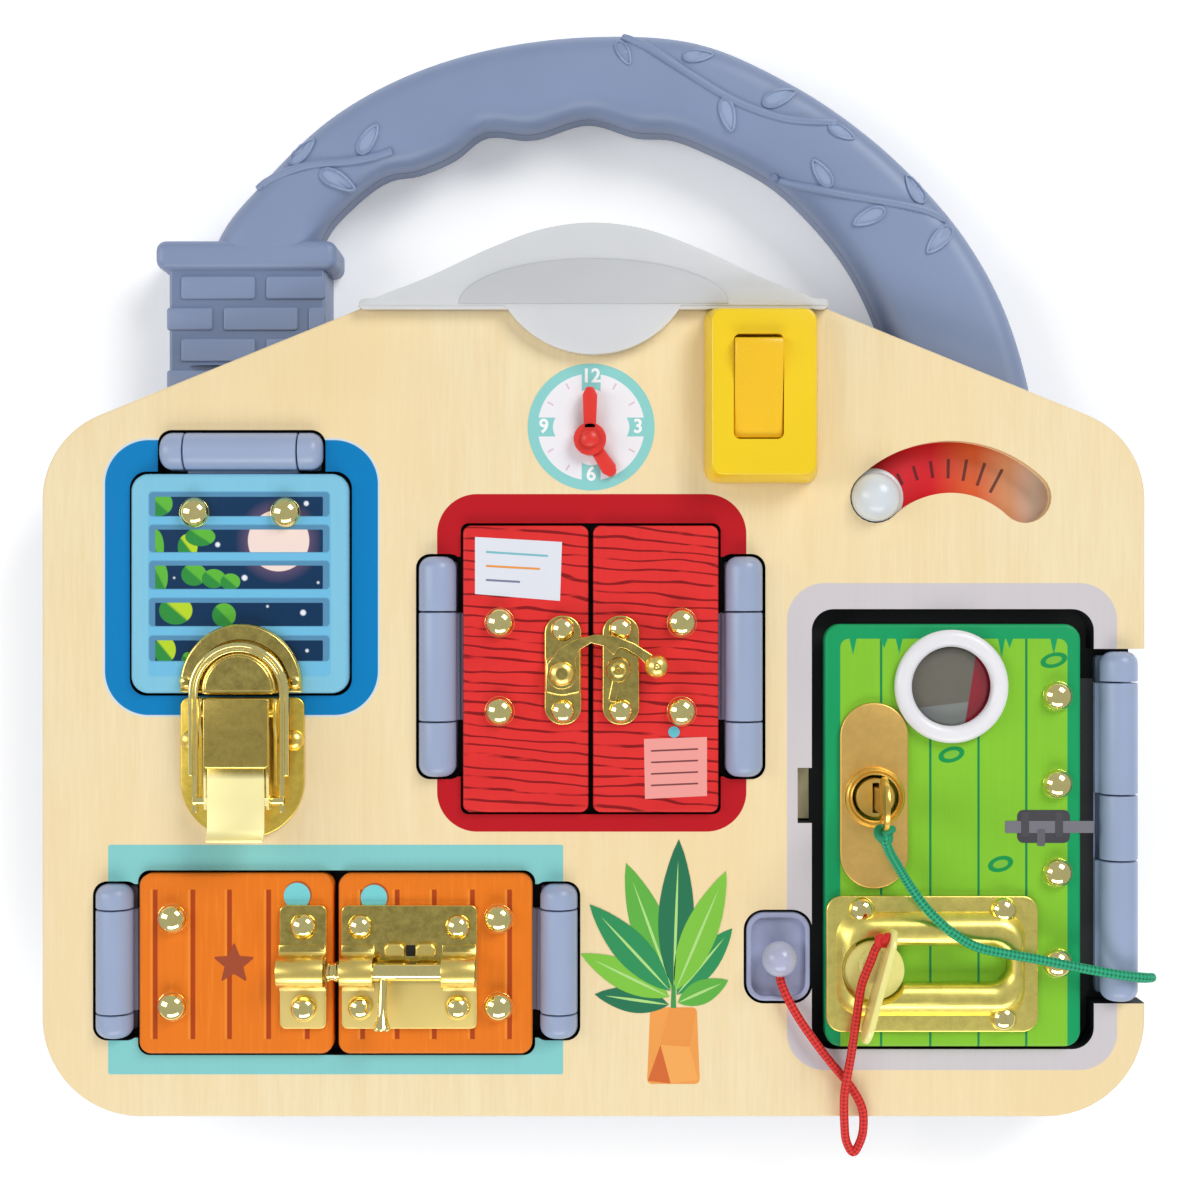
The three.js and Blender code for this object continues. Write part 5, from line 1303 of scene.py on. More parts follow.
for name, body, x, y, turn, half, inner, across, apart in (
    ("window", "window_door", -89.3, 168.9, -90, 20.6, 14.4, 15.6, 11.5),
    ("left_shutter", "left_shutter", -39.6, 114.3, 0, 27.9, 13.9, 15.9, 11.2),
    ("right_shutter", "right_shutter", 38.2, 114.3, 180, 27.9, 13.9, 15.9, 11.2),
    ("left_cupboard", "left_cupboard", -121.6, 39.6, 0, 19.5, 13.2, 15.2, 11.1),
    ("right_cupboard", "right_cupboard", -8.8, 39.6, 180, 19.5, 13.2, 15.2, 11.1),
):
    hinge_pair(name, body, x, y, turn, half, [(-inner, inner)], [(across, -apart), (across, apart)])
ENTRY_LENGTH = 118.1 - 29.5
entry_moving = sorted(
    (ENTRY_LENGTH * (0.5 - b), ENTRY_LENGTH * (0.5 - a))
    for a, b in ((0.077, 0.403), (0.591, 0.913))
)
entry_rivets = [(16.2, ENTRY_LENGTH * (0.5 - share)) for share in (0.126, 0.377, 0.63, 0.888)]
hinge_pair(
    "entry", "entry_door", 133.4, 73.8, 180, ENTRY_LENGTH / 2, entry_moving,
    [(x, -y) for x, y in entry_rivets],
)
# A thin black sheet over the entry hinge's leaf beside the knuckles makes it dark: painted shade for the leaf
# that lies low under the door.
shade = sheet("cover", oblong(121.0, 127.6, 36.5, 111.2, 0.5, 2), LEAF_TOP + 0.03, LEAF_TOP + 0.13)
dress(shade, "entry_leaf_cover", "entry_door", black_paint_and_shade)

# %% [markdown]
# ## Doors
# The doors are 5 mm boards, painted and printed. Their outlines are simple, so the
# work is in the print: louvres on the window, planks on the cupboards and on the
# entry, wavy grain on the shutters. Each print is drawn in its material from the
# places of its lines.

# %% Blue window door
def lines_mask(recipe, along, at, half_width, soft=0.15):
    """1 on narrow lines at the given places along an axis."""
    mask = None
    for place in at:
        line = (half_width - abs(along - place)).edge(soft)
        mask = line if mask is None else mask.most(line)
    return mask


def painted(recipe, colour, at, strength=0.06):
    """Opaque paint on wood, with a hint of the grain and of the brush."""
    grain = recipe.noise(at, (1.1, 20.0, 2.0), 4.0, 0.6)
    cloud = recipe.noise(at, 14.0, 2.0)
    dark, light = toned(colour, 1 - strength * 2.2), toned(colour, 1 + strength)
    return recipe.mix(grain * 0.6 + cloud * 0.4, dark, light), grain


STARS = (
    (-72.6, 155.6, 0.6), (-95.0, 145.2, 0.6), (-88.2, 136.8, 0.7), (-69.6, 135.6, 0.3), (-82.4, 129.6, 0.3),
    (-73.4, 128.0, 0.7), (-106, 136.8, 0.25), (-72.4, 118.4, 0.4),
)
# Middle, half width, half height, and 1 where the light side is yellow
SKY_LEAVES = (
    (-110.0, 155.6, 3.6, 3.2, 0), (-111.0, 144.6, 2.4, 4.6, 0), (-102.6, 144.6, 2.5, 3.3, 1),
    (-99.4, 147.2, 3.8, 2.4, 0), (-109.8, 137.0, 2.2, 4.2, 0), (-101.0, 137.6, 3.2, 2.8, 0),
    (-96.0, 136.6, 3.0, 2.4, 0), (-91.8, 135.8, 2.5, 2.1, 0), (-105.6, 128.6, 4.2, 3.6, 1),
    (-93.4, 127.4, 3.0, 3.0, 0), (-108.4, 118.6, 2.8, 3.4, 1), (-102.6, 115.8, 1.6, 2.2, 0),
)


def night_sky(recipe, x, y):
    """A plain full moon and a few stars on dark blue."""
    sky = recipe.mix(((y - 112) / 46).clamped(), ink(8, 48, 84), ink(14, 52, 88))
    moon = distance(x - -79.6, y - 146.2)
    sky = recipe.mix(((11.0 - moon) / 3.4).clamped() * 0.35, sky, ink(150, 110, 140))
    sky = recipe.mix((7.75 - moon).edge(0.2), sky, ink(246, 222, 212))
    for cx, cy, size in STARS:
        sky = recipe.mix((size - distance(x - cx, y - cy)).edge(0.4), sky, ink(236, 240, 248))
    for cx, cy, wide, high, bright in SKY_LEAVES:
        reach = distance((x - cx) / wide, (y - cy) / high)
        lit = ink(186, 216, 44) if bright else ink(96, 184, 60)
        green = recipe.mix((((x - cx) / wide + (y - cy) / high) * 4 + 0.5).clamped(), ink(48, 142, 62), lit)
        sky = recipe.mix((1.0 - reach).edge(0.05), sky, green)
    return sky


def window_finish():
    recipe = Recipe("blue_door_paint", Specular_IOR_Level=PAINT_SHINE)
    x, y, _ = at = recipe.places()
    base, grain = painted(recipe, ink(132, 200, 226), at, 0.04)
    inset = recipe.card(x, y, -112.6, -66.4, 111.9, 158.7, 1.2)
    pane = recipe.mix(inset, base, recipe.mix(grain * 0.5, ink(110, 188, 226), ink(124, 196, 230)))
    night = night_sky(recipe, x, y)
    for top, foot in ((157.3, 152.4), (149.0, 143.3), (139.9, 134.0), (130.5, 124.6), (121.0, 115.8)):
        shade = recipe.card(x, y, -112.4, -66.7, foot - 0.1, top + 1.25, 1.0, 0.4)
        pane = recipe.mix(shade, pane, ink(88, 144, 180))
        dark = recipe.card(x, y, -110.8, -68.4, foot, top, 0.3)
        pane = recipe.mix(dark, pane, night)
    recipe.drive(Base_Color=pane, Roughness=0.4 + grain * 0.1)
    recipe.bump(grain, 0.25, 0.03 * MM)
    return recipe.material


def panel(name, body, left, right, foot, top, corner, finish, node, rim=0.9):
    piece = sheet(name, oblong(left, right, foot, top, corner), DOOR_BACK, DOOR_FACE, rim, 4, 0.3)
    return dress(piece, name, body, finish, (node,), 40)


panel(
    "window_door_panel", "window_door", -117, -62, 107.6, 163.1, 4.3, window_finish(), "window_panel",
    1.1,
)

# %% Red shutters
def shutter_finish():
    recipe = Recipe("red_door_paint", Specular_IOR_Level=PAINT_SHINE)
    x, y, z = at = recipe.places()
    base, grain = painted(recipe, ink(230, 50, 48), at, 0.05)
    drift = recipe.noise(at, (26.0, 7.0, 9.0), 2.0)
    fade = recipe.noise((x + 40, y, z), (14.0, 3.0, 5.0), 2.0)
    wave = (y + x * 0.07 + drift * 5.0) / 2.75
    across = abs(wave.fraction() - 0.5)
    line = (0.1 - across).edge(0.05) * ((fade - 0.33) * 9.0).clamped()
    patch = recipe.noise(at, (30.0, 16.0, 9.0), 1.0)
    base = recipe.mix(((patch - 0.5) * 3.0).clamped() * 0.5, base, ink(204, 26, 36))
    recipe.drive(Base_Color=recipe.mix(line * 0.9, base, ink(124, 8, 16)), Roughness=0.42 + grain * 0.1)
    recipe.bump(grain * 0.6 - line * 0.4, 0.3, 0.05 * MM)
    return recipe.material


shutter_paint = shutter_finish()
for body, left, right in (("left_shutter", -33.0, -1.3), ("right_shutter", -0.1, 31.6)):
    panel(f"{body}_door", body, left, right, 77.5, 150.0, 2.0, shutter_paint, f"{body}_panel", 0.7)

# %% Orange cupboard doors
def plank_finish(name, colour, light_edge, groove, lines, foot, top, width=0.55):
    recipe = Recipe(name, Specular_IOR_Level=PAINT_SHINE)
    x, y, _ = at = recipe.places()
    base, grain = painted(recipe, colour, at, 0.07)
    base = recipe.mix(((grain - 0.55) * 3.0).clamped() * 0.5, base, light_edge)
    inside = (y - foot).edge(0.2) * (top - y).edge(0.2)
    seam = lines_mask(recipe, x, lines, width) * inside
    glow = lines_mask(recipe, x, [p - width - 0.35 for p in lines], 0.3, 0.4) * inside
    base = recipe.mix(glow * 0.45, base, light_edge)
    recipe.drive(Base_Color=recipe.mix(seam, base, groove), Roughness=0.44 + grain * 0.1)
    recipe.bump(grain * 0.4 - seam * 1.2, 0.35, 0.12 * MM)
    return recipe.material


cupboard_paint = plank_finish(
    "orange_door_paint", ink(240, 124, 26), ink(255, 160, 62), ink(176, 66, 14),
    [photo_x(p) for p in (157, 194.5, 231, 270, 308.5, 363.6, 398, 435, 473, 510)], 20.2, 58.0, 0.6,
)
for body, left, right in (("left_cupboard", -114.9, -65.9), ("right_cupboard", -64.5, -15.5)):
    panel(f"{body}_door", body, left, right, 16.4, 61.9, 3.0, cupboard_paint, f"{body}_panel")

# %% [markdown]
# The entry door is the largest. Its print has a dark green border, light planks
# with ragged upper ends, and three knots in the wood. Two holes go through it,
# one for the lock and a stepped one for the porthole.

# %% Green entry door
def entry_finish():
    recipe = Recipe("green_door_paint", Specular_IOR_Level=PAINT_SHINE)
    x, y, _ = at = recipe.places()
    base, grain = painted(recipe, ink(136, 202, 52), at, 0.05)
    border, _ = painted(recipe, ink(22, 160, 98), at, 0.04)
    field = recipe.card(x, y, 62.4, 119.8, 10.0, 121.4, 2.2)
    for px, depth in ((852, 4.2), (883, 2.4), (898, 3.8), (1000, 4.8), (1008, 2.4), (1052, 4.2)):
        spike = (((121.4 - y) / depth - 1.0) * 0.9 + abs(x - photo_x(px))) / 0.15
        field = field * (spike + 0.5).clamped()
    colour = recipe.mix(field, border, base)
    seams = [photo_x(p) for p in (880, 929, 977, 1024.6)]
    seam = lines_mask(recipe, x, seams, 0.3, 0.14) * field
    colour = recipe.mix(seam, colour, ink(20, 136, 76))
    for px, py, wide, high in ((1052, 660, 3.4, 1.9), (950, 754, 3.3, 2.0), (999, 863, 3.2, 2.0)):
        cx, cy = photo_x(px), photo_y(py)
        lean = (x - cx) * 0.18
        reach = distance((x - cx) / wide, (y - cy - lean) / high)
        colour = recipe.mix((1.0 - reach).edge(0.06), colour, ink(22, 148, 76))
        reach = distance((x - cx) / (wide * 0.6), (y - cy - lean) / (high * 0.52))
        colour = recipe.mix((1.0 - reach).edge(0.1), colour, ink(124, 190, 60))
    recipe.drive(Base_Color=colour, Roughness=0.38 + grain * 0.1)
    recipe.bump(grain * 0.5 - seam * 0.8, 0.3, 0.06 * MM)
    return recipe.material


LOCK_X, LOCK_Y = 70.8, 81.6
PORTHOLE = (90.3, 109.4)
entry_panel = sheet("entry", oblong(58.5, 123.2, 18.2, 125.1, 4.0), DOOR_BACK, DOOR_FACE, 0.9, 4, 0.3)
carve(entry_panel, sheet("lock_hole", ring_of(LOCK_X, LOCK_Y, 5.3), 24, 31))
carve(entry_panel, sheet("porthole", ring_of(*PORTHOLE, 10.0, 64), 24, 31))
carve(entry_panel, sheet("ledge", ring_of(*PORTHOLE, 11.4, 64), 28, 31))
dress(entry_panel, "entry_door_panel", "entry_door", entry_finish(), ("entry_panel",), 40)

# %% [markdown]
# ## Metal plates and domes
# All plates are thin pressed brass with polished domed nails. A plate's edge gets
# a small round and a lighter brass, a painted highlight that draws the bright line
# along it. A dome is a turned cap.

# %% Domes
def dome_on(x, y, z, radius=3.4, height=2.6):
    cap_piece = turned("dome", arc_profile(radius, height, -0.25, 12), (0, 0, 0), 36)
    return set_at(cap_piece, (x, y, z))


def domes(name, body, places, radius=3.4, height=2.6):
    piece = join(name, *(dome_on(x, y, PLATE_FACE, radius, height) for x, y in places))
    return dress(piece, name, body, dome_brass, angle=40)


# %% Lock plate, cylinder and key
plate = sheet("plate", oblong(62.2, 79.4, 58.4, 105.3, 8.5, 18), PLATE_BACK, PLATE_FACE, 0.4, 4)
profile = [(5.8, -0.5), (7.6, -0.5), (7.6, 1.6), (7.35, 2.25), (6.9, 2.6)]
profile += [(6.75, 2.35), (6.5, 2.2), (6.3, 2.5), (6.0, 2.75), (5.8, 2.6)]
collar = turned("collar", profile, (LOCK_X, LOCK_Y, PLATE_FACE), 56, closed=True)
carve(plate, sheet("bore", ring_of(LOCK_X, LOCK_Y, 5.8, 56), 30, 32))
dress(
    join("plate", plate, collar), "lock_face", "entry_door", satin_brass, ("lock_plate",), 35,
)
second_finish(bpy.data.objects["lock_face"], lock_brass, lambda f: f.center.z > (PLATE_FACE + 0.1) * MM)

plug = turned("plug", [(0, 24.4), (4.9, 24.4), (4.9, 33.9), (4.6, 34.25), (0, 34.3)], (LOCK_X, LOCK_Y, 0), 48)
carve(plug, sheet("keyway", oblong(LOCK_X - 0.85, LOCK_X + 0.85, LOCK_Y - 3.8, LOCK_Y + 3.8, 0.2, 2), 25, 36))
cam = sheet("cam", oblong(LOCK_X - 3, LOCK_X + 3, LOCK_Y - 16.1, LOCK_Y + 3, 1.2, 5), 22.9, 24.7, 0.3, 2)
dress(join("plug", plug, cam), "lock_plug", "key_lock", lock_brass, ("lock_cylinder",), 35)
print("lock ready")


SIDEWAYS = Matrix(((0, 0, 1, 0), (1, 0, 0, 0), (0, 1, 0, 0), (0, 0, 0, 1)))


def side_sheet(name, outline, left, right, rim=0.0, steps=2):
    """A flat piece that stands across the board: its outline is in (y, z), its thickness runs along x."""
    piece = sheet(name, outline, left, right, rim, steps, rim)
    return set_at(piece, (0, 0), SIDEWAYS)


def cross_rod(name, left, right, y, z, radius, edge=0.2, steps=28):
    """A round bar along x."""
    length = right - left
    profile = [
        (0, 0), (radius - edge, 0), (radius, edge), (radius, length - edge), (radius - edge, length),
        (0, length),
    ]
    return set_at(turned(name, profile, (0, 0, 0), steps), (left, y, z), rotation(90, "Y"))


def key_shape():
    """The key stands out of the lock, edge on to the camera."""
    radius, half_blade = 6.6, 2.9
    bow_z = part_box("key")[1].z / MM - radius
    cuts = [
        (-0.3, 25.4), (3.0, 25.9), (2.4, 27.4), (3.0, 28.6), (2.1, 30.0), (2.9, 31.6), (2.3, 33.0),
        (2.9, 34.6),
    ]
    neck = math.degrees(math.asin(half_blade / radius))
    bow = arc(0, bow_z, radius, neck - 90, 270 - neck, 36)
    shoulder = bow_z - radius - 1.0
    outline = [*cuts, (half_blade, shoulder), *bow, (-half_blade, shoulder), (-half_blade, 26.4)]
    piece = side_sheet("key", [(LOCK_Y + y, z) for y, z in outline], LOCK_X - 0.55, LOCK_X + 0.55, 0.15)
    return carve(piece, cross_rod("hole", LOCK_X - 2, LOCK_X + 2, LOCK_Y - 3.9, bow_z, 1.5))


dress(key_shape(), "door_key", "key_lock", key_brass, ("key",), 35)

# %% [markdown]
# ## Slot latch
# The plate of the sliding latch is pressed up into a broad, soft ridge round its
# slot. The ridge is one skin over nested rings, which climb from the plate to the
# crest and fall again to the slot's edge.

# %% Pressed ridge
def ladder(name, outlines):
    """A closed skin through outlines with equal point counts, each (points, height), back to the first."""
    outlines = [*outlines, outlines[0]]
    piece = skin(name, [[spot(x, y, height) for x, y in [*points, points[0]]] for points, height in outlines])
    bpy.ops.object.mode_set(mode="EDIT")
    seal()
    return piece


def slot_ring(share):
    """An outline between the ridge's foot (0) and the slot's edge (1)."""
    left, right = 61.2 + share * (70.8 - 61.2), 108.8 - share * (108.8 - 104.4)
    foot, top = 26.4 + share * (34.7 - 26.4), 52.6 - share * (52.6 - 44.1)
    radius = min(6.4 - share * 1.9, (top - foot) / 2 - 0.01)
    return oblong(left, right, foot, top, radius, 12)


def ridge_rows():
    """Climbs to a flat crest, then dips round into the slot."""
    rows = []
    for share, height in (
        (0.0, -0.2), (0.0, 0.02), (0.03, 0.35), (0.08, 0.95), (0.15, 1.75), (0.23, 2.45), (0.32, 2.95),
        (0.43, 3.2), (0.58, 3.2), (0.72, 3.0), (0.84, 2.55), (0.93, 1.9), (0.98, 1.2), (1.0, 0.6),
        (1.0, -0.9),
    ):
        rows.append((slot_ring(share), PLATE_FACE + height))
    return rows


slot_plate = sheet("plate", oblong(58.7, 112.2, 22.2, 56.6, 4.0, 12), PLATE_BACK, PLATE_FACE, 0.4, 4)
carve(slot_plate, sheet("hollow", slot_ring(0.5), 29, 33))
bare_ridge = ladder("ridge", ridge_rows())
carve(
    bare_ridge,
    turned(
        "entry", [(0, -5), (8.1, -5), (8.1, 1.2), (8.6, 2.4), (9.6, 6), (0, 6)], (70.8, 38.2, PLATE_FACE), 56,
    ),
)
dress(
    join("plate", slot_plate, bare_ridge), "slot_latch_plate", "entry_door", soft_brass,
    ("slot_plate",), 40,
)
# The plate's rounded outer edges get the lighter brass: painted highlight.
second_finish(
    bpy.data.objects["slot_latch_plate"], rim_highlight_brass,
    lambda f: abs(f.normal.z) < 0.93 and f.center.z < (PLATE_FACE + 0.01) * MM,
)
domes("slot_latch_domes", "entry_door", [(67.7, 53.0), (103.4, 53.0), (103.4, 25.8)], 3.3, 2.5)

# %% [markdown]
# Its slider is a clear amber plastic button with a tall wing to grip. The disc
# runs under the ridge's edge, and the wing is a rounded fin that stands across the
# slot, turned a little, where the red cord's knot holds on to it.

# %% Amber slider
WING_FOOT, WING_TOP, WING_HALF, WING_THICK, WING_TURN = 34.9, 45.9, 14.5, 1.6, 75.0


def slider():
    disc = turned(
        "disc", [(0, 0), (7.2, 0), (7.5, 0.3), (7.5, 1.5), (7.2, 1.8), (0, 1.9)], (70.8, 38.0, 30.6), 56,
    )
    neck = turned("neck", [(0, 1.5), (4.2, 1.5), (4.2, 5.3), (3.7, 5.8), (0, 5.9)], (70.8, 39.4, 30.6), 40)
    wing = side_sheet(
        "wing", oblong(-WING_HALF, WING_HALF, WING_FOOT, WING_TOP, 5.2, 12), -WING_THICK / 2, WING_THICK / 2,
        0.5, 4,
    )
    set_at(wing, (70.8, 35.5), rotation(WING_TURN - 90, "Z"))
    return join("slider", disc, neck, wing)


dress(slider(), "slot_latch_slider", "slot_slide", slider_amber, ("slot_slider",), 40)
print("slot latch ready")

# %% [markdown]
# ## Hook latch
# Two upright plates sit side by side on the shutters. The left one is pressed up
# into a step that carries the pivot, and the right one carries the post. The arm
# is one flat stamping whose lower edge has a tooth that drops behind the post.

# %% Hook plates
HOOK_X, HOOK_Y, POST_X, POST_Y = -7.9, 112.8, 6.3, 113.6
for name, body, x, node in (
    ("hook", "left_shutter", -7.7, "hook_plate"), ("post", "right_shutter", 6.9, "post_plate"),
):
    parts = [sheet("plate", oblong(x - 4.65, x + 4.65, 99.7, 127.3, 4.4, 12), PLATE_BACK, PLATE_FACE, 0.4, 4)]
    if name == "hook":
        outline = [(-12.2, 107.9), (-8.0, 106.9), (-3.2, 107.9), (-3.2, 119.2), (-12.2, 116.4)]
        parts.append(sheet("step", rounded(outline, [0.8, 6, 0.8, 0.8, 0.8], 6), 31, 32.9, 0.6, 4))
        profile = [(0, 0), (1.3, 0), (1.3, 2.75), (3.1, 2.8), (3.0, 3.3), (2.5, 3.9), (1.5, 4.3), (0, 4.45)]
        parts.append(turned("pin", profile, (HOOK_X, HOOK_Y, 32), 36))
    else:
        profile = [(0, 0), (3.2, 0), (3.2, 1.5), (2.9, 2.1), (2.0, 2.3), (1.9, 2.5), (1.9, 3.7)]
        profile += [(1.4, 4.2), (0.7, 4.3), (0.4, 3.9), (0, 3.9)]
        parts.append(turned("post", profile, (POST_X, POST_Y, PLATE_FACE), 40))
        tail = sheet("tail", oblong(-1.0, 1.0, -8.2, -1.2, 0.5, 4), 32.0, 32.9, 0.3, 3)
        parts.append(set_at(tail, (POST_X, POST_Y), rotation(-12, "Z")))
    dress_plate(join(name, *parts), f"{name}_latch_plate", body, polished_brass, node)
    domes(f"{name}_latch_domes", body, [(x, 113.5 + 10.3), (x, 113.5 - 10.3)], 3.0, 1.9)


# %% Hook arm
def hook_outline():
    """Out along the upper edge from the hub, back along the lower one round the tooth."""
    upper = [
        (-11.6, 115.2), (-8.6, 119.0), (-4.2, 121.4), (0.6, 122.6), (5.4, 122.2), (10.2, 120.4),
        (14.6, 117.6), (16.6, 115.6),
    ]
    lower = [
        (14.2, 114.0), (11.4, 116.9), (8.2, 118.9), (6.6, 119.3), (6.0, 118.6), (5.2, 117.2), (2.6, 119.6),
        (-0.6, 120.4), (-3.6, 118.6), (-4.6, 116.0), (-4.0, 113.2),
    ]
    return [*upper, *lower, *arc(HOOK_X, HOOK_Y, 4.0, -15, -165, 12)][::-1]


arm = sheet(
    "arm", rounded(hook_outline(), [0.0] + [0.25] * 12 + [0.5] * 6 + [0.0] * 13, 3), 33.4, 34.7, 0.35, 3,
)
ball_centre = (15.9, 114.6, 34.7)
ball = turned("ball", arc(0, 0, 3.0, -90, 90, 20), ball_centre, 36)
carve(arm, turned("bore", [(0, -2), (1.7, -2), (1.7, 4), (0, 4)], (HOOK_X, HOOK_Y, 33), 28))
carve(ball, turned("dimple", [(0, 2.5), (0.9, 3.2), (0.9, 4), (0, 4)], ball_centre, 20))
dress_plate(join("arm", arm, ball), "hook_latch_arm", "hook", polished_brass, "hook_arm")
print("hook latch ready")

# %% [markdown]
# ## Barrel bolt
# A keeper on the left door and a guide on the right one, both bent from brass
# strip: the strip stays flat for the nails and rises into a half barrel that holds
# the rod. The half barrel is drawn as a section and pulled along the rod.

# %% Bolt straps
BOLT_Y, BOLT_Z, STRAP_OUTER, STRAP_BORE = 38.0, 34.2, 3.9, 3.1


def strap(name, left, right):
    """The raised half barrel, with a flared foot where the strip bends up."""
    foot = PLATE_FACE - 0.2
    near, far = BOLT_Y - STRAP_OUTER, BOLT_Y + STRAP_OUTER
    outline = [
        (near - 1.6, foot), (near - 1.5, foot + 0.35), (near - 0.5, foot + 0.6), (near, foot + 1.4),
        *arc(BOLT_Y, BOLT_Z, STRAP_OUTER, 180, 0, 20), (far, foot + 1.6), (far + 0.7, foot + 0.9),
        (far + 2.3, foot + 0.5), (far + 2.5, foot), (BOLT_Y + STRAP_BORE, foot),
        *arc(BOLT_Y, BOLT_Z, STRAP_BORE, 0, 180, 20), (BOLT_Y - STRAP_BORE, foot),
    ]
    return side_sheet(name, outline, left, right, 0.22, 2)


keeper = sheet("plate", oblong(-79.2, -67.3, 23.0, 54.2, 1.6, 5), PLATE_BACK, PLATE_FACE, 0.35, 3)
keeper = join("keeper", keeper, strap("strap", -79.3, -67.5))
# The raised strap and rounded edges get the lighter brass: painted highlight.
dress_plate(keeper, "bolt_keeper_plate", "left_cupboard", bolt_brass, "bolt_keeper", PLATE_FACE + 0.6)
domes("bolt_keeper_domes", "left_cupboard", [(-73.1, 38.6 + 10.3), (-73.1, 38.6 - 10.3)])

# %% Bolt guide
guide_plate = sheet("plate", oblong(-63.6, -29.3, 23.0, 54.2, 1.6, 5), PLATE_BACK, PLATE_FACE, 0.35, 3)
left_strap, right_strap = strap("left_strap", -63.5, -55.2), strap("right_strap", -38.1, -29.6)
way = side_sheet("way", oblong(BOLT_Y - 8, BOLT_Y - 0.5, BOLT_Z - 1.4, BOLT_Z + 2.2, 0.4, 3), -65, -55)
carve(left_strap, way)
parts = [guide_plate, left_strap, right_strap]
for x in (-50.0, -42.2):
    tab = [(-2.6, 41.6), (2.6, 41.6), (2.6, 43.9), (1.6, 44.9), (-1.6, 44.9), (-2.6, 43.9)]
    parts.append(sheet("tab", rounded([(x + across, y) for across, y in tab], 0.6, 4), 31.1, 33.6, 0.8, 4))
# The raised straps, tabs and rounded edges get the lighter brass: painted highlight.
dress_plate(
    join("guide", *parts), "bolt_guide_plate", "right_cupboard", bolt_brass, "bolt_guide", PLATE_FACE + 0.6,
)
domes(
    "bolt_guide_domes", "right_cupboard", [(-58.8, 48.8), (-34.2, 48.8), (-58.8, 28.5), (-34.2, 28.5)], 3.2,
    2.5,
)
# A thin black sheet on the guide between its tabs stands in for the shade in the opening there: painted
# shade.
guide_opening_shade = sheet("opening", oblong(-47.3, -44.9, 41.4, 44.2, 0.3, 3), 31.28, 31.33)
dress(guide_opening_shade, "bolt_guide_opening", "right_cupboard", black_paint_and_shade)

# %% Bolt rod and handle
rod = cross_rod("rod", -66.9, -31.2, BOLT_Y, BOLT_Z, 2.3, 0.5, 36)
collars = [
    cross_rod(f"collar_{i}", x, x + 0.9, BOLT_Y, BOLT_Z, 2.55, 0.25, 36)
    for i, x in enumerate((-66.7, -64.9))
]
profile = [
    (0, 0), (1.9, 0), (2.2, 0.35), (2.1, 1.0), (1.5, 2.6), (1.15, 4.4), (1.05, 8), (1.1, 12), (1.5, 14.6),
    (0, 14.6),
]
stick = turned("stick", profile, (0, 0, 0), 32)
lay = rotation(-13, "X") @ Matrix.Translation((0, -14.6 * MM, 0)) @ rotation(-90, "X")
set_at(stick, (-52.7, BOLT_Y, BOLT_Z), lay)
dress(join("rod", rod, stick, *collars), "bolt_bar", "bolt", dome_brass, ("bolt_rod",), 35)

# %% [markdown]
# ## Draw latch
# The latch under the window has a base on the board, a lever, a bail that the
# lever pulls down, and a catch on the window that the bail holds. The bail is a
# strip with two rounded ridges and a groove between them, as the bright and dark
# lines along it show.

# %% Arches
LATCH_X = -88.9


def arch(half, foot, top, steps=28):
    """An upright arch about the latch's centre line."""
    foot_line = [(LATCH_X - half, foot), (LATCH_X + half, foot)]
    return foot_line + arc(LATCH_X, top - half, half, 0, 180, steps)


def arch_strip(half, width, foot, top, steps=32):
    """A strip of even width that follows an arch and is open below."""
    points = []
    for radius, way in ((half, 1), (half - width, -1)):
        side = arc(LATCH_X, top - half, radius, 0, 180, steps)
        points += [(LATCH_X + radius, foot), *side, (LATCH_X - radius, foot)][::way]
    return points


# %% Catch on the window
catch_plate = sheet("catch", arch(15.4, 107.9, 125.2), PLATE_BACK, PLATE_FACE, 0.5, 4)
flange = sheet("flange", arch_strip(15.2, 4.2, 109.0, 125.0), 31.0, 32.2, 0.55, 4)
hump = sheet("hump", arch(9.3, 107.7, 117.9), 31.2, 34.9, 0.7, 4)
hump_face = sheet("hump_face", arch(8.5, 108.2, 117.2), 34.6, 35.5, 0.45, 3)
lip = cross_rod("lip", LATCH_X - 8.7, LATCH_X + 8.7, 108.2, 35.0, 0.65, 0.2, 20)
feet = [dome_on(LATCH_X + side * 13.6, 110.6, 31.4, 1.9, 1.5) for side in (-1, 1)]
catch = join("catch", catch_plate, flange, hump, hump_face, lip, *feet)
dress_plate(catch, "window_latch_catch", "window_door", polished_brass, "window_catch")

# %% Base on the board
outline = rounded([(-15.7, 70.9), (15.7, 70.9), (15.7, 106.6), (-15.7, 106.6)], [14.5, 14.5, 2.4, 2.4], 14)
outline = [(LATCH_X + x, y) for x, y in outline]
parts = [sheet("base", outline, 28.3, 29.3, 0.35, 3)]
for side in (-1, 1):
    cheek_x = LATCH_X + side * 9.35
    cheek = [
        (84.0, 29.2), (106.4, 29.2), (106.4, 35.6), (105.2, 36.7), (100, 36.7), (97.2, 35.4), (84.6, 34.6),
    ]
    parts.append(side_sheet("cheek", cheek, cheek_x - 0.45, cheek_x + 0.45, 0.2))
    parts.append(dome_on(LATCH_X + side * 13.0, 95.7, 29.3, 2.7, 2.2))
parts.append(cross_rod("pin", LATCH_X - 9.9, LATCH_X + 9.9, 102.8, 35.3, 1.1))
dress_plate(join("base", *parts), "draw_latch_base", "board", band_brass, "latch_base")

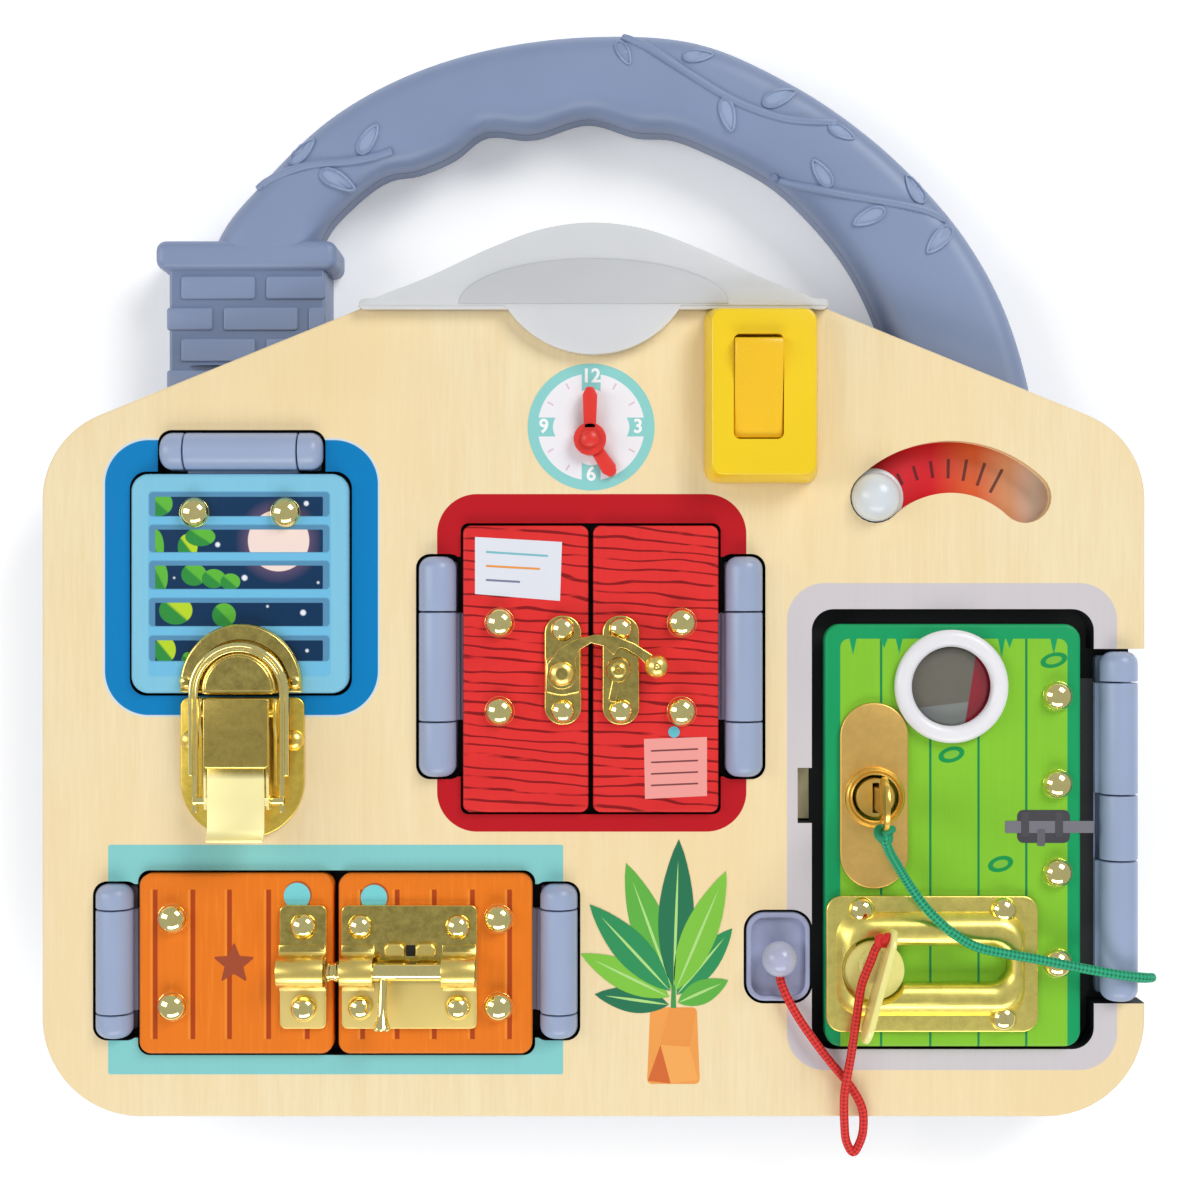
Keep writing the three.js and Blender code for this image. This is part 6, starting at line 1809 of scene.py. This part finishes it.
# %% Lever
parts = [sheet("face", oblong(LATCH_X - 8.1, LATCH_X + 8.1, 89.6, 106.6, 0.5, 3), 37.7, 38.9, 0.3, 3)]
for side in (-1, 1):
    x = LATCH_X + side * 7.75
    skirt = [(78.7, 32.2), (105.4, 33.1), (106.4, 34.0), (106.4, 38.2), (89.8, 38.3), (78.9, 37.3)]
    parts.append(side_sheet("skirt", skirt, x - 0.4, x + 0.4, 0.15))
tongue = [(90.4, 37.5), (90.4, 38.4), (87.4, 38.75), (80.9, 38.6), (74.2, 38.6), (72.5, 39.4)]
tongue += [(71.7, 40.8), (71.1, 40.6), (71.6, 38.4), (73.6, 37.6), (80.9, 37.5)]
parts.append(side_sheet("tongue", tongue, LATCH_X - 7.1, LATCH_X + 7.1, 0.18))
parts.append(sheet("web", oblong(LATCH_X - 7.9, LATCH_X + 7.9, 79.9, 81.9), 36.4, 37.6, 0.15, 2))
parts.append(cross_rod("fold", LATCH_X - 7.6, LATCH_X + 7.6, 89.9, 38.2, 0.7, 0.2, 20))
lever_piece = dress(
    join("lever", *parts), "draw_latch_lever", "lever", lever_brass, ("latch_lever",), 40,
)
tongue_end = spot(0, 88).y
# The lever's rounded edges above the tongue get the lighter brass: painted highlight.
second_finish(lever_piece, rim_highlight_brass, lambda f: abs(f.normal.z) < 0.93 and f.center.y > tongue_end)

# %% Bail
strip = sheet("strip", arch_strip(12.6, 2.4, 77.9, 120.6), 33.6, 34.5)
for side in (-1, 1):
    left, right = sorted((LATCH_X + side * 11.5, LATCH_X + side * 13.5))
    carve(strip, sheet("notch", oblong(left, right, 75, 87.0), 32, 36))
parts = [
    strip,
    sheet("outer_ridge", arch_strip(12.6, 1.25, 87.0, 120.6), 33.7, 35.0, 0.5, 4),
    sheet("inner_ridge", arch_strip(11.0, 0.85, 77.9, 119.0), 33.7, 34.95, 0.36, 4),
    cross_rod("bail_pin", LATCH_X - 11.5, LATCH_X + 11.5, 80.9, 34.3, 1.1),
]
dress(join("bail", *parts), "draw_latch_bail", "bail", dome_brass, ("latch_bail",), 40)
print("draw latch ready")

# %% [markdown]
# ## Porthole
# A white ring is clipped into the entry door, and a lens lies behind it in its own
# step. What one sees through it, a plain wall, a floor and a red drape, is drawn in
# the lens itself.

# %% Porthole ring and lens
section = [
    (10.0, 0), (14.3, 0), (14.3, 1.3), (14.0, 1.85), (13.3, 2.3), (12.2, 2.55), (11.0, 2.3), (10.4, 1.8),
    (10.05, 1.2),
]
dress(
    turned("ring", section, (*PORTHOLE, 30.3), 72, closed=True), "porthole_rim", "entry_door", ring_white,
    ("porthole_ring",), 50,
)


def view_finish():
    recipe = Recipe("porthole_view", Coat_Weight=0.5)
    x, y, _ = at = recipe.places()
    cloud = recipe.noise(at, 9.0, 2.0)
    wall = recipe.mix(cloud, ink(92, 90, 82), ink(116, 112, 98))
    floor = (PORTHOLE[1] - 4.5 - y + (x - PORTHOLE[0]) * 0.12).edge(0.3)
    wall = recipe.mix(floor, wall, ink(128, 132, 128))
    drape = (x - PORTHOLE[0] - 5.2 - (y - PORTHOLE[1]) * 0.16).edge(0.3)
    wall = recipe.mix(drape, wall, ink(140, 30, 44))
    recipe.drive(Base_Color=wall, Roughness=0.2 + cloud * 0.1)
    return recipe.material


lens = turned(
    "lens", [(0, 28.3), (11, 28.3), (11, 29.2), (10.6, 29.5), (5, 29.75), (0, 29.8)], (*PORTHOLE, 0), 56,
)
dress(lens, "porthole_glass", "entry_door", view_finish(), ("porthole_lens",), 40)

# %% [markdown]
# ## Clock
# The dial is printed on the board: a teal ring, a white face, four numerals on
# tabs and eight short ticks. The hands are red plastic with pointed tips and turn
# on one pin under a domed cap.

# %% Clock dial
DIAL, DIAL_FACE = (-0.6, 175.1), 28.05


def dial_finish():
    recipe = Recipe("dial_print")
    x, y, _ = at = recipe.places()
    u, v = x - DIAL[0], y - DIAL[1]
    reach = (u * u + v * v) ** 0.5
    colour = recipe.mix((reach - 13.55).edge(0.12), ink(240, 238, 242), ink(138, 208, 204))
    least, most = abs(u).least(abs(v)), abs(u).most(abs(v))
    tab = (2.4 - least).edge(0.12) * (most - 9.7 + least * least * 0.12).edge(0.12)
    colour = recipe.mix(tab, colour, ink(138, 208, 204))
    for hour in (1, 2, 4, 5, 7, 8, 10, 11):
        angle = math.radians(90 - 30 * hour)
        across = abs(u * math.sin(angle) - v * math.cos(angle))
        along = u * math.cos(angle) + v * math.sin(angle)
        tick = (0.22 - across).edge(0.1) * (0.85 - abs(along - 11.9)).edge(0.1)
        colour = recipe.mix(tick * 0.7, colour, ink(214, 176, 192))
    recipe.drive(Base_Color=colour, Roughness=0.5 + recipe.noise(at, 5.0) * 0.1)
    return recipe.material


dial = sheet("dial", ring_of(*DIAL, 16.1, 96), BOARD_FACE + 0.01, DIAL_FACE)
dress(dial, "clock_dial", "board", dial_finish())


def printed(name, text, x, y, height, size, body, material, bold=0.12):
    """A generic numeral as a thin flat print."""
    rest()
    bpy.ops.object.text_add()
    label = bpy.context.object
    label.data.body, label.data.size = text, size * MM
    label.data.align_x, label.data.align_y = "CENTER", "CENTER"
    label.data.extrude, label.data.offset = 0.02 * MM, bold * MM
    bpy.ops.object.convert(target="MESH")
    moved(label, Matrix.Translation(spot(x, y, height)))
    return dress(label, name, body, material)


print_white = moulded("white_print", ink(250, 250, 250), 0.5, 0.3, 0.002)
for text, x, y in (("12", 0.0, 12.9), ("3", 11.9, 0.1), ("6", 0.0, -12.0), ("9", -12.0, 0.1)):
    printed(
        f"numeral_{text}", text, DIAL[0] + x, DIAL[1] + y, DIAL_FACE + 0.02, 4.9, "board", print_white,
    )


# %% Clock hands
def hand(name, body, low, high, length, turn, width, node):
    foot, wide, neck = width * 0.42, width * 0.52, length - 2.0
    shape = [(-foot, 2.6), (foot, 2.6), (wide, neck), (0.9, length), (-0.9, length), (-wide, neck)]
    blade = sheet("blade", rounded(shape, [0, 0, 0.5, 0.7, 0.7, 0.5], 4), low, high, 0.25, 2)
    hub = turned(
        "hub", [(1.2, low), (4.1, low), (4.1, high - 0.3), (3.8, high), (1.2, high)], (0, 0, 0), 40,
        closed=True,
    )
    piece = set_at(join("hand", hub, blade), CLOCK_PIN, rotation(turn, "Z"))
    return dress(piece, name, body, hand_red, (node,), 35)


hand("hour_pointer", "hour", 28.5, 29.7, 10.9, -147, 3.8, "hour_hand")
hand("minute_pointer", "minute", 30.1, 31.3, 13.1, 0, 3.6, "minute_hand")
pin = turned(
    "pin", [(0, 27.6), (1.0, 27.6), (1.0, 31.6), (2.3, 31.75), (2.2, 32.3), (1.5, 32.9), (0, 33.1)],
    (*CLOCK_PIN, 0), 32,
)
dress(pin, "clock_cap", "board", hand_red, ("clock_pin",), 40)
print("clock ready")

# %% [markdown]
# ## Slide, switch and anchor
# The curved slot shows a strip that runs from red to pale, a generic scale with
# plain ticks. A white knob slides in it. Under the lamp is a yellow switch with
# a rocker, and the red cord ends in a ball on a small blue tray.

# %% Slide strip and knob
def strip_finish():
    recipe = Recipe("slide_strip_print")
    x, y, _ = at = recipe.places()
    u, v = x - SLIDE_X, y - SLIDE_Y
    share = (u / (2 * SLIDE_RADIUS * 0.86) + 0.5).clamped()
    # The strip's colours are written lighter than the print's, to make up for the shade that falls into the
    # deep slot: painted light.
    colour = ink(236, 24, 42)
    for start, width, tint in (
        (0.42, 0.2, (236, 104, 50)), (0.66, 0.16, (238, 166, 118)), (0.84, 0.14, (240, 218, 202)),
    ):
        colour = recipe.mix(((share - start) / width).clamped(), colour, ink(*tint))
    reach = (u * u + v * v) ** 0.5
    for i in range(7):
        angle = math.radians(90 + 26 - i * 9)
        across = abs(u * math.sin(angle) - v * math.cos(angle))
        tick = (0.4 - across).edge(0.12) * (1.6 + 0.3 * i - abs(reach - SLIDE_RADIUS)).edge(0.12)
        colour = recipe.mix(tick * 0.85, colour, ink(70, 10, 16))
    recipe.drive(Base_Color=colour, Roughness=0.4 + recipe.noise(at, 6.0) * 0.1)
    return recipe.material


dress(
    sheet("strip", arc_band(8.0), 20.0, 21.5, 0.2, 2), "slide_scale", "board", strip_finish(),
    ("slide_strip",), 40,
)
knob_profile = [
    (0, 0), (7.4, 0), (7.6, 0.3), (7.6, 1.4), (7.3, 1.7), (6.3, 1.8), (6.2, 2.2), (6.2, 6.1), (6.0, 6.4),
]
knob_profile += [*arc(0, 6.4, 6.0, 0, 90, 12, 5.4)[1:-1], (0, 11.8)]
knob = turned("knob", knob_profile, (71.74, 157.34, 21.9), 56)
dress(knob, "slide_button", "slide", knob_white, ("slide_knob",), 40)

# %% Switch
switch = sheet("switch", oblong(28, 56.9, 160.8, 205.3, 3.2, 8), 28.3, 37.8)
work_on(switch, editing=True)
choose("FACE", lambda f: f.normal.z > 0.9)
bpy.ops.transform.resize(value=(0.9, 0.93, 1), center_override=spot(42.45, 183.05, 37.8))
rest()
soften(switch, 0.5, 3, 30)
carve(switch, sheet("opening", oblong(34.95, 47.45, 171.3, 197.5, 1.6, 6), 32.5, 40))
dress(switch, "switch_case", "board", switch_yellow, ("switch_plate",), 35)
rocker = side_sheet(
    "rocker",
    [
        (-12.4, -2), (0, -3.6), (12.4, -2), (12.5, 2.4), (12.2, 3.4), (11.2, 3.9), (5, 3.3), (0, 3.0),
        (-5, 3.2), (-11.2, 3.7), (-12.2, 3.3), (-12.5, 2.4),
    ],
    -6.08, 6.08, 0.5, 3,
)
set_at(rocker, (41.2, 184.4, 35.0), rotation(9, "X"))
dress(rocker, "switch_rocker", "switch", rocker_yellow, ("rocker",), 35)

# %% Anchor tray and ball
anchor = sheet("tray", oblong(38.8, 54.9, 29.5, 51.9, 4.5, 8), 20, 28.6, 0.5, 3)
carve(anchor, sheet("dish", oblong(40.1, 53.6, 30.8, 50.6, 3.4, 8), 27.0, 30))
carve(anchor, sheet("hole", ring_of(46.9, 40.8, 2.1, 24), 18, 30))
soften(anchor, 0.35, 2, 50)
dress(anchor, "anchor_tray", "board", tray_blue, ("cord_anchor",), 35)
ball_profile = [(0, -4.5), (1.8, -4.5), (1.8, -4.1), *arc(0, 0, 4.5, -64, 90, 22)[:-1], (0, 4.5)]
ball = turned("ball", ball_profile, (46.9, 40.8, 31.8), 44)
dress(ball, "anchor_ball", "board", cap_frost, ("anchor_cap",), 50)
print("controls ready")

# %% [markdown]
# ## Printed details on the doors
# Small printed things are thin flat sheets a hundredth of a millimetre over the
# paint: two screw dots and a star on the cupboards, paper on the shutters and a
# little drawn bolt on the entry door. All are generic drawings.

# %% Prints
def flat_print(name, outline, body, height, colour, gloss=0.5):
    finish = bpy.data.materials.get(f"{name}_ink") or moulded(f"{name}_ink", colour, gloss, 0.3, 0.002)
    return dress(sheet(name, outline, height, height + 0.04), name, body, finish)


# The lens's height, and the place in the picture that stays put whatever the height of a piece
LENS_HEIGHT, VIEW_X, VIEW_Y = 528.0, 1.65, 131.2


def on_door(pixels):
    """Places on the doors from the photo's pixels; the doors are nearer the lens than the board."""
    size = (LENS_HEIGHT - DOOR_FACE) / (LENS_HEIGHT - BOARD_FACE)
    return [
        (VIEW_X + (photo_x(px) - VIEW_X) * size, VIEW_Y + (photo_y(py) - VIEW_Y) * size)
        for px, py in pixels
    ]


def line_print(name, pixels, half, body, colour):
    (x0, y0), (x1, y1) = on_door(pixels)
    outline = [(x0, y0 - half), (x1, y1 - half), (x1, y1 + half), (x0, y0 + half)]
    flat_print(name, outline, body, PAINT + 0.04, colour)


PAINT = 30.01
star_middle = on_door([(234, 964)])[0]
tips, notches = (
    arc(*star_middle, radius, start, start + 360, 5)[:-1]
    for radius, start in ((5.6, 90), (2.5, 126))
)
star = [corner for pair in zip(tips, notches) for corner in pair]
flat_print("hanging_star", rounded(star, 0.25, 2), "left_cupboard", PAINT, ink(160, 66, 28))
for name, body, pixel in (
    ("left_dot", "left_cupboard", (297, 896)), ("right_dot", "right_cupboard", (374, 898)),
):
    x, y = on_door([pixel])[0]
    # A dark orange ring set a little off each dot is a painted shadow, as in a shallow hole.
    flat_print(f"{name}_shadow", ring_of(x + 0.25, y + 0.3, 3.5, 32), body, PAINT, ink(176, 78, 20))
    flat_print(name, ring_of(x, y, 3.35, 32), body, PAINT + 0.04, ink(118, 208, 212))
flat_print(
    "paper", on_door([(475, 594), (560, 601), (562, 542), (475, 537)]), "left_shutter", PAINT,
    ink(226, 228, 236),
)
for i, (pixels, colour) in enumerate((
    (((486, 552), (548, 556)), ink(120, 190, 200)),
    (((486, 566), (540, 569)), ink(236, 150, 60)),
    (((486, 580), (520, 582)), ink(120, 120, 150)),
)):
    line_print(f"paper_line_{i}", pixels, 0.25, "left_shutter", colour)
flat_print(
    "note", on_door([(645, 799), (707, 796), (707, 737), (644, 739)]), "right_shutter", PAINT,
    ink(242, 158, 150),
)
for i in range(4):
    pixels = ((651, 751 + 11.5 * i), (698, 749 + 11.5 * i))
    line_print(f"note_line_{i}", pixels, 0.2, "right_shutter", ink(120, 58, 60))
flat_print(
    "note_pin", ring_of(*on_door([(674, 732)])[0], 1.45, 24), "right_shutter", PAINT + 0.08,
    ink(96, 190, 206),
)
for name, corners, radius, colour, step in (
    ("drawn_bolt_case", [(1017, 843), (1070, 843), (1070, 810), (1017, 810)], 1.6, ink(62, 60, 66), 0),
    ("drawn_bolt_rod", [(1005, 833), (1094, 833), (1094, 821), (1005, 821)], 0.3, ink(118, 116, 124), 1),
    ("drawn_bolt_band_1", [(1021, 837), (1029, 837), (1029, 812), (1021, 812)], 0.5, ink(70, 68, 74), 2),
    ("drawn_bolt_band_2", [(1055, 837), (1063, 837), (1063, 812), (1055, 812)], 0.5, ink(70, 68, 74), 2),
    ("drawn_bolt_knob", [(1037, 846), (1045, 846), (1045, 829), (1037, 829)], 0.5, ink(96, 94, 102), 2),
):
    flat_print(name, rounded(on_door(corners), radius, 4), "entry_door", PAINT + 0.04 * step, colour)

# %% [markdown]
# A potted plant is printed on the board beside the entry. It is a plain drawing of
# its own: a faceted pot and pointed leaves that fan out from one stem, each with a
# light midrib.

# %% Potted plant
FLAT = BOARD_FACE + 0.01
pot = [(13.6, 8.4), (27.0, 8.4), (26.2, 27.8), (14.4, 27.8)]
flat_print("pot", rounded(pot, 1.2, 4), "board", FLAT, ink(242, 158, 72))
POT_FACETS = (
    ([(13.8, 9.2), (19.6, 8.5), (17.0, 18.3)], ink(214, 104, 40)),
    ([(19.6, 8.5), (26.6, 9.4), (24.4, 17.8), (17.0, 18.3)], ink(248, 170, 84)),
    ([(17.0, 18.3), (24.4, 17.8), (26.0, 27.4), (19.4, 27.7)], ink(238, 150, 66)),
)
for i, (facet, colour) in enumerate(POT_FACETS):
    flat_print(f"pot_facet_{i}", facet, "board", FLAT + 0.04, colour)


def leaf_outline(x, y, heading, length, width):
    """A pointed leaf from its base."""
    c, s = math.cos(math.radians(heading)), math.sin(math.radians(heading))
    points = []
    for i in range(24):
        share = 1 - abs(1 - i / 12)
        off = width / 2 * math.sin(math.pi * share) ** 0.8 * (1.15 - 0.3 * share) * (1 if i <= 12 else -1)
        along = length * share
        points.append((x + along * c - off * s, y + along * s + off * c))
    return points[::-1]


GREENS = (ink(18, 112, 74), ink(126, 196, 58), ink(34, 142, 82), ink(92, 176, 60))
FAN = (
    (172, 19, 6.5, 1), (154, 25, 7.5, 5), (133, 30, 8.5, 8), (110, 34, 9, 9), (88, 38, 9, 9),
    (67, 33, 8.5, 8), (50, 22, 7, 6), (24, 14, 6, 2),
)
for i, (heading, length, width, lift) in enumerate(FAN):
    base = (20.3 + 1.2 * math.cos(math.radians(heading)), 28.0 + lift * 0.5)
    height = FLAT + 0.04 * (1 + i % 3)
    flat_print(
        f"plant_leaf_{i}", leaf_outline(*base, heading, length, width), "board", height, GREENS[i % 4],
    )
    flat_print(
        f"plant_rib_{i}", leaf_outline(*base, heading, length * 0.86, 0.7), "board", height + 0.04,
        ink(176, 222, 130),
    )
flat_print(
    "plant_stem", [(19.6, 27.5), (21.0, 27.5), (20.7, 36), (19.9, 36)], "board", FLAT + 0.02,
    ink(60, 150, 70),
)
print("plant ready")

# %% [markdown]
# ## Hidden parts
# The lamp's circuit, the switch block, the battery cells and their contact keep the
# shapes of the CAD solids, which are right for parts that one only sees with the
# cover off. They get finishes of their own.

# %% Finishes of the hidden parts
def flecked(name, colour, other, size, metallic=0.0, gloss=0.4):
    recipe = Recipe(name, Metallic=metallic)
    at = recipe.places()
    fleck = recipe.noise(at, size, 3.0)
    recipe.drive(
        Base_Color=recipe.mix(((fleck - 0.5) * 4 + 0.5).clamped(), colour, other),
        Roughness=gloss + fleck * 0.15,
    )
    recipe.bump(fleck, 0.3, 0.02 * MM)
    return recipe.material


HIDDEN = {
    "lamp_board": flecked("circuit_board", ink(34, 108, 62), ink(44, 124, 72), 1.6),
    "switch_block": flecked("switch_body", ink(40, 40, 44), ink(54, 54, 58), 3.0),
    "cell_1": flecked("cell_sleeve", ink(58, 62, 70), ink(72, 76, 84), 5.0, 0.4, 0.3),
    "battery_contact": flecked("contact_spring", ink(200, 198, 190), ink(184, 180, 172), 2.0, 1.0, 0.25),
}
HIDDEN["cell_2"] = HIDDEN["cell_1"]
for node, finish in HIDDEN.items():
    piece = bpy.data.objects[node]
    for index in range(len(piece.material_slots)):
        piece.material_slots[index].material = finish
print("hidden parts", len(HIDDEN))

# %% [markdown]
# ## Studio
# A pale floor, a plain grey room and large soft lamps, at a level at which a colour
# renders about as it is written. The lamps stand low enough that flat brass, which
# faces the camera, mirrors the darker room over it. What the camera, a mirror or
# glass sees of the floor is lifted to white, and the shadow on it stays.

# %% Floor
rest()
bpy.ops.mesh.primitive_plane_add(size=1.7, location=(0, 0, 0))
floor = bpy.context.object
floor.name = "studio_floor"


def seen_directly(recipe):
    """1 for rays from the camera, from a mirror or through glass, and 0 for the light itself."""
    labels = ("Is Camera Ray", "Is Glossy Ray", "Is Transmission Ray")
    kinds = [recipe.node("LightPath", {}, out=label) for label in labels]
    return kinds[0].most(kinds[1]).most(kinds[2])


floor_recipe = Recipe("floor_white", Base_Color=(0.95, 0.95, 0.95, 1.0), Roughness=0.9, Emission_Strength=1.0)
lift = floor_recipe.mix(seen_directly(floor_recipe), (0.0, 0.0, 0.0, 1.0), (0.26, 0.26, 0.26, 1.0))
floor_recipe.drive(Emission_Color=lift)
floor.data.materials.append(floor_recipe.material)

# %% Lamps and room
world = bpy.data.worlds.new("studio_room")
bpy.context.scene.world = world
world.use_nodes = True
room_nodes = world.node_tree.nodes
room = room_nodes["Background"]
room.inputs["Color"].default_value = (0.92, 0.96, 1.0, 1.0)
# The room lights the object with a strength of 0.3, brass mirrors 0.46, and the camera sees white
ray = room_nodes.new("ShaderNodeLightPath")
for_mirrors = room_nodes.new("ShaderNodeMath")
for_camera = room_nodes.new("ShaderNodeMath")
for_mirrors.operation = for_camera.operation = "MULTIPLY_ADD"
for_mirrors.inputs[1].default_value = 0.16
for_mirrors.inputs[2].default_value = 0.3
for_camera.inputs[1].default_value = 0.8
for start, end in (
    (ray.outputs["Is Glossy Ray"], for_mirrors.inputs[0]),
    (ray.outputs["Is Camera Ray"], for_camera.inputs[0]),
    (for_mirrors.outputs[0], for_camera.inputs[2]),
    (for_camera.outputs[0], room.inputs["Strength"]),
):
    world.node_tree.links.new(start, end)


def soft_lamp(name, place, watts, size):
    lamp = bpy.data.lights.new(name, "AREA")
    lamp.energy, lamp.shape, lamp.size, lamp.size_y = watts, "RECTANGLE", *size
    holder = bpy.data.objects.new(name, lamp)
    holder.location = place
    holder.rotation_euler = (-Vector(place)).to_track_quat("-Z", "Y").to_euler()
    bpy.context.scene.collection.objects.link(holder)


soft_lamp("key_upper_right", (0.75, 0.85, 0.95), 11.4, (0.7, 0.7))
soft_lamp("fill_left", (-1.1, 0.2, 0.8), 6.3, (0.5, 1.0))
soft_lamp("low_front", (0.05, -1.15, 0.7), 9.8, (1.4, 0.45))

bpy.context.scene.view_settings.view_transform = "Standard"
